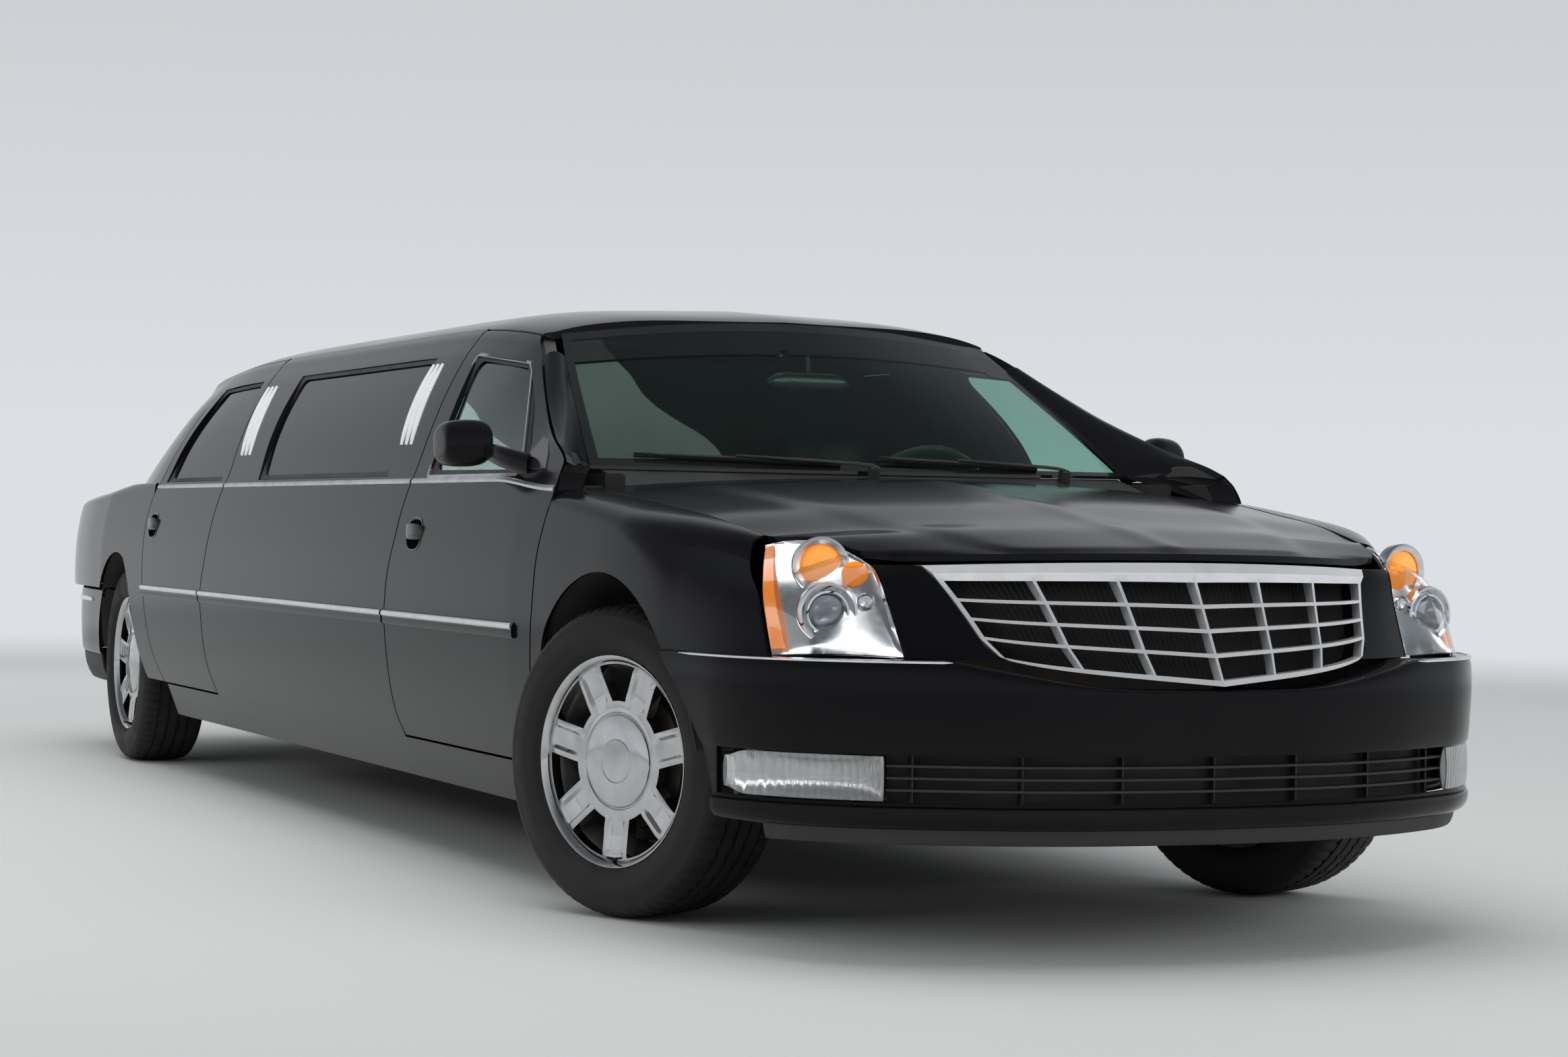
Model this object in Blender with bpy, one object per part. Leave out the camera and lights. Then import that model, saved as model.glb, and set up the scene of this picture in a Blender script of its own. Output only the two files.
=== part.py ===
"""Stretch limousine: a four-door saloon cut behind the front doors and lengthened.

Metres, +Z up, +X forward, +Y to the car's left. The origin is on the ground, midway along the car.
Places on the nose and the front doors are stated from the front axle, and places on the rear
doors and the tail from the rear axle, so that the wheelbase sets the length of the stretch.
"""

import math

import bmesh
import bpy
from mathutils import Matrix, Vector

for old in list(bpy.data.objects):
    bpy.data.objects.remove(old, do_unlink=True)

# Driving sizes of the whole car.
OVERALL_LENGTH = 7.254
BODY_WIDTH = 1.901
ROOF_HEIGHT = 1.463
WHEELBASE = 4.916
FRONT_OVERHANG = 1.165

# Wheels and steering.
TYRE_RADIUS = 0.345
TYRE_WIDTH = 0.235
RIM_RADIUS = 0.2334
HALF_TRACK = 0.797
KINGPIN_HALF_TRACK = 0.770
STEER_ANGLE = math.radians(22.0)
SPOKE_COUNT = 7

# Wheel arches, each as centre ahead of its axle, centre height and radius.
FRONT_ARCH = (0.045, 0.385, 0.392)
REAR_ARCH = (0.010, 0.375, 0.365)

# Heights shared by the body panels.
SILL_BOTTOM = 0.200
DOOR_BOTTOM = 0.310
BELT = 0.985
DOOR_TOP = 1.385
GLASS_TOP = 1.315
BUMPER_TOP = 0.607
FLOOR_HEIGHT = 0.272

# Thicknesses and running gaps.
DOOR_THICKNESS = 0.120
FRAME_THICKNESS = 0.050
PANEL_THICKNESS = 0.060
SKIN_THICKNESS = 0.014
GLASS_THICKNESS = 0.005
SHUT_GAP = 0.0075
SEAT_GAP = 0.0004
GLASS_INSET = 0.014
BEAD_CLEARANCE = 0.0014
GLAZING_GAP = 0.0009
TOP_DROP = 0.030
ROOF_LAP = 0.0048

SILL_TOP = DOOR_BOTTOM - SHUT_GAP
FRONT_AXLE_X = OVERALL_LENGTH / 2 - FRONT_OVERHANG
REAR_AXLE_X = FRONT_AXLE_X - WHEELBASE

# Half section of the body side: height, and how far it lies inside half the body width.
FLANK = (
    (0.200, 0.083), (0.300, 0.046), (0.420, 0.019), (0.560, 0.005), (0.660, 0.001), (0.780, 0.007),
    (0.880, 0.023), (0.950, 0.043), (0.985, 0.058), (1.100, 0.106), (1.200, 0.161), (1.300, 0.231),
    (1.345, 0.270), (1.385, 0.312), (1.412, 0.375), (1.436, 0.480), (1.452, 0.630), (1.463, 0.951),
)
# How much the nose narrows, by distance ahead of the front axle.
NOSE_TAPER = ((-0.50, 0.0), (-0.10, 0.006), (0.20, 0.015), (0.50, 0.045), (0.68, 0.078), (0.79, 0.130))
# How much the tail narrows, by distance ahead of the rear axle.
TAIL_TAPER = ((-1.17, 0.110), (-1.05, 0.070), (-0.90, 0.040), (-0.60, 0.014), (-0.25, 0.0))
# How far the roof falls towards the windshield and the back window.
ROOF_FALL_FRONT = ((-2.00, 0.0), (-1.60, 0.006), (-1.30, 0.026), (-1.10, 0.052), (-0.60, 0.160))
ROOF_FALL_REAR = ((-0.30, 0.150), (0.20, 0.050), (0.45, 0.026), (0.80, 0.007), (1.20, 0.0))
# Share of the roof's fall that its highest level lines take.
STEEPEST_FALL = 1.3


def along(table, value):
    """Smooth value of a two-column table at a place, held level past its ends."""
    if value <= table[0][0]:
        return table[0][1]
    if value >= table[-1][0]:
        return table[-1][1]
    slopes = []
    for i in range(len(table)):
        before = table[max(i - 1, 0)]
        after = table[min(i + 1, len(table) - 1)]
        slopes.append((after[1] - before[1]) / (after[0] - before[0]))
    for i in range(len(table) - 1):
        x0, y0 = table[i]
        x1, y1 = table[i + 1]
        if value <= x1:
            step = x1 - x0
            t = (value - x0) / step
            lift = (1 - t) ** 2 * t * slopes[i] - (1 - t) * t ** 2 * slopes[i + 1]
            return y0 * (1 - t) ** 2 * (1 + 2 * t) + y1 * t ** 2 * (3 - 2 * t) + step * lift
    return table[-1][1]


def mix(a, b, t):
    return a + (b - a) * t


def straight(table, value):
    """Value of a two-column table, joined by straight lines."""
    for (x0, y0), (x1, y1) in zip(table, table[1:]):
        if value <= x1 or (x1, y1) == table[-1]:
            return mix(y0, y1, (value - x0) / (x1 - x0))
    return table[0][1]


def spread(start, end, count):
    """Evenly spaced values from start to end, both included."""
    return [mix(start, end, i / (count - 1)) for i in range(count)]


def roof_fall(x):
    return max(along(ROOF_FALL_FRONT, x - FRONT_AXLE_X), along(ROOF_FALL_REAR, x - REAR_AXLE_X))


def height_at(x, level):
    """Height of a level line: level lines above the belt sink with the roof."""
    share = max(0.0, (level - BELT) / (DOOR_TOP - BELT))
    raised = ROOF_HEIGHT - FLANK[-1][0]
    return level + raised * min(share, 1.0) - roof_fall(x) * min(share, STEEPEST_FALL)


def half_width(x, level):
    taper = along(NOSE_TAPER, x - FRONT_AXLE_X) + along(TAIL_TAPER, x - REAR_AXLE_X)
    return BODY_WIDTH / 2 - along(FLANK, level) - taper


def skin(x, level, side, inset=0.0):
    """Point of the body side: side is 1 on the left and -1 on the right."""
    return Vector((x, side * (half_width(x, level) - inset), height_at(x, level)))


# Materials: name, colour, roughness, metallic.
FINISHES = {
    "paint": ((0.008, 0.008, 0.010), 0.08, 0.0),
    "glass": ((0.02, 0.03, 0.03), 0.03, 0.0),
    "clear_glass": ((0.25, 0.32, 0.30), 0.03, 0.0),
    "chrome": ((0.78, 0.78, 0.78), 0.12, 1.0),
    "satin_metal": ((0.60, 0.61, 0.62), 0.30, 1.0),
    "lamp": ((0.85, 0.87, 0.88), 0.05, 0.0),
    "red_lamp": ((0.45, 0.01, 0.01), 0.08, 0.0),
    "black_plastic": ((0.02, 0.02, 0.02), 0.55, 0.0),
    "trim": ((0.05, 0.05, 0.055), 0.70, 0.0),
    "leather": ((0.03, 0.03, 0.03), 0.50, 0.0),
    "chassis": ((0.03, 0.03, 0.03), 0.60, 0.2),
    "iron": ((0.20, 0.20, 0.20), 0.50, 1.0),
    "rubber": ((0.02, 0.02, 0.02), 0.85, 0.0),
}


def finish(name):
    material = bpy.data.materials.get(name)
    if material is None:
        colour, roughness, metallic = FINISHES[name]
        material = bpy.data.materials.new(name)
        material.use_nodes = True
        shader = material.node_tree.nodes["Principled BSDF"]
        shader.inputs["Base Color"].default_value = (*colour, 1.0)
        shader.inputs["Roughness"].default_value = roughness
        shader.inputs["Metallic"].default_value = metallic
        material.diffuse_color = (*colour, 1.0)
    return material


def pivot(name, location, turn=0.0):
    """Empty on a joint's axis, which carries the pieces that move about it."""
    empty = bpy.data.objects.new(name, None)
    empty.location = location
    empty.rotation_euler = (0.0, 0.0, turn)
    bpy.context.collection.objects.link(empty)
    return empty


def piece(name, mesh, material, carrier=None, local=False):
    """One closed body. Its faces are turned outward, and it hangs on its carrier if it has one."""
    if carrier is not None and not local:
        bmesh.ops.translate(mesh, verts=mesh.verts, vec=-Vector(carrier.location))
    bmesh.ops.remove_doubles(mesh, verts=mesh.verts, dist=0.00002)
    bmesh.ops.recalc_face_normals(mesh, faces=mesh.faces)
    if mesh.calc_volume(signed=True) < 0:
        bmesh.ops.reverse_faces(mesh, faces=mesh.faces)
    data = bpy.data.meshes.new(name)
    mesh.to_mesh(data)
    mesh.free()
    data.shade_smooth()
    data.set_sharp_from_angle(angle=math.radians(32))
    data.materials.append(finish(material))
    thing = bpy.data.objects.new(name, data)
    bpy.context.collection.objects.link(thing)
    thing.parent = carrier
    return thing


def shell(outer, inner, holes=(), ring=False):
    """Skin between two grids of rows. Cells in holes stay open; a ring joins its ends."""
    mesh = bmesh.new()
    rows = len(outer)
    columns = len(outer[0])
    spans = columns if ring else columns - 1
    front = [[mesh.verts.new(point) for point in row] for row in outer]
    back = [[mesh.verts.new(point) for point in row] for row in inner]
    open_cells = set(holes)

    def solid(r, c):
        if ring:
            c %= columns
        return 0 <= r < rows - 1 and 0 <= c < spans and (r, c) not in open_cells

    for r in range(rows - 1):
        for c in range(spans):
            if not solid(r, c):
                continue
            d = (c + 1) % columns
            mesh.faces.new((front[r][c], front[r][d], front[r + 1][d], front[r + 1][c]))
            mesh.faces.new((back[r][c], back[r + 1][c], back[r + 1][d], back[r][d]))
            if not solid(r - 1, c):
                mesh.faces.new((front[r][d], front[r][c], back[r][c], back[r][d]))
            if not solid(r + 1, c):
                mesh.faces.new((front[r + 1][c], front[r + 1][d], back[r + 1][d], back[r + 1][c]))
            if not solid(r, c - 1):
                mesh.faces.new((front[r][c], front[r + 1][c], back[r + 1][c], back[r][c]))
            if not solid(r, c + 1):
                mesh.faces.new((front[r + 1][d], front[r][d], back[r][d], back[r + 1][d]))
    loose = [v for v in mesh.verts if not v.link_faces]
    bmesh.ops.delete(mesh, geom=loose, context="VERTS")
    return mesh


def loft(sections):
    """Solid through closed sections that have equal numbers of points, capped at both ends."""
    mesh = bmesh.new()
    rings = [[mesh.verts.new(point) for point in section] for section in sections]
    count = len(rings[0])
    for a, b in zip(rings, rings[1:]):
        for i in range(count):
            j = (i + 1) % count
            mesh.faces.new((a[i], a[j], b[j], b[i]))
    for ring in (rings[0], rings[-1]):
        cap = mesh.faces.new(ring)
        bmesh.ops.triangulate(mesh, faces=[cap])
    return mesh


def turned(profile, count, centre=Vector(), start=0.0):
    """Ring turned about the Y axis through centre from a closed profile of (y, radius) points."""
    sections = []
    for i in range(count):
        angle = start + 2 * math.pi * i / count
        sections.append([centre + Vector((r * math.cos(angle), y, r * math.sin(angle))) for y, r in profile])
    mesh = bmesh.new()
    rings = [[mesh.verts.new(point) for point in section] for section in sections]
    size = len(profile)
    for k in range(count):
        a = rings[k]
        b = rings[(k + 1) % count]
        for i in range(size):
            j = (i + 1) % size
            mesh.faces.new((a[i], a[j], b[j], b[i]))
    return mesh


def block(low, high):
    """Plain block between two corners."""
    x0, y0, z0 = low
    x1, y1, z1 = high
    return loft([[(x, y0, z0), (x, y1, z0), (x, y1, z1), (x, y0, z1)] for x in (x0, x1)])


def unite(thing, name, mesh, carrier=None, local=False):
    """Weld another closed shape to a piece."""
    tool = piece(name, mesh, "chassis", carrier, local)
    tool.hide_render = True
    tool.display_type = "WIRE"
    weld = thing.modifiers.new(name, "BOOLEAN")
    weld.operation = "UNION"
    weld.solver = "EXACT"
    weld.object = tool


def front_x(distance):
    return FRONT_AXLE_X + distance


def rear_x(distance):
    return REAR_AXLE_X + distance


# Shut lines, each by height: the first and the second from the front axle, the others from the rear axle.
FRONT_DOOR_FORE = ((0.310, -0.400), (0.461, -0.372), (0.574, -0.352), (0.693, -0.334), (0.789, -0.328),
                   (0.871, -0.312), (0.944, -0.300), (1.000, -0.318), (1.040, -0.350), (1.125, -0.530),
                   (1.230, -0.765), (1.345, -1.060), (1.385, -1.190))
FRONT_DOOR_AFT = ((0.310, -1.445), (0.362, -1.485), (0.499, -1.512), (0.608, -1.520), (0.729, -1.500),
                  (0.836, -1.462), (0.985, -1.450), (1.138, -1.490), (1.385, -1.640))
REAR_DOOR_FORE = ((0.310, 1.390), (0.399, 1.328), (0.517, 1.304), (0.629, 1.306), (0.733, 1.352),
                  (0.884, 1.397), (0.985, 1.410), (1.035, 1.402), (1.220, 1.300), (1.385, 1.190))
REAR_DOOR_AFT = ((0.310, 0.640), (0.400, 0.545), (0.500, 0.490), (0.620, 0.460), (0.740, 0.445),
                 (0.860, 0.440), (0.950, 0.455), (1.000, 0.475), (1.200, 0.530), (1.385, 0.580))
# Glass edges by height.
FRONT_GLASS_FORE = ((0.985, -0.600), (1.060, -0.615), (1.125, -0.680), (1.230, -0.850), (1.315, -1.065))
FRONT_GLASS_AFT = ((0.985, -1.330), (1.144, -1.375), (1.315, -1.500))
STRETCH_GLASS_FORE = ((0.985, -1.700), (1.315, -1.860))
STRETCH_GLASS_AFT = ((0.985, 1.820), (1.315, 1.640))
REAR_GLASS_FORE = ((0.985, 1.345), (1.035, 1.330), (1.220, 1.225), (1.315, 1.155))
REAR_GLASS_AFT = ((0.985, 0.560), (1.150, 0.590), (1.315, 0.640))

SIDES = (("R", -1), ("L", 1))
LOWER_LEVELS = (DOOR_BOTTOM, 0.400, 0.500, 0.600, 0.700, 0.800, 0.890, 0.950, BELT)
GLASS_LEVELS = (BELT, 1.060, 1.125, 1.230, GLASS_TOP)


def side_grid(fore, aft, glass_fore, glass_aft, levels, side, panes=3):
    """Outer grid of a side panel: columns at its edges, at its glass edges and between them."""
    grid = []
    for level in levels:
        glass_level = min(max(level, BELT), GLASS_TOP)
        left = fore(level)
        right = aft(level)
        inner_left = min(glass_fore(glass_level), left - 0.028)
        inner_right = max(glass_aft(glass_level), right + 0.028)
        if level < BELT:
            inner_left = mix(left, right, 0.16)
            inner_right = mix(left, right, 0.86)
        columns = [left]
        columns += spread(inner_left, inner_right, panes + 1)
        columns.append(right)
        grid.append([skin(x, level, side) for x in columns])
    return grid


def thickened(grid, levels, side, lower, upper, fore, aft_inset, tuck):
    """Inner grid: lower is the thickness under the belt and upper that of the window frame.

    fore holds, under and over the belt, the thickness at the leading edge and its rearward slant.
    tuck is how far the top edge leans inward over its drop.
    """
    inner = []
    for row, level in zip(grid, levels):
        under = level < BELT - 0.001
        depth = lower if under else upper
        fore_depth, fore_slant = fore[0] if under else fore[1]
        points = [point - Vector((0, side * depth, 0)) for point in row]
        points[0] = row[0] - Vector((fore_slant, side * fore_depth, 0))
        points[-1] += Vector((aft_inset * depth, 0, 0))
        if level == levels[-1]:
            points = [point - Vector((0, side * tuck, TOP_DROP)) for point in row]
            points[0] -= Vector((fore_slant, 0, 0))
        inner.append(points)
    return inner


def window_cells(levels, panes):
    rows = [r for r in range(len(levels) - 1) if levels[r] >= BELT and levels[r + 1] <= GLASS_TOP]
    return {(r, c) for r in rows for c in range(1, 1 + panes)}


def pane(glass_fore, glass_aft, side, panes=3, clearance=SEAT_GAP):
    """Curved glass that fills a window opening of the same edges."""
    outer = []
    levels = [BELT + clearance, *GLASS_LEVELS[1:-1], GLASS_TOP - clearance]
    for level in levels:
        xs = spread(glass_fore(level) - clearance, glass_aft(level) + clearance, panes + 1)
        outer.append([skin(x, level, side, GLASS_INSET) for x in xs])
    inner = [[point - Vector((0, side * GLASS_THICKNESS, 0)) for point in row] for row in outer]
    return shell(outer, inner)


PANEL_LEVELS = (*LOWER_LEVELS[:-1], BELT - 0.012, *GLASS_LEVELS, 1.345, DOOR_TOP)
PANES = 3
DOOR_EDGE_DEPTH = 0.070
DOOR_EDGE_SLANT = 0.010
# Hinge leaves: how far they reach ahead of the door, and the rows of the door's grid they stand beside.
HINGE_REACH = 0.030
HINGE_ROWS = (("low", 2), ("high", 5))

# The hinge lines stand upright just outside the widest part of the skin.
HINGE_HALF_WIDTH = BODY_WIDTH / 2 + 0.003
FRONT_HINGE_X = front_x(-0.375)
REAR_HINGE_X = rear_x(1.318)


def doors(label, side):
    hinges = (
        ("front_door", FRONT_HINGE_X, front_x, FRONT_DOOR_FORE, FRONT_DOOR_AFT, FRONT_GLASS_FORE,
         FRONT_GLASS_AFT),
        ("rear_door", REAR_HINGE_X, rear_x, REAR_DOOR_FORE, REAR_DOOR_AFT, REAR_GLASS_FORE, REAR_GLASS_AFT),
    )
    carriers = {}
    for name, hinge_x, place, fore, aft, glass_fore, glass_aft in hinges:
        carrier = pivot(f"{name}_hinge_{label}", (hinge_x, side * HINGE_HALF_WIDTH, DOOR_BOTTOM))
        carriers[name] = carrier

        def at(table, place=place):
            return lambda level: place(along(table, level))

        outer = side_grid(at(fore), at(aft), at(glass_fore), at(glass_aft), PANEL_LEVELS, side, PANES)
        fore_edge = ((DOOR_EDGE_DEPTH, DOOR_EDGE_SLANT), (0.024, 0.042 if name == "front_door" else 0.010))
        inner = thickened(outer, PANEL_LEVELS, side, DOOR_THICKNESS, FRAME_THICKNESS, fore_edge, 0.25, 0.010)
        piece(f"{name}_{label}", shell(outer, inner, window_cells(PANEL_LEVELS, PANES)), "paint", carrier)
        piece(f"{name}_glass_{label}", pane(at(glass_fore), at(glass_aft), side), "glass", carrier)
    return carriers


def hinge_leaf(place, shut_line, row, side):
    """Hinge block on a fixed body, whose rear face lies against the door's leading face."""
    ends = [skin(place(along(shut_line, level)), level, side) for level in PANEL_LEVELS[row:row + 2]]
    sections = []
    for share in (0.3, 0.7):
        edge = ends[0].lerp(ends[1], share)
        section = []
        for depth, ahead in ((0.022, 0.0), (0.050, 0.0), (0.050, HINGE_REACH), (0.022, HINGE_REACH)):
            slant = DOOR_EDGE_SLANT * depth / DOOR_EDGE_DEPTH
            section.append((edge.x - slant + SEAT_GAP + ahead, edge.y - side * depth, edge.z))
        sections.append(section)
    return loft(sections)


def stretch_panel(label, side):
    """Fixed side between the doors, with its one long window."""
    def fore(level):
        return front_x(along(FRONT_DOOR_AFT, level)) - SHUT_GAP

    def aft(level):
        return rear_x(along(REAR_DOOR_FORE, level)) + SHUT_GAP

    def glass_fore(level):
        return front_x(along(STRETCH_GLASS_FORE, level))

    def glass_aft(level):
        return rear_x(along(STRETCH_GLASS_AFT, level))

    levels = (SILL_TOP + SEAT_GAP, *PANEL_LEVELS[1:-1], DOOR_TOP + ROOF_LAP - 0.0002)
    outer = side_grid(fore, aft, glass_fore, glass_aft, levels, side, PANES)
    fore_edge = ((PANEL_THICKNESS, 0.0), (FRAME_THICKNESS, 0.0))
    inner = thickened(outer, levels, side, PANEL_THICKNESS, FRAME_THICKNESS, fore_edge, 0.0, 0.0)
    panel = piece(f"side_panel_{label}", shell(outer, inner, window_cells(levels, PANES)), "paint")
    # Hinge leaves of the rear door, which stand on the panel's rear edge.
    for name, row in HINGE_ROWS:
        unite(panel, f"rear_hinge_{name}_{label}", hinge_leaf(rear_x, REAR_DOOR_FORE, row, side))
    piece(f"side_glass_{label}", pane(glass_fore, glass_aft, side), "glass")


# Crest of the front wing, along the bonnet's shut line: ahead of the front axle, half width, height.
CREST_WIDTH = ((-0.330, 0.826), (-0.207, 0.814), (-0.074, 0.797), (0.059, 0.779), (0.281, 0.760),
               (0.428, 0.740), (0.522, 0.726))
CREST_HEIGHT = ((-0.330, 0.948), (-0.207, 0.940), (-0.074, 0.928), (0.059, 0.914), (0.281, 0.888),
                (0.428, 0.865), (0.522, 0.847))
# Outer edge of the head lamp, by height.
LAMP_OUTER = ((0.612, 0.762), (0.740, 0.697), (0.800, 0.600), (0.830, 0.545))


def arch_points(arch, axle_x, start, end, count):
    ahead, height, radius = arch
    points = []
    for angle in spread(math.radians(start), math.radians(end), count):
        points.append((axle_x + ahead + radius * math.cos(angle), height + radius * math.sin(angle)))
    return points


def fender(label, side):
    """Front wing from the door's shut line to the lamp, round the wheel arch and over to the bonnet."""
    fender_foot = BUMPER_TOP + SEAT_GAP
    end_angle = math.degrees(math.asin((fender_foot - FRONT_ARCH[1]) / FRONT_ARCH[2]))
    foot_x = front_x(along(FRONT_DOOR_FORE, DOOR_BOTTOM)) + SHUT_GAP
    bottom = [(foot_x, DOOR_BOTTOM), (front_x(FRONT_ARCH[0] - FRONT_ARCH[2]), DOOR_BOTTOM)]
    bottom += arch_points(FRONT_ARCH, FRONT_AXLE_X, 180, end_angle, 9)
    lamp_foot = front_x(LAMP_OUTER[0][1]) - 0.003
    bottom.append((mix(bottom[-1][0], lamp_foot, 0.5), fender_foot))
    bottom.append((lamp_foot, fender_foot))
    count = len(bottom)
    top = spread(front_x(-0.300), front_x(0.519), count)
    side_rows = 5
    outer = []
    for r in range(side_rows):
        t = r / (side_rows - 1)
        row = []
        for c, (foot, foot_z) in enumerate(bottom):
            share = c / (count - 1)
            shoulder = top[c]
            shoulder_z = along(CREST_HEIGHT, shoulder - FRONT_AXLE_X) - 0.045
            z = mix(foot_z, shoulder_z, t)
            x = mix(foot, shoulder, t)
            start_line = front_x(along(FRONT_DOOR_FORE, mix(DOOR_BOTTOM, 0.900, t))) + SHUT_GAP
            start_chord = mix(bottom[0][0], top[0], t)
            end_line = front_x(along(LAMP_OUTER, mix(0.612, 0.830, t))) - 0.003
            end_chord = mix(bottom[-1][0], top[-1], t)
            x += (start_line - start_chord) * (1 - share) ** 3 + (end_line - end_chord) * share ** 3
            row.append(skin(x, z, side))
        outer.append(row)
    for t in (0.35, 0.70, 1.0):
        row = []
        for c in range(count):
            start = outer[side_rows - 1][c]
            ahead = top[c] - FRONT_AXLE_X
            end = Vector((top[c], side * (along(CREST_WIDTH, ahead) + 0.003), along(CREST_HEIGHT, ahead)))
            corner = Vector((mix(start.x, end.x, 0.5), start.y - side * 0.006, end.z))
            row.append(start * (1 - t) ** 2 + corner * (2 * t * (1 - t)) + end * t ** 2)
        outer.append(row)
    inner = []
    for r, row in enumerate(outer):
        lean = max(0.0, (r - side_rows + 1) / 3)
        drop = Vector((0, side * SKIN_THICKNESS * (1 - lean), SKIN_THICKNESS * lean))
        inner.append([point - drop for point in row])
    piece(f"fender_{label}", shell(outer, inner), "paint")


# Trunk lid and bonnet edges. Bonnet rows: edge ahead of axle, edge half width, edge height, middle
# ahead of axle, middle height.
BONNET_ROWS = (
    (-0.330, 0.822, 0.948, -0.300, 0.985),
    (-0.120, 0.800, 0.932, -0.090, 0.968),
    (0.100, 0.772, 0.909, 0.130, 0.945),
    (0.310, 0.754, 0.884, 0.360, 0.918),
    (0.520, 0.721, 0.847, 0.580, 0.885),
    (0.640, 0.655, 0.846, 0.730, 0.865),
    (0.748, 0.615, 0.820, 0.860, 0.843),
    (0.800, 0.540, 0.812, 0.978, 0.822),
)
CROSS_STEPS = 9


def crowned_rows(rows, place, steps=CROSS_STEPS, power=2.0):
    """Rows across the car, each from a right edge over a crowned middle to the left edge."""
    grid = []
    for edge_x, edge_y, edge_z, middle_x, middle_z in rows:
        row = []
        for v in spread(-1.0, 1.0, steps):
            bulge = 1 - abs(v) ** power
            row.append(Vector((place(mix(edge_x, middle_x, bulge)), v * edge_y,
                               mix(edge_z, middle_z, bulge))))
        grid.append(row)
    return grid


def lowered(grid, depth):
    return [[point - Vector((0, 0, depth)) for point in row] for row in grid]


def sunk(grid, depth):
    """Grid moved against its own normals."""
    rows = len(grid)
    columns = len(grid[0])
    result = []
    for r in range(rows):
        row = []
        for c in range(columns):
            down = grid[min(r + 1, rows - 1)][c] - grid[max(r - 1, 0)][c]
            across = grid[r][min(c + 1, columns - 1)] - grid[r][max(c - 1, 0)]
            row.append(grid[r][c] - down.cross(across).normalized() * depth)
        result.append(row)
    return result


def bonnet():
    edge = crowned_rows(BONNET_ROWS, front_x)
    hinge = pivot("hood_hinge", (edge[0][0].x, 0.0, edge[0][CROSS_STEPS // 2].z + 0.004))
    piece("hood", shell(edge, lowered(edge, SKIN_THICKNESS)), "paint", hinge)


# Windshield and back window rows: edge, half width, height, middle, height.
WINDSHIELD_ROWS = (
    (-0.560, 0.728, 1.006, -0.395, 1.002),
    (-0.737, 0.693, 1.115, -0.610, 1.130),
    (-0.939, 0.649, 1.230, -0.840, 1.262),
    (-1.150, 0.598, 1.352, -1.085, 1.394),
)
BACKLIGHT_ROWS = (
    (-0.414, 0.730, 1.000, -0.500, 0.995),
    (-0.220, 0.690, 1.120, -0.270, 1.140),
    (-0.010, 0.645, 1.240, -0.040, 1.280),
    (0.190, 0.620, 1.335, 0.170, 1.392),
)


def screens():
    for name, rows, place, material in (("windshield", WINDSHIELD_ROWS, front_x, "clear_glass"),
                                        ("rear_window", BACKLIGHT_ROWS, rear_x, "glass")):
        grid = crowned_rows(rows, place)
        piece(name, shell(grid, lowered(grid, GLASS_THICKNESS * 1.6)), material)


def screen_edge(row, place, y):
    """Lengthwise place of a screen's top edge at a distance from the middle."""
    edge_x, edge_y, _, middle_x, _ = row
    return place(mix(middle_x, edge_x, min(abs(y) / edge_y, 1.15) ** 2))


ROOF_EDGE = DOOR_TOP + ROOF_LAP


def roof():
    """Roof skin between the door tops, from the windshield's top edge to the back window's."""
    fractions = (0.0, 0.045, 0.11, 0.20, 0.50, 0.78, 0.88, 0.95, 1.0)
    levels = (ROOF_EDGE, 1.402, 1.418, 1.434, 1.450)
    depths = (0.004, 0.020, 0.026, 0.026, 0.026)
    grid = []
    under = []
    for share in fractions:
        row = []
        row_under = []
        for side, order in ((-1, (0, 1, 2, 3, 4)), (0, (4,)), (1, (4, 3, 2, 1, 0))):
            for k in order:
                level = levels[k] if side else ROOF_HEIGHT
                y = half_width(0.0, level) if side else 0.0
                fore = screen_edge(WINDSHIELD_ROWS[-1], front_x, y) - 0.010
                fore -= 0.030 if k == 0 and side else 0.0
                aft = screen_edge(BACKLIGHT_ROWS[-1], rear_x, y) + 0.010
                aft += 0.020 if k == 0 and side else 0.0
                x = mix(fore, aft, share)
                point = skin(x, level, side) if side else Vector((x, 0.0, height_at(x, level)))
                row.append(point)
                row_under.append(point - Vector((0, 0, depths[k])))
        grid.append(row)
        under.append(row_under)
    piece("roof", shell(grid, under), "paint")


def pillar_grids(side):
    """Outer and inner grids of the windshield pillar, each row from the glass to the door frame."""
    shares = (0.0, 0.35, 0.70, 1.0)
    grid = []
    glass = [Vector((front_x(x), side * y, z)) for x, y, z, _, _ in WINDSHIELD_ROWS]
    glass_by_height = [(p.z, p.x) for p in glass]
    width_by_height = [(p.z, abs(p.y)) for p in glass]
    for level in (1.022, 1.060, 1.125, 1.230, 1.300, 1.346):
        outer_x = front_x(along(FRONT_DOOR_FORE, level)) + SHUT_GAP + 0.006
        door_side = skin(outer_x, level, side, 0.002)
        z = min(max(door_side.z, WINDSHIELD_ROWS[0][2]), WINDSHIELD_ROWS[-1][2])
        glass_side = Vector((straight(glass_by_height, z),
                             side * (straight(width_by_height, z) + GLAZING_GAP), z))
        row = []
        for t in shares:
            point = glass_side.lerp(door_side, t)
            point.z += 0.012 * math.sin(math.pi * t)
            row.append(point)
        grid.append(row)
    by_glass = Vector((0.012, 0.0, 0.022))
    by_door = Vector((0.002, side * 0.022, 0.008))
    inner = [[point - by_glass.lerp(by_door, t) for point, t in zip(row, shares)] for row in grid]
    return grid, inner


def a_pillar(label, side):
    """Windshield pillar from the cowl to the roof, between the glass and the door frame."""
    piece(f"a_pillar_{label}", shell(*pillar_grids(side)), "paint")


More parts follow.
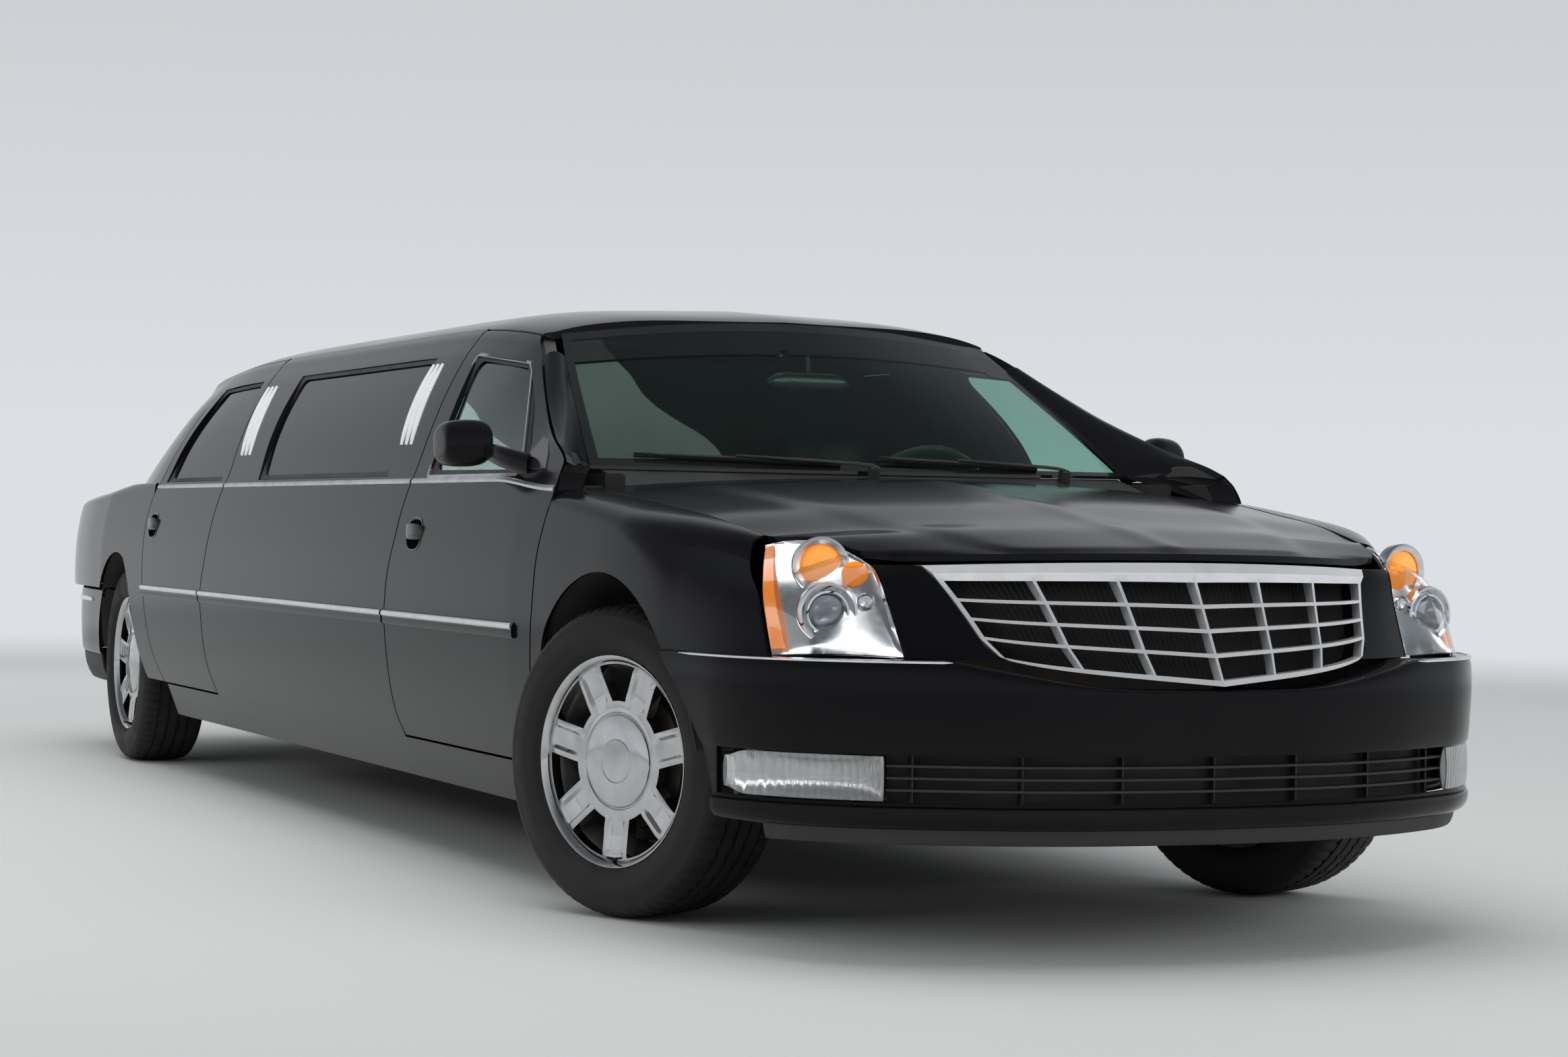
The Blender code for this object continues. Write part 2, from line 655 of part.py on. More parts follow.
# Deck edge beside the trunk lid and under the back pillar: ahead of the rear axle, half width, height.
DECK_WIDTH = ((-1.050, 0.700), (-0.900, 0.722), (-0.600, 0.738), (-0.414, 0.745), (-0.200, 0.822),
              (0.000, 0.868), (0.200, 0.884), (0.455, 0.890))
DECK_HEIGHT = ((-1.050, 0.930), (-0.900, 0.942), (-0.600, 0.957), (-0.414, 0.966), (-0.200, 0.975),
               (0.000, 0.982), (0.455, 0.985))
TAIL_LAMP_X = -1.030


def quarter(label, side):
    """Rear wing round the wheel arch, with the back pillar that carries the roof."""
    end_angle = 180 - math.degrees(math.asin((BUMPER_TOP + SEAT_GAP - REAR_ARCH[1]) / REAR_ARCH[2]))
    foot_x = rear_x(along(REAR_DOOR_AFT, DOOR_BOTTOM)) - SHUT_GAP
    arch_foot = rear_x(REAR_ARCH[0] + REAR_ARCH[2])
    bottom = [(foot_x, DOOR_BOTTOM), (mix(foot_x, arch_foot, 0.5), DOOR_BOTTOM), (arch_foot, DOOR_BOTTOM)]
    bottom += arch_points(REAR_ARCH, REAR_AXLE_X, 0, end_angle, 9)
    bottom.append((rear_x(-0.620), BUMPER_TOP + SEAT_GAP))
    bottom.append((rear_x(TAIL_LAMP_X), BUMPER_TOP + SEAT_GAP))
    count = len(bottom)
    top = spread(rear_x(0.440) - SHUT_GAP, rear_x(TAIL_LAMP_X), count)
    heights = (DOOR_BOTTOM, 0.400, 0.500, 0.600, 0.740, 0.860, 0.945)
    side_rows = len(heights)
    outer = []
    for r in range(side_rows):
        t = (heights[r] - heights[0]) / (heights[-1] - heights[0])
        row = []
        for c, (foot, foot_z) in enumerate(bottom):
            share = c / (count - 1)
            shoulder_z = along(DECK_HEIGHT, top[c] - REAR_AXLE_X) - 0.040
            z = mix(foot_z, shoulder_z, t)
            x = mix(foot, top[c], t)
            start_line = rear_x(along(REAR_DOOR_AFT, mix(DOOR_BOTTOM, 0.945, t))) - SHUT_GAP
            start_chord = mix(bottom[0][0], top[0], t)
            x += (start_line - start_chord) * (1 - share) ** 4
            row.append(skin(x, z, side))
        outer.append(row)
    for t in (0.40, 0.75, 1.0):
        row = []
        for c in range(count):
            start = outer[side_rows - 1][c]
            ahead = top[c] - REAR_AXLE_X
            end_x = top[c] + (0.015 if c == 0 else 0.0) * -t
            end = Vector((end_x, side * (along(DECK_WIDTH, ahead) + 0.003), along(DECK_HEIGHT, ahead)))
            corner = Vector((mix(start.x, end.x, 0.5), start.y - side * 0.004, end.z))
            row.append(start * (1 - t) ** 2 + corner * (2 * t * (1 - t)) + end * t ** 2)
        outer.append(row)
    inner = []
    for r, row in enumerate(outer):
        lean = max(0.0, (r - side_rows + 1) / 3)
        drop = Vector((0, side * SKIN_THICKNESS * (1 - 0.6 * lean), SKIN_THICKNESS * lean))
        inner.append([point - drop for point in row])
    wing = piece(f"quarter_{label}", shell(outer, inner), "paint")
    pillar = []
    rear_rows = [Vector((rear_x(x), side * (y + GLAZING_GAP), z)) for x, y, z, _, _ in BACKLIGHT_ROWS]
    lining = []
    for t in (-0.05, 0.0, 1 / 3, 2 / 3, 1.0):
        level = mix(BELT - 0.003, ROOF_EDGE - 0.0002, t)
        fore = skin(rear_x(along(REAR_DOOR_AFT, level)) - SHUT_GAP, level, side)
        spot = max(t, 0.0) * (len(rear_rows) - 1)
        k = min(int(spot), len(rear_rows) - 2)
        aft = rear_rows[k].lerp(rear_rows[k + 1], spot - k)
        aft.z += min(t, 0.0) * 0.4
        row = []
        lining_row = []
        for s in spread(0.0, 1.0, 7):
            point = fore.lerp(aft, s)
            point.y += side * 0.11 * s * (1 - s) * (1.2 - s * 0.2) * (1 - 0.4 * max(t, 0.0))
            if t == 1.0:
                point = skin(mix(fore.x, rear_x(BACKLIGHT_ROWS[-1][0]), s), level, side)
                point.y = side * max(abs(point.y), BACKLIGHT_ROWS[-1][1] + GLAZING_GAP)
            row.append(point)
            drop = Vector((-0.030 * s, side * 0.022 * (1 - 0.9 * s), 0.0))
            if t == 1.0:
                drop = Vector((-0.030 * s, 0.0, TOP_DROP))
            lining_row.append(point - drop)
        pillar.append(row)
        lining.append(lining_row)
    unite(wing, f"back_pillar_{label}", shell(pillar, lining))


# Nose plan at the bumper top: half width, distance ahead of the front axle.
NOSE_PLAN = ((0.0, 1.142), (0.200, 1.105), (0.400, 1.030), (0.585, 0.925), (0.700, 0.865), (0.820, 0.785))
NOSE_RAKE = 0.58


def nose(y, z, sink=0.0):
    """Point of the raked nose between the lamps."""
    ahead = along(NOSE_PLAN, abs(y)) - NOSE_RAKE * (z - 0.600) - sink
    return Vector((front_x(ahead), y, z))


# Bumper plan, middle to wheel arch: half width, distance ahead of the front axle.
BUMPER_PLAN = ((0.0, 1.165), (0.250, 1.142), (0.460, 1.084), (0.660, 0.985), (0.760, 0.905), (0.840, 0.800),
               (0.895, 0.660), (0.928, 0.450))
# Bumper section: height, and how far it lies inside the plan.
BUMPER_SECTION = ((0.607, 0.070), (0.607, 0.014), (0.590, 0.002), (0.545, 0.0), (0.434, 0.006),
                  (0.354, 0.008), (0.320, 0.002), (0.240, 0.030))
# How the bumper's top edge dips under the grille: half width, height.
BUMPER_CREST = ((0.0, 0.552), (0.250, 0.557), (0.460, 0.590), (0.540, BUMPER_TOP))
BUMPER_SHOULDER = 0.545
LOWER_GRILLE_TOP = 0.434
LOWER_GRILLE_BOTTOM = 0.354
MOUTH_REACH = 5
BUMPER_THICKNESS = 0.022


def arch_edge(arch, z, direction):
    ahead, height, radius = arch
    rise = max(z - height, 0.0)
    return ahead + direction * math.sqrt(radius ** 2 - rise ** 2)


def wrapped(plan, section, place, end_at, direction, depth, crest=None, shelf_thickness=0.0):
    """Bumper cover swept round its plan: rows down the section, columns from the right end to the left."""
    outer = []
    inner = []
    half = list(plan)
    for z, inset in section:
        row = []
        back = []
        for side in (-1, 1):
            points = list(reversed(half)) if side < 0 else half[1:]
            for y, ahead in points:
                index = half.index((y, ahead))
                before = half[max(index - 1, 0)]
                after = half[min(index + 1, len(half) - 1)]
                normal = Vector((after[0] - before[0], direction * (before[1] - after[1])))
                if index == 0:
                    normal = Vector((1.0, 0.0))
                normal.normalize()
                x = ahead - direction * inset * normal.x
                w = y - inset * normal.y
                bx = ahead - direction * (inset + depth) * normal.x
                bw = y - (inset + depth) * normal.y
                if end_at and index == len(half) - 1:
                    x = bx = end_at(z)
                top = z
                if crest and z > BUMPER_SHOULDER:
                    share = (z - BUMPER_SHOULDER) / (BUMPER_TOP - BUMPER_SHOULDER)
                    top = mix(BUMPER_SHOULDER, along(crest, y), share)
                row.append(Vector((place(x), side * w, top)))
                shelf = shelf_thickness if z == section[0][0] else 0.0
                back.append(Vector((place(bx), side * bw, top - shelf)))
        outer.append(row)
        inner.append(back)
    return outer, inner


def front_bumper():
    outer, inner = wrapped(BUMPER_PLAN, BUMPER_SECTION, front_x,
                           lambda z: arch_edge(FRONT_ARCH, z, 1) + 0.012, 1, BUMPER_THICKNESS,
                           BUMPER_CREST, 0.018)
    heights = [z for z, _ in BUMPER_SECTION]
    middle = len(BUMPER_PLAN) - 1
    row = heights.index(LOWER_GRILLE_TOP)
    mouth = {(row, c) for c in range(middle - MOUTH_REACH, middle + MOUTH_REACH)}
    piece("front_bumper", shell(outer, inner, mouth), "paint")


def lower_grille():
    """Bars and uprights behind the bumper's mouth, with a fog lamp block at each end."""
    end = BUMPER_PLAN[MOUTH_REACH][0] - 0.004
    fog_inner = 0.661
    half_bar = 0.006
    ys = [0.0, half_bar]
    for centre in (0.225, 0.450):
        ys += [centre - half_bar, centre + half_bar]
    ys += [fog_inner, mix(fog_inner, end, 0.5), end]
    plan = [(y, straight(BUMPER_PLAN, y)) for y in ys]
    sink = BUMPER_SECTION[5][1] + BUMPER_THICKNESS + GLAZING_GAP
    rows = [(z, sink) for z in spread(LOWER_GRILLE_TOP + 0.006, LOWER_GRILLE_BOTTOM - 0.006, 8)]
    outer, inner = wrapped(plan, rows, front_x, None, 1, 0.030)
    middle = len(ys) - 1
    openings = {k for c in (1, 3, 5) for k in (middle + c, middle - 1 - c)}
    holes = {(r, c) for r in (1, 3, 5) for c in openings}
    piece("lower_grille", shell(outer, inner, holes), "black_plastic")


GRILLE_HALF = ((0.0, 0.470), (0.20, 0.535), (0.50, 0.545), (0.80, 0.525), (1.0, 0.500))
GRILLE_TOP = 0.804
GRILLE_FOOT = 0.562
GRILLE_DEPTH = 0.036
BLADE = 0.007
GRILLE_ROWS = 4
GRILLE_COLUMNS = 6


def grille_point(u, v, sink):
    """u runs from -1 at the right edge to 1 at the left, v from 0 at the foot to 1 at the top."""
    y = u * along(GRILLE_HALF, v)
    foot = GRILLE_FOOT + 0.048 * abs(u) ** 3
    top = GRILLE_TOP - 0.012 * abs(u) ** 2
    return nose(y, mix(foot, top, v), sink)


# Gap of the nose panel to the grille and to the head lamp.
NOSE_PANEL_GAP = 0.0026
GRILLE_HEADER = 0.16
GRILLE_FOOT_RIM = 0.045


def grille_levels():
    """Shares of the grille's height at the edges of its rim, bars and header."""
    levels = [0.0, GRILLE_FOOT_RIM]
    for v in spread(GRILLE_FOOT_RIM, 1.0 - GRILLE_HEADER, GRILLE_ROWS + 1)[1:-1]:
        levels += [v - 0.018, v + 0.018]
    return [*levels, 1.0 - GRILLE_HEADER, 1.0 - GRILLE_HEADER / 2, 1.0]


def grille():
    """Egg-crate grille: a deep header, a rim, three bars across and five upright blades."""
    rim = 0.020
    us = [-1.0, -1.0 + rim]
    for u in spread(-1.0 + rim, 1.0 - rim, GRILLE_COLUMNS + 1)[1:-1]:
        us += [u - BLADE, u + BLADE]
    us += [1.0 - rim, 1.0]
    vs = grille_levels()
    holes = {(r, c) for r in range(1, 2 * GRILLE_ROWS, 2) for c in range(1, 2 * GRILLE_COLUMNS, 2)}
    outer = []
    inner = []
    for v in vs:
        proud = 0.010 if abs(v - (1.0 - GRILLE_HEADER / 2)) < 0.001 else 0.0
        outer.append([grille_point(u, v, -proud) for u in us])
        inner.append([grille_point(u, v, GRILLE_DEPTH) for u in us])
    piece("grille", shell(outer, inner, holes), "satin_metal")


def nose_panel(label, side):
    """Painted strip between the grille and the head lamp."""
    outer = []
    levels = grille_levels()
    for v in (levels[0], levels[1], *levels[2::2]):
        edge = grille_point(1.0, v, 0.004)
        z = edge.z if v > 0.0 else BUMPER_TOP + SEAT_GAP
        lamp_x = along(LAMP_INNER_X, z)
        lamp_y = along(LAMP_INNER_Y, z) - NOSE_PANEL_GAP
        near = Vector((edge.x, edge.y + NOSE_PANEL_GAP, z))
        far = Vector((front_x(lamp_x), lamp_y, z))
        outer.append([Vector((p.x, side * p.y, p.z)) for p in (near, near.lerp(far, 0.5), far)])
    inner = [[point - Vector((0.026, 0, 0)) for point in row] for row in outer]
    piece(f"nose_panel_{label}", shell(outer, inner), "paint")


# Head lamp edges. Inner edge by height, then outer edge, foot and top as ahead of axle, half width, height.
LAMP_INNER_X = ((BUMPER_TOP, 0.922), (0.714, 0.860), (0.779, 0.823), (0.802, 0.782))
LAMP_INNER_Y = ((BUMPER_TOP, 0.590), (0.714, 0.600), (0.779, 0.611), (0.802, 0.624))
LAMP_OUTER_EDGE = ((0.766, 0.812, BUMPER_TOP), (0.714, 0.811, 0.714), (0.660, 0.790, 0.775),
                   (0.553, 0.740, 0.828))
LAMP_TOP = ((0.782, 0.624, 0.802), (0.745, 0.636, 0.816), (0.700, 0.648, 0.830), (0.650, 0.670, 0.838),
            (0.600, 0.705, 0.838), (0.553, 0.740, 0.828))
LAMP_DEPTH = 0.090


def head_lamp(label, side):
    heights = (BUMPER_TOP + SEAT_GAP, 0.714, 0.779, 0.802)
    steps = len(LAMP_TOP)
    outer = []
    for k, z in enumerate(heights):
        a = Vector((along(LAMP_INNER_X, z), along(LAMP_INNER_Y, z), z))
        b = Vector(LAMP_OUTER_EDGE[k])
        b.z = max(b.z, heights[0])
        blend = (k / (len(heights) - 1)) ** 2
        row = []
        for t, crest in zip(spread(0.0, 1.0, steps), LAMP_TOP):
            bulge = Vector((0.041, 0.030, 0.006)) * math.sin(math.pi * t)
            rise = Vector(crest) - Vector(LAMP_TOP[0]).lerp(Vector(LAMP_TOP[-1]), t)
            point = a.lerp(b, t) + bulge.lerp(rise, blend)
            row.append(Vector((front_x(point.x), side * point.y, point.z)))
        outer.append(row)
    inner = []
    for row, drop in zip(outer, (0.0, 0.0, 0.012, 0.034)):
        inner.append([point - Vector((LAMP_DEPTH, side * 0.045 * k / (steps - 1), drop))
                      for k, point in enumerate(row)])
    piece(f"headlamp_{label}", shell(outer, inner), "lamp")


# Deck rows of the trunk lid, front to tail and down its face, and rear bumper.
DECK_ROWS = (
    (-0.428, 0.741, 0.966, -0.520, 0.982),
    (-0.600, 0.735, 0.957, -0.680, 0.978),
    (-0.850, 0.722, 0.944, -0.900, 0.966),
    (-1.015, 0.700, 0.930, -1.070, 0.950),
    (-1.045, 0.692, 0.905, -1.110, 0.925),
    (-1.060, 0.640, 0.760, -1.130, 0.760),
    (-1.062, 0.600, 0.640, -1.132, 0.640),
)
LID_THICKNESS = 0.020
REAR_BUMPER_PLAN = ((0.0, -1.173), (0.260, -1.168), (0.480, -1.150), (0.660, -1.115), (0.790, -1.045),
                    (0.865, -0.940), (0.905, -0.800), (0.922, -0.600), (0.930, -0.380))
REAR_BUMPER_SECTION = ((0.607, 0.070), (0.607, 0.014), (0.588, 0.002), (0.480, 0.0), (0.400, 0.004),
                       (0.330, 0.016), (0.260, 0.045))


def tail():
    grid = crowned_rows(DECK_ROWS, rear_x)
    hinge = pivot("trunk_hinge", (grid[0][0].x, 0.0, grid[0][CROSS_STEPS // 2].z + 0.004))
    piece("trunk_lid", shell(grid, sunk(grid, LID_THICKNESS)), "paint", hinge)
    outer, inner = wrapped(REAR_BUMPER_PLAN, REAR_BUMPER_SECTION, rear_x,
                           lambda z: arch_edge(REAR_ARCH, z, -1) - 0.012, -1, BUMPER_THICKNESS, None, 0.018)
    piece("rear_bumper", shell(outer, inner), "paint")


# Tail lamp: height, inner half width, inner x, outer x, all from the rear axle.
TAIL_LAMP_ROWS = ((BUMPER_TOP + SEAT_GAP, 0.615, -1.098, TAIL_LAMP_X - 0.0012),
                  (0.760, 0.650, -1.092, TAIL_LAMP_X - 0.0012), (0.895, 0.700, -1.078, TAIL_LAMP_X - 0.0012))


def tail_lamp(label, side):
    outer = []
    for z, inner_y, inner_x, outer_x in TAIL_LAMP_ROWS:
        a = Vector((rear_x(inner_x), side * (inner_y + 0.010), z))
        b = skin(rear_x(outer_x), z, side, 0.002)
        row = []
        for t in spread(0.0, 1.0, 6):
            point = a.lerp(b, t)
            point.x -= 0.020 * math.sin(math.pi * t)
            row.append(point)
        outer.append(row)
    depths = (0.050, 0.050, 0.050, 0.050, 0.050, 0.002)
    inner = [[point + Vector((depth, -side * 0.040 * k / 5, 0))
              for k, (point, depth) in enumerate(zip(row, depths))]
             for row in outer]
    piece(f"tail_lamp_{label}", shell(outer, inner), "red_lamp")


# Floor line: lengthwise place, height of the floor's underside.
FLOOR_FRONT_X = front_x(-0.415)
FLOOR_LINE = ((FLOOR_FRONT_X, FLOOR_HEIGHT), (rear_x(0.660), FLOOR_HEIGHT), (rear_x(0.620), FLOOR_HEIGHT),
              (rear_x(0.360), 0.505), (rear_x(-0.360), 0.505), (rear_x(-0.620), 0.400),
              (rear_x(-1.010), 0.400))
FLOOR_THICKNESS = 0.020
SILL_INNER = 0.760


def floor_pan():
    """Floor with its sills, which narrows and rises between the rear wheels into the trunk floor."""
    sections = []
    sill_top = DOOR_BOTTOM - SHUT_GAP
    for k, (x, low) in enumerate(FLOOR_LINE):
        top = low + FLOOR_THICKNESS
        if k < 2:
            face_top = half_width(x, DOOR_BOTTOM) - 0.006
            face_foot = half_width(x, SILL_BOTTOM) - 0.004
            half = [(SILL_INNER, top), (SILL_INNER, sill_top), (face_top, sill_top),
                    (face_foot, SILL_BOTTOM),
                    (SILL_INNER, SILL_BOTTOM), (SILL_INNER - 0.02, low)]
        else:
            width = 0.640 if low > FLOOR_HEIGHT + 0.2 or k == 2 else 0.690
            half = [(width - 0.020, top), (width - 0.015, top), (width - 0.010, top), (width, top),
                    (width, low), (width - 0.020, low)]
        sections.append([(x, y, z) for y, z in half] + [(x, -y, z) for y, z in reversed(half)])
    piece("floor_pan", loft(sections), "black_plastic")


def cabin():
    floor_top = FLOOR_HEIGHT + 0.020
    # Firewall and toe board, as wide as the dashboard.
    fore = front_x(-0.375)
    back = fore - 0.026
    low = floor_top + SEAT_GAP
    top = 0.890
    wall = [(front_x(-0.420), low), (fore, 0.420), (fore, top), (back, top), (back, 0.430),
            (front_x(-0.450), low)]
    firewall = piece("firewall", loft([[(x, y, z) for x, z in wall] for y in (-0.726, 0.726)]), "chassis")
    edge_x, edge_y, edge_z, middle_x, middle_z = BONNET_ROWS[0]
    hinge_y = 0.640
    hinge_top = mix(edge_z, middle_z, 1 - (hinge_y / edge_y) ** 2) - SKIN_THICKNESS - 0.0024
    for label, side in SIDES:
        # Bracket that stands under the windshield pillar's foot.
        foot = pillar_grids(side)[1][0][0]
        ys = sorted((side * 0.705, side * 0.755))
        post = block((back + 0.003, ys[0], 0.870), (fore - 0.004, ys[1], foot.z - SEAT_GAP - 0.004))
        unite(firewall, f"pillar_post_{label}", post)
        arm = block((foot.x - 0.020, ys[0] + 0.003, 0.958), (fore - 0.010, ys[1] - 0.003, foot.z - SEAT_GAP))
        unite(firewall, f"pillar_foot_{label}", arm)
        # Bonnet hinge: a bracket on the firewall and an upright under the bonnet's rear edge.
        ys = sorted((side * (hinge_y - 0.050), side * hinge_y))
        bracket = block((fore - 0.010, ys[0], 0.850), (front_x(-0.300), ys[1], 0.880))
        unite(firewall, f"bonnet_bracket_{label}", bracket)
        upright = block((front_x(-0.3145), ys[0], 0.855), (front_x(-0.296), ys[1], hinge_top))
        unite(firewall, f"bonnet_hinge_{label}", upright)
        # Hinge pillar behind the front wing, out to the door's leading edge.
        post = []
        for z in (0.510, 0.600, 0.700, 0.800, top - 0.006):
            rear = front_x(along(FRONT_DOOR_FORE, z)) + SHUT_GAP + 0.004
            outer_y = half_width(rear, z) - 0.018
            post.append([(fore - 0.015, side * 0.712, z), (fore - 0.015, side * 0.790, z),
                         (rear, side * 0.800, z),
                         (rear, side * outer_y, z), (rear + 0.024, side * outer_y, z),
                         (rear + 0.024, side * 0.712, z)])
        unite(firewall, f"hinge_pillar_{label}", loft(post))
        for name, row in HINGE_ROWS:
            unite(firewall, f"front_hinge_{name}_{label}", hinge_leaf(front_x, FRONT_DOOR_FORE, row, side))
    # Cowl top, on the firewall from the bonnet's rear edge to the windshield's foot.
    foot_x, foot_y, foot_z, foot_middle_x, foot_middle_z = WINDSHIELD_ROWS[0]
    sections = []
    for y in spread(-0.700, 0.700, 9):
        bulge = 1 - (y / edge_y) ** 2
        front = front_x(mix(edge_x, middle_x, bulge)) - 0.0055
        front_z = mix(edge_z, middle_z, bulge) - SKIN_THICKNESS - 0.002
        bulge = 1 - (y / foot_y) ** 2
        rear = front_x(mix(foot_x, foot_middle_x, bulge)) - 0.010
        rear_z = mix(foot_z, foot_middle_z, bulge) - GLASS_THICKNESS * 1.6 - SEAT_GAP
        under = mix(front_z, rear_z, (front - back) / (front - rear)) - 0.024
        profile = [(back, top + SEAT_GAP), (fore, top + SEAT_GAP), (fore, front_z - 0.022),
                   (front, front_z - 0.014),
                   (front, front_z), (rear, rear_z), (rear, rear_z - 0.022), (back, under)]
        sections.append([(x, y, z) for x, z in profile])
    piece("cowl", loft(sections), "black_plastic")
    dash = [(-0.4014, 0.700), (-0.4014, 0.925), (-0.560, 0.950), (-0.700, 0.965), (-0.860, 0.950),
            (-0.900, 0.900),
            (-0.870, 0.700), (-0.700, 0.660)]
    sections = []
    for y in spread(-0.700, 0.700, 7):
        bow = 0.030 * (abs(y) / 0.700) ** 2
        sections.append([(front_x(x - bow if x < -0.6 else x), y, z) for x, z in dash])
    piece("dashboard", loft(sections), "trim")
    # Each seat is one closed profile of cushion and back: x, z from its own front edge.
    seat = [(0.0, 0.300), (0.02, 0.420), (-0.10, 0.450), (-0.46, 0.425), (-0.56, 0.70), (-0.62, 1.000),
            (-0.635, 1.130), (-0.70, 1.130), (-0.735, 1.000), (-0.72, 0.70), (-0.66, 0.300)]
    lift = floor_top + SEAT_GAP - 0.300
    for name, start, inner_y, outer_y, trim in (("front_seat_R", front_x(-1.080), -0.700, -0.120, 0.0),
                                                ("front_seat_L", front_x(-1.080), 0.120, 0.700, 0.0)):
        sections = []
        for y, pinch in ((inner_y, 0.03), (inner_y + 0.05, 0.0), (outer_y - 0.05, 0.0), (outer_y, 0.03)):
            sections.append([(start + x * (1 - pinch * 0.5) - pinch * 0.3, y,
                              z + lift - (pinch if z > 1 else 0))
                             for x, z in seat])
        piece(name, loft(sections), "leather")
    sections = []
    bench_seat = [*seat[:6], (-0.635, 1.080), (-0.700, 1.080), (-0.735, 1.000), (-0.700, 0.640),
                  (-0.600, 0.450),
                  (-0.550, 0.300)]
    for y, pinch in ((-0.720, 0.03), (-0.66, 0.0), (0.66, 0.0), (0.720, 0.03)):
        sections.append([(rear_x(1.225) + x, y, z + lift - (pinch if z > 0.99 else 0))
                         for x, z in bench_seat])
    piece("rear_bench", loft(sections), "leather")
    # Parcel shelf behind the bench, with the blocks that carry the lid's hinges.
    shelf_low, shelf_top = 0.925, 0.943
    shelf_front = rear_x(0.4930)
    shelf = piece("parcel_shelf", block((rear_x(-0.470), -0.690, shelf_low),
                                        (shelf_front, 0.690, shelf_top)), "trim")
    edge_x, edge_y, edge_z, middle_x, middle_z = DECK_ROWS[0]
    lid_y = 0.500
    bulge = 1 - (lid_y / edge_y) ** 2
    lid_x = rear_x(mix(edge_x, middle_x, bulge))
    lid_under = mix(edge_z, middle_z, bulge) - LID_THICKNESS + 0.0004
    for label, side in SIDES:
        ys = sorted((side * (lid_y - 0.040), side * lid_y))
        stand = block((lid_x - 0.012, ys[0], shelf_low + 0.003), (lid_x + 0.060, ys[1], lid_under))
        unite(shelf, f"lid_hinge_{label}", stand)
    partition = [(front_x(-1.960), floor_top + SEAT_GAP), (front_x(-1.960), 0.960), (front_x(-1.975), 1.330),
                 (front_x(-2.005), 1.330), (front_x(-2.020), 0.960), (front_x(-2.020), floor_top + SEAT_GAP)]
    widths = (0.750, 0.820, 0.620, 0.620, 0.820, 0.750)
    loops = []
    for side in (-1, 0, 1):
        loops.append([(x, side * w, z) for (x, z), w in zip(partition, widths)])
    piece("partition", loft(loops), "trim")


COLUMN_LENGTH = 0.1315


def steering():
    centre = Vector((front_x(-1.030), 0.360, 0.905))
    tilt = math.radians(62)
    column = pivot("steering_column", centre)
    # Rim and hub are turned about Y and then tilted so that the axis points down the column.
    profile = [(0.010 * math.cos(a), 0.186 + 0.013 * math.sin(a)) for a in spread(0, 2 * math.pi, 7)[:-1]]
    rim = turned(profile, 20)
    hub = turned([(COLUMN_LENGTH, 0.001), (COLUMN_LENGTH, 0.022), (0.030, 0.022), (0.020, 0.075),
                  (-0.010, 0.075),
                  (-0.014, 0.001)], 10)
    turn = Matrix.Rotation(math.pi - tilt, 3, "Y") @ Matrix.Rotation(math.pi / 2, 3, "X")
    bar_a = block((-0.186, -0.012, -0.020), (0.186, 0.006, 0.020))
    bmesh.ops.rotate(rim, verts=rim.verts, matrix=turn)
    bmesh.ops.rotate(hub, verts=hub.verts, matrix=turn)
    bmesh.ops.rotate(bar_a, verts=bar_a.verts, matrix=turn)
    wheel = piece("steering_wheel", rim, "leather", column, local=True)
    unite(wheel, "steering_spokes", bar_a, column, local=True)
    unite(wheel, "steering_hub", hub, column, local=True)


FRAME_DEPTH = 0.100
RAIL_HALF_WIDTH = 0.040
# The frame's three lengths: the saloon's front and rear ends and the straight length let in between them.
# Stations: place, half width of the rail's middle, top of the rail, whether a cross-member follows.
FRONT_SPLICE = front_x(-0.400)
REAR_SPLICE = rear_x(0.640)
FRAME_PARTS = (
    ("front_frame", (
        (front_x(1.0520), 0.420, 0.540, False), (front_x(0.950), 0.420, 0.540, True),
        (front_x(0.890), 0.420, 0.520, False),
        (front_x(0.080), 0.420, 0.400, True), (front_x(-0.080), 0.420, 0.400, False),
        (front_x(-0.340), 0.440, FLOOR_HEIGHT, True), (FRONT_SPLICE + SEAT_GAP, 0.440, FLOOR_HEIGHT, False),
    )),
    ("middle_frame", (
        (FRONT_SPLICE, 0.440, FLOOR_HEIGHT, False), (front_x(-0.640), 0.640, FLOOR_HEIGHT, True),
        (front_x(-0.720), 0.640, FLOOR_HEIGHT, False), (front_x(-2.400), 0.640, FLOOR_HEIGHT, True),
        (front_x(-2.480), 0.640, FLOOR_HEIGHT, False), (rear_x(0.720), 0.560, FLOOR_HEIGHT, True),
        (REAR_SPLICE, 0.540, FLOOR_HEIGHT, False),
    )),
    ("rear_frame", (
        (REAR_SPLICE - SEAT_GAP, 0.540, FLOOR_HEIGHT, False), (rear_x(0.620), 0.540, FLOOR_HEIGHT, False),
        (rear_x(0.360), 0.520, 0.505, False),
        (rear_x(-0.300), 0.520, 0.505, True), (rear_x(-0.360), 0.520, 0.505, False),
        (rear_x(-0.620), 0.520, 0.400, False), (rear_x(-0.960), 0.520, 0.400, True),
        (rear_x(-1.010), 0.520, 0.400, False), (rear_x(-1.0825), 0.520, 0.400, False),
    )),
)
KINGPIN_FOOT = 0.150
# Inner face of the wheel's centre, outboard of the wheel's middle.
HUB_FACE = 0.050


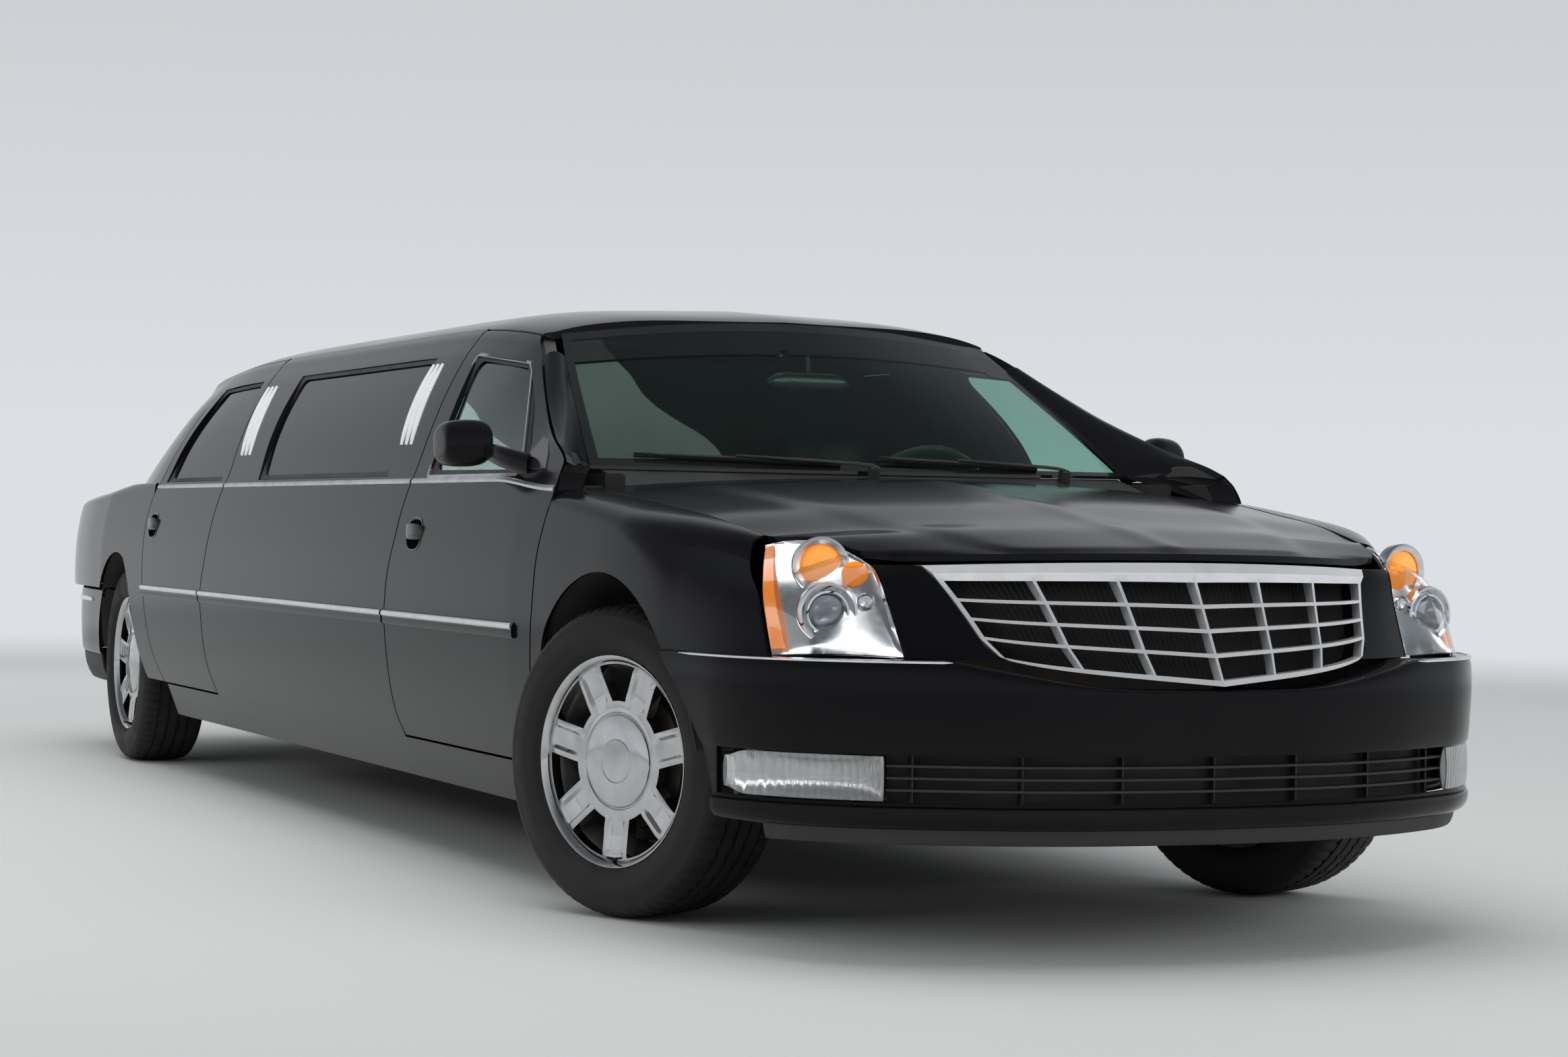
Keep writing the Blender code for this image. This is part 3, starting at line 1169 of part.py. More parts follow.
def chassis():
    frames = {}
    for name, stations in FRAME_PARTS:
        upper = []
        lower = []
        holes = set()
        for r, (x, centre, top, cross) in enumerate(stations):
            ys = (-centre - RAIL_HALF_WIDTH, -centre + RAIL_HALF_WIDTH, centre - RAIL_HALF_WIDTH,
                  centre + RAIL_HALF_WIDTH)
            upper.append([Vector((x, y, top - SEAT_GAP)) for y in ys])
            lower.append([Vector((x, y, top - FRAME_DEPTH)) for y in ys])
            if not cross:
                holes.add((r, 1))
        frames[name] = piece(name, shell(upper, lower, holes), "chassis")
    # Lower arms, which reach into the wheels and carry the knuckles.
    arm_top = TYRE_RADIUS - KINGPIN_FOOT - SEAT_GAP
    for label, side in SIDES:
        arm = []
        for y, half, low, top in ((0.400, 0.060, 0.310, 0.350), (0.480, 0.060, 0.270, 0.310),
                                  (0.640, 0.040, arm_top - 0.030, arm_top),
                                  (0.800, 0.030, arm_top - 0.026, arm_top)):
            corners = ((-half, low), (half, low), (half, top), (-half, top))
            arm.append([(FRONT_AXLE_X + ahead, side * y, z) for ahead, z in corners])
        unite(frames["front_frame"], f"lower_arm_{label}", loft(arm))
    engine_low = 0.4004
    piece("engine", block((front_x(-0.080), -0.330, engine_low), (front_x(0.560), 0.330, 0.790)), "iron")
    # Solid rear axle with its differential and spring seats, turned about Y.
    seat_radius = 0.505 - FRAME_DEPTH - TYRE_RADIUS - SEAT_GAP
    end = HALF_TRACK + HUB_FACE - SEAT_GAP
    half = [(end, 0.001), (end, 0.070), (end - 0.020, 0.070), (end - 0.024, 0.150), (end - 0.048, 0.150),
            (end - 0.052, 0.045), (0.545, 0.045), (0.540, seat_radius), (0.500, seat_radius), (0.495, 0.045),
            (0.180, 0.045), (0.080, 0.112)]
    profile = [(-y, r) for y, r in half] + [(y, r) for y, r in reversed(half)]
    piece("rear_axle", turned(profile, 16, Vector((REAR_AXLE_X, 0, TYRE_RADIUS)), math.pi / 2), "iron")


# Tyre half section: inboard or outboard of the wheel's middle, radius.
def wheels():
    half = TYRE_WIDTH / 2
    tyre_profile = [(-0.42, 0.0), (-0.50, 0.42), (-0.47, 0.78), (-0.39, 0.955), (-0.20, 1.0),
                    (0.20, 1.0), (0.39, 0.955), (0.47, 0.78), (0.50, 0.42), (0.42, 0.0)]
    bead = RIM_RADIUS + BEAD_CLEARANCE
    section = [(y * TYRE_WIDTH, mix(bead, TYRE_RADIUS, r)) for y, r in tyre_profile]
    # Rim half sections, outboard positive: (outward, radius) of the visible face and of the hidden face.
    face = [(0.078, 0.0), (0.082, 0.056), (0.084, 0.105), (0.076, 0.119), (0.090, 0.202),
            (0.102, RIM_RADIUS), (0.092, RIM_RADIUS), (0.085, 0.216), (-0.085, 0.216), (-0.098, RIM_RADIUS)]
    hidden = [(0.050, 0.0), (0.050, 0.056), (0.052, 0.105), (0.054, 0.119), (0.066, 0.196),
              (0.076, 0.205), (0.075, 0.206), (0.074, 0.206), (-0.090, 0.206), (-0.104, 0.224)]
    columns = SPOKE_COUNT * 3
    shares = (0.0, 0.42, 0.71)
    holes = {(3, c) for c in range(columns) if c % 3 != 0}
    for axle, axle_x in (("front", FRONT_AXLE_X), ("rear", REAR_AXLE_X)):
        for label, side in SIDES:
            if axle == "front":
                carrier = pivot(f"kingpin_{label}", (axle_x, side * KINGPIN_HALF_TRACK, TYRE_RADIUS),
                                STEER_ANGLE)
                offset = Vector((0, side * (HALF_TRACK - KINGPIN_HALF_TRACK), 0))
                knuckle(label, side, carrier, offset)
            else:
                carrier = pivot(f"hub_{label}", (axle_x, side * HALF_TRACK, TYRE_RADIUS))
                offset = Vector()
            outline = [(side * y, r) for y, r in section]
            piece(f"tyre_{axle}_{label}", turned(outline, 32, offset), "rubber", carrier, local=True)
            outer = []
            inner = []
            for (y, r), (hy, hr) in zip(face, hidden):
                ring = []
                hidden_ring = []
                for c in range(columns):
                    angle = 2 * math.pi * (c // 3 + shares[c % 3]) / SPOKE_COUNT + math.pi / 2
                    ring.append(offset + Vector((r * math.cos(angle), side * y, r * math.sin(angle))))
                    hidden_ring.append(offset + Vector((hr * math.cos(angle), side * hy,
                                                        hr * math.sin(angle))))
                outer.append(ring)
                inner.append(hidden_ring)
            piece(f"rim_{axle}_{label}", shell(outer, inner, holes, ring=True), "chrome", carrier,
                  local=True)


def knuckle(label, side, carrier, offset):
    """Steering knuckle: hub and brake disc turned about the wheel's axis, on an upright kingpin post."""
    reach = offset.y * side
    seat = HUB_FACE - SEAT_GAP + reach
    profile = [(seat, 0.001), (seat, 0.070), (seat - 0.020, 0.070), (seat - 0.024, 0.150),
               (seat - 0.048, 0.150),
               (seat - 0.052, 0.050), (-0.070, 0.050), (-0.070, 0.001)]
    hub = turned([(side * y, r) for y, r in profile], 16)
    thing = piece(f"knuckle_{label}", hub, "iron", carrier, local=True)
    ys = sorted((side * -0.050, side * 0.010))
    post = block((-0.022, ys[0], -KINGPIN_FOOT), (0.022, ys[1], 0.130))
    unite(thing, f"knuckle_post_{label}", post, carrier, local=True)


MIRROR_ROWS = ((0.0, 0.55), (0.25, 0.95), (0.60, 1.0), (0.90, 0.92), (1.0, 0.70))


def mirror(label, side, carrier):
    """Door mirror head on its short arm."""
    low, high = 0.995, 1.118
    inner_y, outer_y = 0.905, 1.022
    sections = []
    for t, size in MIRROR_ROWS:
        y = side * mix(inner_y, outer_y, t)
        middle_z = mix(low, high, 0.52)
        half_z = (high - low) / 2 * size
        front = front_x(-0.700 - 0.060 * t)
        back = front_x(-0.840 - 0.045 * t)
        sections.append([(front, y, middle_z - half_z * 0.4), (front, y, middle_z + half_z * 0.4),
                         (mix(front, back, 0.4), y, middle_z + half_z), (back, y, middle_z + half_z * 0.95),
                         (back, y, middle_z - half_z * 0.95), (mix(front, back, 0.4), y, middle_z - half_z)])
    foot = []
    for x, _, z in sections[0]:
        foot_x = front_x(-0.520) + (x - front_x(-0.770)) * 0.50
        foot_z = 1.025 + (z - 1.055) * 0.30
        foot.append(skin(foot_x, foot_z, side, -0.0010))
    piece(f"mirror_{label}", loft([foot, *sections]), "paint", carrier)


for label, side in SIDES:
    carriers = doors(label, side)
    mirror(label, side, carriers["front_door"])
    stretch_panel(label, side)
    fender(label, side)
    quarter(label, side)
    a_pillar(label, side)
    nose_panel(label, side)
    head_lamp(label, side)
    tail_lamp(label, side)
bonnet()
screens()
roof()
front_bumper()
lower_grille()
grille()
tail()
floor_pan()
cabin()
steering()
chassis()
wheels()
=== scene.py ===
import math

import bmesh
import bpy
from mathutils import Matrix, Vector


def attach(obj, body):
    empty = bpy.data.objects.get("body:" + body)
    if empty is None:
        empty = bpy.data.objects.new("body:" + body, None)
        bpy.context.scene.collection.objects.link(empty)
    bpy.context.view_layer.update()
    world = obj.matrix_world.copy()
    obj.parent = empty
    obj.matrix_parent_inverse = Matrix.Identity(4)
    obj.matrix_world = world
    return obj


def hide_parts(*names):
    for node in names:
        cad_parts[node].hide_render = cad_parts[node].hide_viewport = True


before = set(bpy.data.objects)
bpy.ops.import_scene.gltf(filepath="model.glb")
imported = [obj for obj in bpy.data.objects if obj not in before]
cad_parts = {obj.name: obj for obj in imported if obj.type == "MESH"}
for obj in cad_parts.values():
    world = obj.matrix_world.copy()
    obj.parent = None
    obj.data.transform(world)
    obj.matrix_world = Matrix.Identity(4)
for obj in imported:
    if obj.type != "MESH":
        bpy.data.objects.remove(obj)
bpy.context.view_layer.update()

# Body side: the front and rear doors and the fixed panel that was let in between them when the car
# was lengthened. Pressed steel skins on deep door cases, hung on leaves at their leading edges,
# primed and sprayed black with a polished clear coat.
FRONT_AXLE = 2.462
REAR_AXLE = -2.454
HALF_BODY = 0.9505
ROOF_HEIGHT = 1.463
DOOR_FOOT = 0.310
BELT = 0.985
GLASS_TOP = 1.315
DOOR_TOP = 1.385
SHUT_GAP = 0.0075
SIDES = (("R", -1), ("L", 1))
# Half section of the side: height, and how far it lies inside half the body width.
SIDE_SECTION = (
    (0.200, 0.083), (0.300, 0.046), (0.420, 0.019), (0.560, 0.005), (0.660, 0.001), (0.780, 0.007),
    (0.880, 0.023), (0.950, 0.043), (0.985, 0.058), (1.100, 0.106), (1.200, 0.161), (1.300, 0.231),
    (1.345, 0.270), (1.385, 0.312), (1.412, 0.375), (1.436, 0.480), (1.452, 0.630), (1.463, 0.951),
)
NOSE_TAPER = ((-0.50, 0.0), (-0.10, 0.006), (0.20, 0.015), (0.50, 0.045), (0.68, 0.078), (0.79, 0.130))
TAIL_TAPER = ((-1.17, 0.110), (-1.05, 0.070), (-0.90, 0.040), (-0.60, 0.014), (-0.25, 0.0))
ROOF_FALL_FRONT = ((-2.00, 0.0), (-1.60, 0.006), (-1.30, 0.026), (-1.10, 0.052), (-0.60, 0.160))
ROOF_FALL_REAR = ((-0.30, 0.150), (0.20, 0.050), (0.45, 0.026), (0.80, 0.007), (1.20, 0.0))
# Shut lines and glass edges by height: fore ones from the front axle, rear ones from the rear axle.
FRONT_DOOR_FORE = ((0.310, -0.400), (0.461, -0.372), (0.574, -0.352), (0.693, -0.334), (0.789, -0.328),
                   (0.871, -0.312), (0.944, -0.300), (1.000, -0.318), (1.040, -0.350), (1.125, -0.530),
                   (1.230, -0.765), (1.345, -1.060), (1.385, -1.190))
FRONT_DOOR_AFT = ((0.310, -1.445), (0.362, -1.485), (0.499, -1.512), (0.608, -1.520), (0.729, -1.500),
                  (0.836, -1.462), (0.985, -1.450), (1.138, -1.490), (1.385, -1.640))
REAR_DOOR_FORE = ((0.310, 1.390), (0.399, 1.328), (0.517, 1.304), (0.629, 1.306), (0.733, 1.352),
                  (0.884, 1.397), (0.985, 1.410), (1.035, 1.402), (1.220, 1.300), (1.385, 1.190))
REAR_DOOR_AFT = ((0.310, 0.640), (0.400, 0.545), (0.500, 0.490), (0.620, 0.460), (0.740, 0.445),
                 (0.860, 0.440), (0.950, 0.455), (1.000, 0.475), (1.200, 0.530), (1.385, 0.580))
FRONT_GLASS_FORE = ((0.985, -0.600), (1.060, -0.615), (1.125, -0.680), (1.230, -0.850), (1.315, -1.065))
FRONT_GLASS_AFT = ((0.985, -1.330), (1.144, -1.375), (1.315, -1.500))
STRETCH_GLASS_FORE = ((0.985, -1.700), (1.315, -1.860))
STRETCH_GLASS_AFT = ((0.985, 1.820), (1.315, 1.640))
REAR_GLASS_FORE = ((0.985, 1.345), (1.035, 1.330), (1.220, 1.225), (1.315, 1.155))
REAR_GLASS_AFT = ((0.985, 0.560), (1.150, 0.590), (1.315, 0.640))
SIDE_LEVELS = (DOOR_FOOT, 0.400, 0.500, 0.600, 0.700, 0.800, 0.890, 0.950, 0.973, BELT, 1.060, 1.125,
               1.230, GLASS_TOP, 1.345, DOOR_TOP)
SIDE_STEPS = 5
PANE_COLUMNS = 24
FRAME_COLUMNS = 5


def along(table, value):
    """Smooth value of a two-column table, held level past its ends."""
    if value <= table[0][0]:
        return table[0][1]
    if value >= table[-1][0]:
        return table[-1][1]
    slopes = []
    for i in range(len(table)):
        before, after = table[max(i - 1, 0)], table[min(i + 1, len(table) - 1)]
        slopes.append((after[1] - before[1]) / (after[0] - before[0]))
    for i in range(len(table) - 1):
        (x0, y0), (x1, y1) = table[i], table[i + 1]
        if value <= x1:
            step = x1 - x0
            t = (value - x0) / step
            lift = (1 - t) ** 2 * t * slopes[i] - (1 - t) * t ** 2 * slopes[i + 1]
            return y0 * (1 - t) ** 2 * (1 + 2 * t) + y1 * t ** 2 * (3 - 2 * t) + step * lift
    return table[-1][1]


def mix(a, b, t):
    return a + (b - a) * t


def ease(t):
    t = min(max(t, 0.0), 1.0)
    return t * t * (3 - 2 * t)


def spread(start, end, count):
    return [mix(start, end, i / (count - 1)) for i in range(count)]


def split_steps(values, steps):
    """Values with equal steps put between each two of them."""
    finer = [mix(a, b, i / steps) for a, b in zip(values, values[1:]) for i in range(steps)]
    return [*finer, values[-1]]


def body_side(x, level, side, inset=0.0):
    """Point of the body side at a level line: the lines above the belt sink with the roof."""
    share = max(0.0, (level - BELT) / (DOOR_TOP - BELT))
    fall = max(along(ROOF_FALL_FRONT, x - FRONT_AXLE), along(ROOF_FALL_REAR, x - REAR_AXLE))
    taper = along(NOSE_TAPER, x - FRONT_AXLE) + along(TAIL_TAPER, x - REAR_AXLE)
    half = HALF_BODY - along(SIDE_SECTION, level) - taper - inset
    return Vector((x, side * half, level - fall * min(share, 1.3)))


def side_normal(x, level, side):
    fore = body_side(x + 0.01, level, side) - body_side(x - 0.01, level, side)
    rise = body_side(x, level + 0.01, side) - body_side(x, level - 0.01, side)
    normal = fore.cross(rise).normalized()
    return normal if normal.y * side > 0 else -normal


def around(count):
    """Angles of equal steps round a full turn."""
    return [2 * math.pi * k / count for k in range(count)]


def bulged(value, power):
    """Value between -1 and 1 drawn towards its end, which makes a round ring squarer."""
    return math.copysign(abs(value) ** power, value)


def add_node(tree, kind, inputs, **settings):
    """Node of a kind with its settings, and values or other nodes' outputs on its inputs."""
    node = tree.nodes.new("ShaderNode" + kind)
    for setting, value in settings.items():
        setattr(node, setting, value)
    for socket, given in inputs.items():
        if isinstance(given, bpy.types.NodeSocket):
            tree.links.new(given, node.inputs[socket])
        else:
            node.inputs[socket].default_value = given
    return node


def surface_wear():
    """Node group: broad patches, fine grain and the dust thrown up from the road."""
    group = bpy.data.node_groups.new("surface_wear", "ShaderNodeTree")
    for socket, value in (("Patch Size", 0.2), ("Grain Size", 0.002), ("Dust Top", 0.5)):
        entry = group.interface.new_socket(name=socket, in_out="INPUT", socket_type="NodeSocketFloat")
        entry.default_value = value
    for socket in ("Patches", "Grain", "Dust"):
        group.interface.new_socket(name=socket, in_out="OUTPUT", socket_type="NodeSocketFloat")
    given = group.nodes.new("NodeGroupInput").outputs
    result = group.nodes.new("NodeGroupOutput").inputs
    place = add_node(group, "TexCoord", {}).outputs["Object"]
    fields = []
    for socket, detail in (("Patch Size", 4.0), ("Grain Size", 2.0)):
        per_metre = add_node(group, "Math", {0: 1.0, 1: given[socket]}, operation="DIVIDE").outputs[0]
        noise = add_node(group, "TexNoise", {"Detail": detail, "Vector": place, "Scale": per_metre})
        fields.append(noise.outputs["Fac"])
    height = add_node(group, "SeparateXYZ", {0: place}).outputs["Z"]
    fall = add_node(group, "MapRange", {"From Min": 0.10, "From Max": given["Dust Top"], "To Min": 1.0,
                                        "To Max": 0.0, "Value": height}).outputs[0]
    broken = add_node(group, "Math", {0: fall, 1: fields[0]}, operation="MULTIPLY").outputs[0]
    for socket, field in (("Patches", fields[0]), ("Grain", fields[1]), ("Dust", broken)):
        group.links.new(field, result[socket])
    return group


wear_group = surface_wear()
DUST = (0.16, 0.145, 0.125, 1.0)
DRIFT_LOW, DRIFT_HIGH = 0.35, 0.65
GRAIN_STRENGTH = 0.5


def finish(name, colour, second, roughness, metallic=0.0, patch=0.2, grain=0.002, relief=0.0, dust=0.0,
           dust_top=0.55, **sockets):
    """Material whose colour and gloss drift in patches, with a fine grain in relief and road dust low down.

    A colour given as one number is a grey."""
    material = bpy.data.materials.new(name)
    material.use_nodes = True
    tree = material.node_tree
    shader = tree.nodes["Principled BSDF"]
    colours = [(*tone, 1.0) if isinstance(tone, tuple) else (tone, tone, tone, 1.0)
               for tone in (colour, second)]
    wear = add_node(tree, "Group", {"Patch Size": patch, "Grain Size": grain, "Dust Top": dust_top},
                    node_tree=wear_group).outputs
    drift = {"From Min": DRIFT_LOW, "From Max": DRIFT_HIGH, "Value": wear["Patches"]}
    share = add_node(tree, "MapRange", drift).outputs[0]
    base = add_node(tree, "Mix", {0: share, 6: colours[0], 7: colours[1]}, data_type="RGBA").outputs[2]
    gloss = add_node(tree, "MapRange", {**drift, "To Min": roughness[0], "To Max": roughness[1]}).outputs[0]
    tree.links.new(gloss, shader.inputs["Roughness"])
    if dust:
        share = add_node(tree, "Math", {0: wear["Dust"], 1: dust}, operation="MULTIPLY").outputs[0]
        base = add_node(tree, "Mix", {0: share, 6: base, 7: DUST}, data_type="RGBA").outputs[2]
    tree.links.new(base, shader.inputs["Base Color"])
    if relief:
        bump = add_node(tree, "Bump", {"Strength": GRAIN_STRENGTH, "Distance": relief,
                                       "Height": wear["Grain"]})
        tree.links.new(bump.outputs[0], shader.inputs["Normal"])
    shader.inputs["Metallic"].default_value = metallic
    for socket, value in sockets.items():
        shader.inputs[socket.replace("_", " ")].default_value = value
    return material


black_paint = finish("black_paint", (0.0045, 0.0045, 0.0055), (0.007, 0.007, 0.008), (0.10, 0.16), patch=0.9,
                     grain=0.006, relief=0.00002, dust=0.08, Specular_IOR_Level=0.12)
door_lining = finish("door_lining", (0.050, 0.050, 0.052), (0.062, 0.061, 0.060), (0.55, 0.70), grain=0.0015,
                     relief=0.0003)


def sheet_grid(outer, inner, holes=(), ring=False):
    """Closed skin between two grids of points. Cells in holes stay open; a ring joins its ends."""
    mesh = bmesh.new()
    rows, columns = len(outer), len(outer[0])
    spans = columns if ring else columns - 1
    front = [[mesh.verts.new(point) for point in row] for row in outer]
    back = [[mesh.verts.new(point) for point in row] for row in inner]
    open_cells = set(holes)

    def solid(r, c):
        c = c % columns if ring else c
        return 0 <= r < rows - 1 and 0 <= c < spans and (r, c) not in open_cells

    for r in range(rows - 1):
        for c in range(spans):
            if not solid(r, c):
                continue
            d = (c + 1) % columns
            mesh.faces.new((front[r][c], front[r][d], front[r + 1][d], front[r + 1][c]))
            mesh.faces.new((back[r][c], back[r + 1][c], back[r + 1][d], back[r][d])).material_index = 1
            if not solid(r - 1, c):
                mesh.faces.new((front[r][d], front[r][c], back[r][c], back[r][d]))
            if not solid(r + 1, c):
                mesh.faces.new((front[r + 1][c], front[r + 1][d], back[r + 1][d], back[r + 1][c]))
            if not solid(r, c - 1):
                mesh.faces.new((front[r][c], front[r + 1][c], back[r + 1][c], back[r][c]))
            if not solid(r, c + 1):
                mesh.faces.new((front[r + 1][d], front[r][d], back[r][d], back[r + 1][d]))
    loose = [v for v in mesh.verts if not v.link_faces]
    bmesh.ops.delete(mesh, geom=loose, context="VERTS")
    return mesh


def backed(grid, x, y, z):
    """Copy of a grid of points, moved back by x, y and z."""
    return [[point - Vector((x, y, z)) for point in row] for row in grid]


def fitted(name, mesh, finishes, body="body", nodes=(), edge=0.0, crease=38.0):
    """Finishes a piece: faces turned out, edges eased, then it rides its body and stands for its solids."""
    bmesh.ops.remove_doubles(mesh, verts=mesh.verts, dist=0.00001)
    bmesh.ops.recalc_face_normals(mesh, faces=mesh.faces)
    if mesh.calc_volume(signed=True) < 0:
        bmesh.ops.reverse_faces(mesh, faces=mesh.faces)
    data = bpy.data.meshes.new(name)
    mesh.to_mesh(data)
    mesh.free()
    data.shade_smooth()
    for material in finishes if isinstance(finishes, tuple) else (finishes,):
        data.materials.append(material)
    thing = bpy.data.objects.new(name, data)
    bpy.context.scene.collection.objects.link(thing)
    if edge:
        eased = thing.modifiers.new("eased_edges", "BEVEL")
        eased.width = edge
        eased.segments = 2
        eased.limit_method = "ANGLE"
        eased.angle_limit = math.radians(crease)
        eased.harden_normals = True
    else:
        data.set_sharp_from_angle(angle=math.radians(crease))
    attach(thing, body)
    if nodes:
        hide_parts(*nodes)
    return thing


def side_grids(fore, aft, glass_fore, glass_aft, levels, side, lower, upper, edges, slip, tuck):
    """Outer and inner grids of a door or side panel. edges holds depth and slant of its leading edge."""
    outer, inner = [], []
    for level in levels:
        pane_level = min(max(level, BELT), GLASS_TOP)
        left, right = fore(level), aft(level)
        pane_left = min(glass_fore(pane_level), left - 0.028)
        pane_right = max(glass_aft(pane_level), right + 0.028)
        sunk = ease((BELT - level) / 0.30)
        pane_left = mix(pane_left, mix(left, right, 0.16), sunk)
        pane_right = mix(pane_right, mix(left, right, 0.86), sunk)
        columns = spread(left, pane_left, FRAME_COLUMNS + 1)[:-1]
        columns += spread(pane_left, pane_right, PANE_COLUMNS + 1)
        columns += spread(pane_right, right, FRAME_COLUMNS + 1)[1:]
        row = [body_side(x, level, side) for x in columns]
        under = level < BELT - 0.001
        depth = lower if under else upper
        edge_depth, slant = edges[0] if under else edges[1]
        back = []
        for c, point in enumerate(row):
            near = max(0.0, 1 - c / FRAME_COLUMNS)
            shift = -slant * near
            if c == len(row) - 1:
                shift = slip * depth
            back.append(point + Vector((shift, -side * mix(depth, edge_depth, near), 0)))
        if level == levels[-1]:
            back = [point - Vector((slant if c == 0 else 0.0, side * tuck, 0.030)) for c,
                    point in enumerate(row)]
        outer.append(row)
        inner.append(back)
    return outer, inner


def window_cells(levels):
    rows = [r for r in range(len(levels) - 1) if levels[r] > BELT - 0.0005 and levels[r + 1] < GLASS_TOP
            + 0.0005]
    return {(r, c) for r in rows for c in range(FRAME_COLUMNS, FRAME_COLUMNS + PANE_COLUMNS)}


def from_front(table):
    return lambda level: FRONT_AXLE + along(table, level)


def from_rear(table):
    return lambda level: REAR_AXLE + along(table, level)


# Each opening of the side: name, edges, glass edges.
OPENINGS = {
    "front_door": (from_front(FRONT_DOOR_FORE), from_front(FRONT_DOOR_AFT), from_front(FRONT_GLASS_FORE),
                   from_front(FRONT_GLASS_AFT)),
    "rear_door": (from_rear(REAR_DOOR_FORE), from_rear(REAR_DOOR_AFT), from_rear(REAR_GLASS_FORE),
                  from_rear(REAR_GLASS_AFT)),
    "side_panel": (lambda z: from_front(FRONT_DOOR_AFT)(z) - SHUT_GAP,
                   lambda z: from_rear(REAR_DOOR_FORE)(z) + SHUT_GAP, from_front(STRETCH_GLASS_FORE),
                   from_rear(STRETCH_GLASS_AFT)),
}


def carrier_of(opening, label):
    return "body" if opening == "side_panel" else f"{opening}_body_{label}"


def handle_cup(x, z, side):
    """Oval tool that sinks the grip's cup into a door skin."""
    mesh = bmesh.new()
    rings = []
    surface = body_side(x, z, side)
    normal = side_normal(x, z, side)
    up = Vector((0, 0, 1))
    fore = Vector((1, 0, 0))
    for depth, size in ((0.012, 1.04), (0.0, 1.0), (-0.010, 0.93), (-0.022, 0.72), (-0.026, 0.35)):
        ring = []
        for a in around(40):
            u = bulged(math.cos(a), 0.8) * 0.062 * size
            v = bulged(math.sin(a), 0.8) * 0.040 * size
            ring.append(mesh.verts.new(surface + fore * u + up * v + normal * depth))
        rings.append(ring)
    for a, b in zip(rings, rings[1:]):
        for k in range(40):
            mesh.faces.new((a[k], a[(k + 1) % 40], b[(k + 1) % 40], b[k]))
    mesh.faces.new(rings[0])
    mesh.faces.new(rings[-1])
    bmesh.ops.recalc_face_normals(mesh, faces=mesh.faces)
    data = bpy.data.meshes.new("cup_tool")
    mesh.to_mesh(data)
    mesh.free()
    tool = bpy.data.objects.new("cup_tool", data)
    bpy.context.scene.collection.objects.link(tool)
    return tool


HANDLES = {"front_door": (FRONT_AXLE - 1.300, 0.834), "rear_door": (REAR_AXLE + 0.560, 0.838)}

for label, side in SIDES:
    for opening, edges in OPENINGS.items():
        door = opening != "side_panel"
        levels = split_steps(SIDE_LEVELS, SIDE_STEPS)
        if not door:
            levels[0] = 0.3029
            levels[-1] = DOOR_TOP + 0.0046
        thick = 0.120 if door else 0.060
        slopes = ((0.070, 0.010), (0.024, 0.042 if opening == "front_door" else 0.010))
        if not door:
            slopes = ((0.060, 0.0), (0.050, 0.0))
        outer, inner = side_grids(*edges, levels, side, thick, 0.050, slopes, 0.25 if door else 0.0,
                                  0.010 if door else 0.0)
        mesh = sheet_grid(outer, inner, window_cells(levels))
        thing = fitted(f"{opening}_skin_{label}", mesh, (black_paint, door_lining),
                       carrier_of(opening, label), nodes=(f"{opening}_{label}",), edge=0.0014)
        if door:
            x, z = HANDLES[opening]
            tool = handle_cup(x, z, side)
            sink = thing.modifiers.new("handle_cup", "BOOLEAN")
            sink.operation = "DIFFERENCE"
            sink.solver = "EXACT"
            sink.object = tool
            thing.modifiers.move(1, 0)
            bpy.context.view_layer.update()
            with bpy.context.temp_override(object=thing, active_object=thing):
                bpy.ops.object.modifier_apply(modifier="handle_cup")
            bpy.data.objects.remove(tool, do_unlink=True)

# Side glass: curved toughened panes set a little inside the steel, clear green in the front doors and
# near black behind them, each with a black rubber channel round it.
green_glass = finish("green_glass", (0.52, 0.74, 0.66), (0.50, 0.72, 0.64), (0.0, 0.015), patch=0.5,
                     Transmission_Weight=1.0, IOR=1.22)
privacy_glass = finish("privacy_glass", (0.004, 0.0045, 0.005), (0.006, 0.0065, 0.007), (0.01, 0.03),
                       patch=0.5, Transmission_Weight=0.5, IOR=1.22)
seal_rubber = finish("seal_rubber", 0.012, 0.020, (0.45, 0.62), grain=0.001, relief=0.0002)
GLASS_INSET = 0.014


def loft(sections, ring=False):
    """Solid through closed sections of equal counts, capped unless the sections come round to the first."""
    mesh = bmesh.new()
    rings = [[mesh.verts.new(point) for point in section] for section in sections]
    pairs = list(zip(rings, rings[1:]))
    if ring:
        pairs.append((rings[-1], rings[0]))
    count = len(rings[0])
    for a, b in pairs:
        for i in range(count):
            j = (i + 1) % count
            mesh.faces.new((a[i], a[j], b[j], b[i]))
    if not ring:
        mesh.faces.new(rings[0])
        mesh.faces.new(list(reversed(rings[-1])))
    return mesh


def pane_outline(glass_fore, glass_aft, inset, corner, steps=7):
    """Rounded outline of a window as (place, level), inset from its edges."""
    low, high = BELT + inset, GLASS_TOP - inset
    corners = [(low, 0), (high, 0), (high, 1), (low, 1)]
    outline = []
    for k, (level, end) in enumerate(corners):
        for i in range(steps):
            turn = math.pi / 2 * i / (steps - 1)
            rise, run = corner * (1 - math.sin(turn)), corner * (1 - math.cos(turn))
            if k in (0, 2):
                rise, run = corner * (1 - math.cos(turn)), corner * (1 - math.sin(turn))
            z = level + rise if level == low else level - rise
            x = glass_fore(z) - inset - run if end == 0 else glass_aft(z) + inset + run
            outline.append((x, z))
    return outline


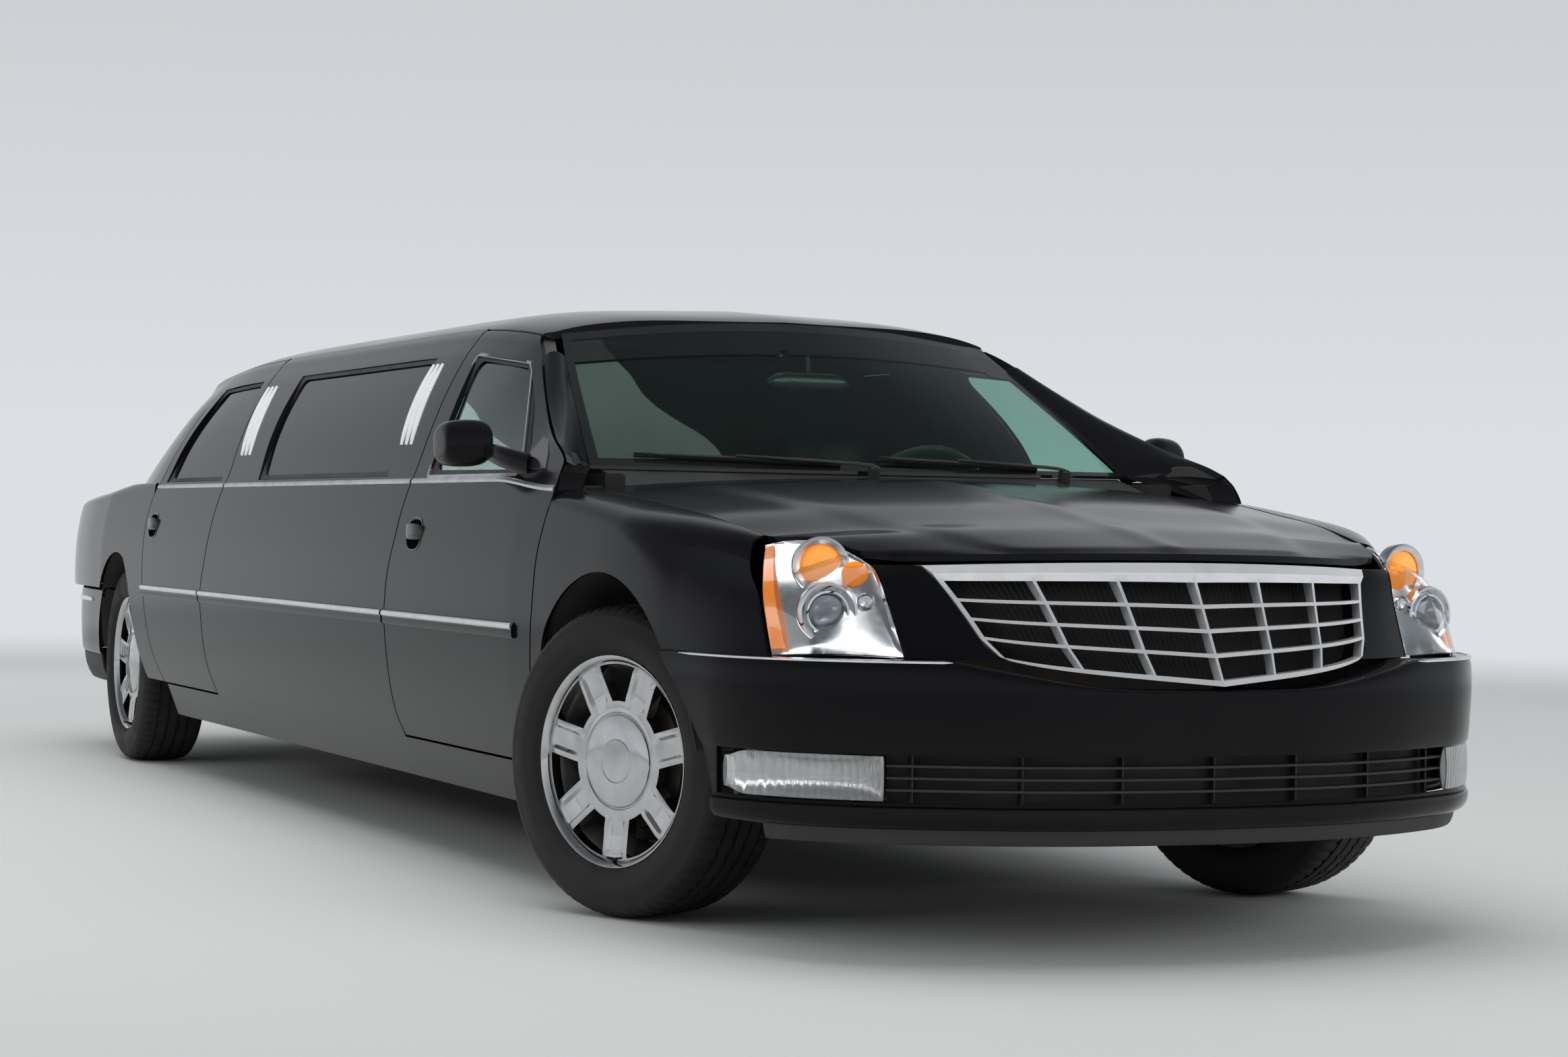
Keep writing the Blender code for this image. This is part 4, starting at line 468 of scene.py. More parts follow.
for label, side in SIDES:
    for opening, edges in OPENINGS.items():
        glass_fore, glass_aft = edges[2], edges[3]
        node = {"front_door": "front_door_glass", "rear_door": "rear_door_glass",
                "side_panel": "side_glass"}[opening]
        outer = []
        for level in split_steps((BELT + 0.0004, 1.060, 1.125, 1.230, GLASS_TOP - 0.0004), 5):
            columns = spread(glass_fore(level) - 0.0004, glass_aft(level) + 0.0004, PANE_COLUMNS + 1)
            outer.append([body_side(x, level, side, GLASS_INSET) for x in columns])
        inner = backed(outer, 0, side * 0.005, 0)
        glazing = green_glass if opening == "front_door" else privacy_glass
        slot = "tinted_glass" if opening == "front_door" else "privacy_glass"
        fitted(f"{node}_pane_{label}", sheet_grid(outer, inner), (glazing, glazing),
               carrier_of(opening, label), nodes=(f"{node}_{label}",))
        # Rubber channel: a flat ring that covers the pane's edge, with rounded inner corners.
        rim = pane_outline(glass_fore, glass_aft, 0.0012, 0.012)
        lip = pane_outline(glass_fore, glass_aft, 0.014, 0.045)
        sections = []
        for (x0, z0), (x1, z1) in zip(rim, lip):
            sections.append([body_side(x0, z0, side, 0.004), body_side(x1, z1, side, 0.0085),
                             body_side(x1, z1, side, 0.0135), body_side(x0, z0, side, 0.0135)])
        fitted(f"{opening}_glass_channel_{label}", loft(sections, ring=True), seal_rubber,
               carrier_of(opening, label))

# Bright trim of the side: belt strips, a half-round moulding along the flank, a thin frame round each
# front door glass and three upright bars on each pillar of the lengthened part. Rolled stainless and
# plated zinc, clipped or taped to the painted steel.
bright_metal = finish("bright_metal", (0.78, 0.79, 0.80), (0.70, 0.71, 0.72), (0.10, 0.20), metallic=1.0,
                      patch=0.05, grain=0.0008, relief=0.00002)
brushed_metal = finish("brushed_metal", (0.60, 0.61, 0.62), (0.52, 0.53, 0.54), (0.22, 0.32), metallic=1.0,
                       patch=0.08, grain=0.0006, relief=0.00004)
# Pillar bars: only partly metallic, with a pale base colour that paints in the bright sheen they would take
# from the sky.
pillar_metal_painted_sheen = finish("pillar_metal_painted_sheen", (0.84, 0.84, 0.85), (0.78, 0.78, 0.79), (0.26, 0.36), metallic=0.35,
                      patch=0.06, grain=0.0006, relief=0.00003)


def strip_along(places, level_of, side, profile, sink=0.0):
    """Strip that follows the body side: profile holds its (up, out) corners."""
    sections = []
    for x in places:
        level = level_of(x)
        out = side_normal(x, level, side)
        up = Vector((0, 0, 1)) - out * out.z
        up.normalize()
        base = body_side(x, level, side, sink)
        sections.append([base + up * u + out * v for u, v in profile])
    return loft(sections)


def belt_level(x):
    """The belt strip rises slightly behind the windshield pillar and falls again to the tail."""
    return BELT - 0.014 - 0.024 * ease((x - FRONT_AXLE + 0.75) / 0.45) - 0.010 * ease((REAR_AXLE + 0.4 - x)
                                                                                      / 0.6)


def half_round(height, proud, steps=8):
    arc = [(height / 2 * math.cos(a), proud * math.sin(a)) for a in spread(0, math.pi, steps)]
    return [(height / 2, -0.002), *arc, (-height / 2, -0.002)]


belt_profile = half_round(0.015, 0.0035)
moulding_crown = half_round(0.017, 0.0075)
moulding_body = [(0.012, -0.002), (0.012, 0.0045), (0.006, 0.0078), (-0.016, 0.0078), (-0.021, 0.0045),
                 (-0.021, -0.002)]
MOULDING_LEVEL = 0.624
for label, side in SIDES:
    for opening, edges in OPENINGS.items():
        carrier = carrier_of(opening, label)
        level = belt_level(edges[0](0.96))
        start, end = edges[0](level) - 0.0045, edges[1](belt_level(edges[1](0.97))) + 0.0045
        places = spread(start, end, 40)
        fitted(f"{opening}_belt_strip_{label}", strip_along(places, belt_level, side, belt_profile),
               brushed_metal, carrier)
        start, end = edges[0](MOULDING_LEVEL) - 0.004, edges[1](MOULDING_LEVEL) + 0.004
        if opening == "front_door":
            start -= 0.105
        places = spread(start, end, 40)
        lower = strip_along(places, lambda x: MOULDING_LEVEL - 0.006, side, moulding_body)
        fitted(f"{opening}_moulding_{label}", lower, black_paint, carrier)
        crown = strip_along(spread(start, end, 40), lambda x: MOULDING_LEVEL + 0.001, side, moulding_crown,
                            -0.0045)
        fitted(f"{opening}_moulding_crown_{label}", crown, bright_metal, carrier)
    # Thin bright frame round the front door glass.
    glass_fore, glass_aft = OPENINGS["front_door"][2:4]
    rim = pane_outline(glass_fore, glass_aft, -0.0080, 0.024)
    lip = pane_outline(glass_fore, glass_aft, 0.0005, 0.016)
    sections = []
    for (x0, z0), (x1, z1) in zip(rim, lip):
        sections.append([body_side(x0, z0, side, 0.0015), body_side(x0, z0, side, -0.0022),
                         body_side(x1, z1, side, -0.0012), body_side(x1, z1, side, 0.0060),
                         body_side(x1, z1, side, 0.0075)])
    fitted(f"front_glass_bright_frame_{label}", loft(sections, ring=True), brushed_metal,
           f"front_door_body_{label}")
    # Pillar bars: three on each pillar, each a tapering polished blade, its brightness partly a painted sheen
    # in its pale colour.
    for group, count, foot, head, low, high, place in (
        ("front", 3, (-1.578, -1.710), (-1.738, -1.860), 1.070, 1.295, FRONT_AXLE),
        ("rear", 3, (1.605, 1.455), (1.420, 1.265), 1.064, 1.290, REAR_AXLE),
    ):
        for k in range(count):
            share = (k + 0.5) / count
            foot_x = place + mix(foot[0], foot[1], share)
            head_x = place + mix(head[0], head[1], share)
            width = abs(foot[0] - foot[1]) / count * 0.40
            sections = []
            for t in spread(0.0, 1.0, 15):
                level = mix(low, high, t)
                x = mix(foot_x, head_x, t)
                swell = math.sin(math.pi * min(max(t, 0.02), 0.98)) ** 0.22
                half = width * swell
                out = side_normal(x, level, side)
                base = body_side(x, level, side)
                ring = [base + Vector((half, 0, 0)) - out * 0.001]
                for a in spread(0.0, math.pi, 7):
                    ring.append(base + Vector((half * math.cos(a), 0,
                                               0)) + out * (0.0065 * swell * math.sin(a) + 0.0005))
                ring.append(base - Vector((half, 0, 0)) - out * 0.001)
                sections.append(ring)
            fitted(f"{group}_pillar_bar_{k + 1}_{label}", loft(sections), pillar_metal_painted_sheen)

# Door grips: a pull bar over each cup, moulded in glossy black plastic and screwed to the door from inside,
# with a thin gasket round the cup.
grip_black = finish("grip_black", (0.010, 0.010, 0.011), 0.016, (0.12, 0.22), grain=0.0015, relief=0.00005)
for label, side in SIDES:
    for opening, (x, z) in HANDLES.items():
        normal = side_normal(x, z, side)
        base = body_side(x, z, side)
        sections = []
        for t in spread(-1.0, 1.0, 25):
            bow = 0.013 * (1 - abs(t) ** 3.0) - 0.004
            tall = 0.021 * (1 - 0.20 * t * t) * (1 - 0.55 * max(abs(t) - 0.86, 0) / 0.14)
            centre = base + Vector((t * 0.064, 0, 0.004)) + normal * bow
            ring = []
            for a in around(14):
                u = bulged(math.cos(a), 0.7) * tall
                v = bulged(math.sin(a), 0.7) * 0.0055
                ring.append(centre + Vector((0, 0, u)) + normal * v)
            sections.append(ring)
        fitted(f"{opening}_pull_{label}", loft(sections), grip_black,
               carrier_of(opening, label))
        # Gasket round the cup.
        sections = []
        for a in around(36):
            u = bulged(math.cos(a), 0.8)
            v = bulged(math.sin(a), 0.8)
            ring = []
            for reach, lift in ((0.0, -0.002), (0.0, 0.0014), (0.0035, 0.0018), (0.0045, -0.002)):
                px = x + u * (0.062 + reach)
                pz = z + v * (0.040 + reach)
                ring.append(body_side(px, pz, side) + normal * lift)
            sections.append(ring)
        fitted(f"{opening}_cup_gasket_{label}", loft(sections, ring=True), grip_black,
               carrier_of(opening, label))

# Door mirrors: a painted shell on a short arm from the window corner, with a flat silvered glass that
# looks back. Moulded shell, sprayed with the body.
mirror_glass = finish("mirror_glass", (0.82, 0.84, 0.85), (0.80, 0.82, 0.83), (0.01, 0.03), metallic=1.0,
                      patch=0.3)
MIRROR_SHAPE = ((0.0, 0.60), (0.04, 0.80), (0.12, 0.93), (0.30, 1.0), (0.55, 1.0), (0.78, 0.97), (0.90, 0.88),
                (0.97, 0.70), (1.0, 0.46))
for label, side in SIDES:
    carrier = f"front_door_body_{label}"
    sections = []
    for t, size in MIRROR_SHAPE:
        y = side * mix(0.915, 1.0215, t)
        middle_x = FRONT_AXLE - 0.775 - 0.050 * t
        middle_z = 1.059 - 0.004 * t
        ring = []
        for a in around(32):
            fore = math.cos(a)
            up = math.sin(a)
            power = 0.55 if fore < 0 else 0.95
            dx = bulged(fore, power) * (0.060 if fore > 0 else 0.064)
            dz = bulged(up, 0.75) * 0.0575
            ring.append(Vector((middle_x + dx * (0.75 + 0.25 * size), y, middle_z + dz * size)))
        sections.append(ring)
    shell = fitted(f"mirror_shell_{label}", loft(sections), black_paint, carrier,
                   nodes=(f"mirror_{label}",), crease=60)
    smooth = shell.modifiers.new("smooth_form", "SUBSURF")
    smooth.levels = smooth.render_levels = 1
    # Arm from the sail panel at the window's front corner.
    foot_x, foot_level = FRONT_AXLE - 0.560, 1.012
    foot = body_side(foot_x, foot_level, side, 0.002)
    tip = Vector((FRONT_AXLE - 0.755, side * 0.925, 1.040))
    sections = []
    for t in spread(0.0, 1.0, 12):
        centre = foot.lerp(tip, t) + Vector((0, side * 0.018 * math.sin(math.pi * t),
                                             0.004 * math.sin(math.pi * t)))
        wide = mix(0.042, 0.030, t)
        tall = mix(0.030, 0.021, t)
        ring = []
        for a in around(20):
            ring.append(centre + Vector((wide * math.cos(a) * 0.8, side * wide * math.cos(a) * 0.45,
                                         tall * math.sin(a))))
        sections.append(ring)
    fitted(f"mirror_arm_{label}", loft(sections), black_paint, carrier, crease=60)
    sail = []
    for x, z in ((-0.420, 1.000), (-0.470, 1.060), (-0.540, 1.115), (-0.600, 1.130), (-0.612, 1.060),
                 (-0.604, 0.994)):
        sail.append((FRONT_AXLE + x, z))
    front = [body_side(x, z, side, -0.0030) for x, z in sail]
    back = [body_side(x, z, side, 0.0060) for x, z in sail]
    fitted(f"mirror_sail_{label}", loft([front, back]), grip_black, carrier, edge=0.0012)
    # Silvered glass, set a little into the shell's rear opening.
    glass = []
    for depth, size in ((0.0, 1.0), (-0.0035, 0.97)):
        ring = []
        for a in around(40):
            u = bulged(math.cos(a), 0.6) * 0.043 * size
            v = bulged(math.sin(a), 0.6) * 0.048 * size
            ring.append(Vector((FRONT_AXLE - 0.8620 - u * 0.35 + depth, side * 0.968 + u, 1.057 + v)))
        glass.append(ring)
    fitted(f"mirror_glass_{label}", loft(glass), mirror_glass, carrier)

# Front wings: one pressing a side, from the door's shut line round the wheel arch to the lamp, turned
# over at the top to meet the bonnet. Bolted on and painted with the body.
FRONT_ARCH = (0.085, 0.385, 0.432, 0.405, 0.377)
BUMPER_TOP = 0.607
CREST_WIDTH = ((-0.330, 0.826), (-0.207, 0.814), (-0.074, 0.797), (0.059, 0.779), (0.281, 0.760),
               (0.428, 0.740), (0.522, 0.726))
CREST_HEIGHT = ((-0.330, 0.948), (-0.207, 0.940), (-0.074, 0.928), (0.059, 0.914), (0.281, 0.888),
                (0.428, 0.865), (0.522, 0.847))
LAMP_OUTER = ((0.612, 0.762), (0.740, 0.697), (0.800, 0.600), (0.830, 0.545))
LAMP_OUTER_HALF = ((0.607, 0.812), (0.714, 0.811), (0.775, 0.790), (0.828, 0.740))
WING_DRAW_LENGTH = 0.400
WING_SKIN = 0.006
arch_liner_black = finish("arch_liner_black", 0.014, (0.030, 0.028, 0.026), (0.65, 0.85), grain=0.004,
                          relief=0.0008, dust=0.15, dust_top=0.9)


def arch_points(arch, axle, start, end, count):
    """Points of a wheel arch, given its middle, its radius behind and ahead of it, and its rise."""
    ahead, height, aft, fore, rise = arch
    return [(axle + ahead + (fore if math.cos(a) > 0 else aft) * math.cos(a), height + rise * math.sin(a))
            for a in spread(math.radians(start), math.radians(end), count)]


def split_points(points, steps):
    """Points of a line with equal steps put between each two of them."""
    return [tuple(mix(a[i], b[i], k / steps) for i in range(len(a)))
            for a, b in zip(points, points[1:]) for k in range(steps)] + [tuple(points[-1])]


WING_STEPS = 4
WING_ROWS = 25


def wing_top(outer, top, crest_width, crest_height, side, drop_y, end_slip=0.0):
    """Rows that turn a wing's shoulder over to its crest."""
    last = outer[-1]
    for t in spread(0.0, 1.0, 13)[1:]:
        row = []
        for c, start in enumerate(last):
            ahead = top[c][0]
            end = Vector((top[c][1] - (end_slip * t if c == 0 else 0.0),
                          side * (along(crest_width, ahead) + 0.003), along(crest_height, ahead)))
            corner = Vector((mix(start.x, end.x, 0.5), start.y - side * drop_y, end.z))
            row.append(start * (1 - t) ** 2 + corner * (2 * t * (1 - t)) + end * t ** 2)
        outer.append(row)


def turned_under(outer, rows, side, share=1.0):
    inner = []
    for r, row in enumerate(outer):
        lean = max(0.0, (r - rows + 1) / 12)
        drop = Vector((0, side * WING_SKIN * (1 - share * lean), WING_SKIN * lean))
        inner.append([point - drop for point in row])
    return inner


for label, side in SIDES:
    wing_foot = BUMPER_TOP + 0.0004
    end_angle = math.degrees(math.asin((wing_foot - FRONT_ARCH[1]) / FRONT_ARCH[4]))
    foot_x = FRONT_AXLE + along(FRONT_DOOR_FORE, DOOR_FOOT) + SHUT_GAP
    bottom = split_points([(foot_x, DOOR_FOOT), (FRONT_AXLE + FRONT_ARCH[0] - FRONT_ARCH[2], DOOR_FOOT)],
                          WING_STEPS)[:-1]
    bottom += split_points([bottom[-1], arch_points(FRONT_ARCH, FRONT_AXLE, 180, end_angle, 2)[0]], 1)[1:]
    bottom += arch_points(FRONT_ARCH, FRONT_AXLE, 180, end_angle, 8 * WING_STEPS + 1)
    lamp_foot = FRONT_AXLE + LAMP_OUTER[0][1] - 0.003
    bottom += split_points([bottom[-1], (lamp_foot, wing_foot)], 2 * WING_STEPS)[1:]
    count = len(bottom)
    arch_start = WING_STEPS + 1
    shares = []
    for c in range(count):
        if c < arch_start:
            index = c / arch_start * 2.0
        else:
            index = 2.0 + (c - arch_start) / WING_STEPS
        shares.append(index / 12.0)
    outer = []
    for t in spread(0.0, 1.0, WING_ROWS):
        row = []
        for c, (foot, foot_z) in enumerate(bottom):
            share = min(shares[c], 1.0)
            shoulder = FRONT_AXLE + mix(-0.300, 0.519, share)
            z = mix(foot_z, along(CREST_HEIGHT, shoulder - FRONT_AXLE) - 0.045, t)
            x = mix(foot, shoulder, t)
            start_line = FRONT_AXLE + along(FRONT_DOOR_FORE, mix(DOOR_FOOT, 0.900, t)) + SHUT_GAP
            start_chord = mix(bottom[0][0], FRONT_AXLE - 0.300, t)
            end_line = FRONT_AXLE + along(LAMP_OUTER, mix(0.612, 0.830, t)) - 0.003
            end_chord = mix(bottom[-1][0], FRONT_AXLE + 0.519, t)
            x += (start_line - start_chord) * (1 - share) ** 3 + (end_line - end_chord) * share ** 3
            point = body_side(x, z, side)
            gap = abs(body_side(end_line, z, side).y) - along(LAMP_OUTER_HALF, z) - WING_SKIN - 0.0015
            near = max(0.0, 1 - (end_line - x) / WING_DRAW_LENGTH)
            point.y -= side * max(gap, 0.0) * near ** 2
            row.append(point)
        outer.append(row)
    top = [(mix(-0.300, 0.519, min(s, 1.0)), FRONT_AXLE + mix(-0.300, 0.519, min(s, 1.0))) for s in shares]
    wing_top(outer, top, CREST_WIDTH, CREST_HEIGHT, side, 0.006)
    inner = turned_under(outer, WING_ROWS, side)
    fitted(f"front_wing_{label}", sheet_grid(outer, inner), (black_paint, arch_liner_black),
           nodes=(f"fender_{label}",), edge=0.0012)

# Bonnet: one wide pressing, crowned across, with a soft ridge along the middle and a crease towards
# each end of the grille. Hinged at the windshield and painted black.
BONNET_ROWS = (
    (-0.330, 0.822, 0.948, -0.300, 0.985), (-0.120, 0.800, 0.932, -0.090, 0.968),
    (0.100, 0.772, 0.909, 0.130, 0.945), (0.310, 0.754, 0.884, 0.360, 0.918),
    (0.520, 0.721, 0.847, 0.580, 0.885), (0.640, 0.655, 0.846, 0.730, 0.865),
    (0.748, 0.615, 0.820, 0.860, 0.843), (0.800, 0.540, 0.812, 0.978, 0.822),
)


def refine(points, steps):
    """Line of vectors drawn smoothly through points, with equal steps between each two of them."""
    stops = [0.0]
    for a, b in zip(points, points[1:]):
        stops.append(stops[-1] + max((b - a).length, 1e-6))
    last = len(points) - 1
    slopes = []
    for i in range(len(points)):
        before, after = max(i - 1, 0), min(i + 1, last)
        slopes.append((points[after] - points[before]) / (stops[after] - stops[before]))
    finer = []
    for i in range(last):
        step = stops[i + 1] - stops[i]
        for k in range(steps):
            t = k / steps
            finer.append(points[i] * ((1 - t) ** 2 * (1 + 2 * t)) + points[i + 1] * (t * t * (3 - 2 * t))
                         + slopes[i] * (step * (1 - t) ** 2 * t) - slopes[i + 1] * (step * (1 - t) * t * t))
    return [*finer, points[-1].copy()]


def refine_grid(grid, down, over):
    rows = [refine(row, over) for row in grid]
    columns = [refine([row[c] for row in rows], down) for c in range(len(rows[0]))]
    return [[column[r] for column in columns] for r in range(len(columns[0]))]


def crowned_rows(rows, axle, steps=9):
    """Rows across the car, each from a right edge over a crowned middle to the left edge."""
    return [[Vector((axle + mix(edge_x, middle_x, 1 - v * v), v * edge_y, mix(edge_z, middle_z, 1 - v * v)))
             for v in spread(-1.0, 1.0, steps)] for edge_x, edge_y, edge_z, middle_x, middle_z in rows]


bonnet_outer = refine_grid(crowned_rows(BONNET_ROWS, FRONT_AXLE), 8, 8)
bonnet_inner = backed(bonnet_outer, 0, 0, 0.014)
rows, columns = len(bonnet_outer), len(bonnet_outer[0])
for r, row in enumerate(bonnet_outer):
    down = r / (rows - 1)
    for c, point in enumerate(row):
        v = 2 * c / (columns - 1) - 1
        fade = ease((1 - abs(v)) / 0.12) * ease(down / 0.12) * ease((1 - down) / 0.05)
        ridge = 0.0030 * math.exp(-(v / 0.055) ** 2)
        crease_at = mix(0.74, 0.60, down)
        crease = 0.0055 * (1 / (1 + math.exp((abs(v) - crease_at) / 0.018)))
        point.z += (ridge + crease) * fade
fitted("bonnet_skin", sheet_grid(bonnet_outer, bonnet_inner), (black_paint, arch_liner_black),
       "hood_body", nodes=("hood",), edge=0.0012)

# Windshield and back window: laminated glass bonded to the body, with a black printed border and, in
# front, a dark shade band along the top.
WINDSHIELD_ROWS = (
    (-0.560, 0.728, 1.006, -0.395, 1.002), (-0.737, 0.693, 1.115, -0.610, 1.130),
    (-0.939, 0.649, 1.230, -0.840, 1.262), (-1.150, 0.598, 1.352, -1.085, 1.394),
)
BACKLIGHT_ROWS = (
    (-0.414, 0.730, 1.000, -0.500, 0.995), (-0.220, 0.690, 1.120, -0.270, 1.140),
    (-0.010, 0.645, 1.240, -0.040, 1.280), (0.190, 0.620, 1.335, 0.170, 1.392),
)
shade_glass = finish("shade_glass", (0.05, 0.075, 0.065), (0.06, 0.08, 0.07), (0.0, 0.02), patch=0.5,
                     Transmission_Weight=1.0, IOR=1.45)
print_border = finish("print_border", 0.006, 0.009, (0.06, 0.10), patch=0.3)
for name, rows, axle, glazing, slot in (("windshield", WINDSHIELD_ROWS, FRONT_AXLE, green_glass,
                                         "tinted_glass"),
                                        ("rear_window", BACKLIGHT_ROWS, REAR_AXLE, privacy_glass,
                                         "privacy_glass")):
    grid = refine_grid(crowned_rows(rows, axle), 12, 8)
    under = backed(grid, 0, 0, 0.008)
    mesh = sheet_grid(grid, under)
    count = len(grid[0]) - 1
    depth = len(grid) - 1
    for face in mesh.faces:
        face.material_index = 0
    pane = fitted(f"{name}_glass", mesh, (glazing, print_border, shade_glass), nodes=(name,))
    # Cells under the printed border or the shade band.
    for polygon in pane.data.polygons:
        centre = polygon.center
        # Share down the glass from its foot to its top, and across it from the middle.
        across = abs(centre.y) / mix(rows[0][1], rows[-1][1], (centre.z - 1.0) / 0.39)
        column = min(max(int((centre.y / rows[0][1] + 1) / 2 * count), 0), count)
        if abs(centre.y) < 0.05:
            away = [(row[count // 2].xz - centre.xz).length for row in grid]
        else:
            away = [abs(row[column].x - centre.x) for row in grid]
        nearest = away.index(min(away))
        if across > 0.965 or nearest <= 1 or nearest >= depth - 1:
            polygon.material_index = 1
        elif nearest >= depth - 7 and name == "windshield":
            polygon.material_index = 2

# Roof: one long skin of pressed steel between the door tops, from the windshield to the back window, welded
# up when the car was lengthened. Painted with the body outside and lined with pale cloth inside.
fractions = split_steps((0.0, 0.045, 0.11, 0.20, 0.50, 0.78, 0.88, 0.95, 1.0), 6)
roof_levels = split_steps((DOOR_TOP + 0.0048, 1.402, 1.418, 1.434, 1.450, ROOF_HEIGHT), 4)
roof_outer, roof_inner = [], []
for share in fractions:
    row, under = [], []
    for side in (-1, 1):
        levels = roof_levels if side < 0 else list(reversed(roof_levels))[1:]
        for k, level in enumerate(levels):
            edge = (k == 0 and side < 0) or (k == len(levels) - 1 and side > 0)
            crown = level >= ROOF_HEIGHT - 1e-6
            y = 0.0 if crown else HALF_BODY - along(SIDE_SECTION, level)
            ends = []
            for rows, axle, way in ((WINDSHIELD_ROWS, FRONT_AXLE, -1), (BACKLIGHT_ROWS, REAR_AXLE, 1)):
                edge_x, edge_y, _, middle_x, _ = rows[-1]
                bow = min(abs(y) / edge_y, 1.15) ** 2
                near = ease((1.402 - level) / 0.012) if level < 1.402 else 0.0
                ends.append(axle + mix(middle_x, edge_x,
                                       bow) + way * (0.010 + (0.030 if way < 0 else 0.020) * near))
            x = mix(ends[0], ends[1], share)
            point = body_side(x, level, side)
            if crown:
                point.y = 0.0
            row.append(point)
            depth = mix(0.004, 0.020, ease((level - DOOR_TOP - 0.0048) / 0.012)) if level < 1.402 else \
                mix(0.020, 0.026, min((level - 1.402) / 0.016, 1.0))
            under.append(point - Vector((0, 0, depth)))
    roof_outer.append(row)
    roof_inner.append(under)
headlining = finish("headlining", (0.42, 0.42, 0.40), (0.47, 0.47, 0.45), (0.85, 0.95), grain=0.0015,
                    relief=0.0006)
fitted("roof_skin", sheet_grid(roof_outer, roof_inner), (black_paint, headlining), nodes=("roof",),
       edge=0.0012)

# Windshield pillars: steel box sections between the glass and the door frame, welded to the roof and to
# the wings below, and painted with the body.
def straight(table, value):
    """Value of a two-column table, joined by straight lines."""
    for (x0, y0), (x1, y1) in zip(table, table[1:]):
        if value <= x1 or (x1, y1) == table[-1]:
            return mix(y0, y1, (value - x0) / (x1 - x0))
    return table[0][1]


for label, side in SIDES:
    shares = (0.0, 0.35, 0.70, 1.0)
    glass_x = [(z, FRONT_AXLE + x) for x, _, z, _, _ in WINDSHIELD_ROWS]
    glass_y = [(z, y) for _, y, z, _, _ in WINDSHIELD_ROWS]
    outer = []
    for level in (1.022, 1.060, 1.125, 1.230, 1.300, 1.346):
        door_side = body_side(FRONT_AXLE + along(FRONT_DOOR_FORE, level) + SHUT_GAP + 0.006, level, side,
                              0.002)
        z = min(max(door_side.z, WINDSHIELD_ROWS[0][2]), WINDSHIELD_ROWS[-1][2])
        glass_side = Vector((straight(glass_x, z), side * (straight(glass_y, z) + 0.0009), z))
        row = []
        for t in shares:
            point = glass_side.lerp(door_side, t)
            point.z += 0.012 * math.sin(math.pi * t)
            row.append(point)
        outer.append(row)
    by_glass, by_door = Vector((0.012, 0.0, 0.022)), Vector((0.002, side * 0.022, 0.008))
    inner = [[point - by_glass.lerp(by_door, t) for point, t in zip(row, shares)] for row in outer]
    fitted(f"windshield_pillar_{label}", sheet_grid(refine_grid(outer, 5, 5), refine_grid(inner, 5, 5)),
           (black_paint, seal_rubber), nodes=(f"a_pillar_{label}",), edge=0.0012)

    # Foot of the pillar, from its lower edge down to the wing's crest and the door's shut line.
    crest = Vector((FRONT_AXLE - 0.332, side * 0.828, 0.9485))
    shoulder = body_side(FRONT_AXLE + along(FRONT_DOOR_FORE, 0.903) + SHUT_GAP + 0.001, 0.903, side, 0.0005)
    corner = Vector((mix(crest.x, shoulder.x, 0.5), shoulder.y - side * 0.006, crest.z))
    head = refine(outer[0], 5)
    foot_outer = []
    for s in spread(0.0, 1.0, 13):
        row = []
        for t, upper in zip(spread(0.0, 1.0, len(head)), head):
            lower = crest * (1 - t) ** 2 + corner * (2 * t * (1 - t)) + shoulder * t ** 2
            level = mix(0.903, 1.022, s)
            shut = body_side(FRONT_AXLE + along(FRONT_DOOR_FORE, level) + SHUT_GAP + 0.002, level, side,
                             0.001)
            point = lower.lerp(upper, s)
            row.append(point + (shut - shoulder.lerp(head[-1], s)) * t ** 3)
        foot_outer.append(row)
    foot_inner = backed(foot_outer, 0.003, side * 0.003, 0.004)
    fitted(f"windshield_pillar_foot_{label}", sheet_grid(foot_outer, foot_inner), (black_paint, seal_rubber))

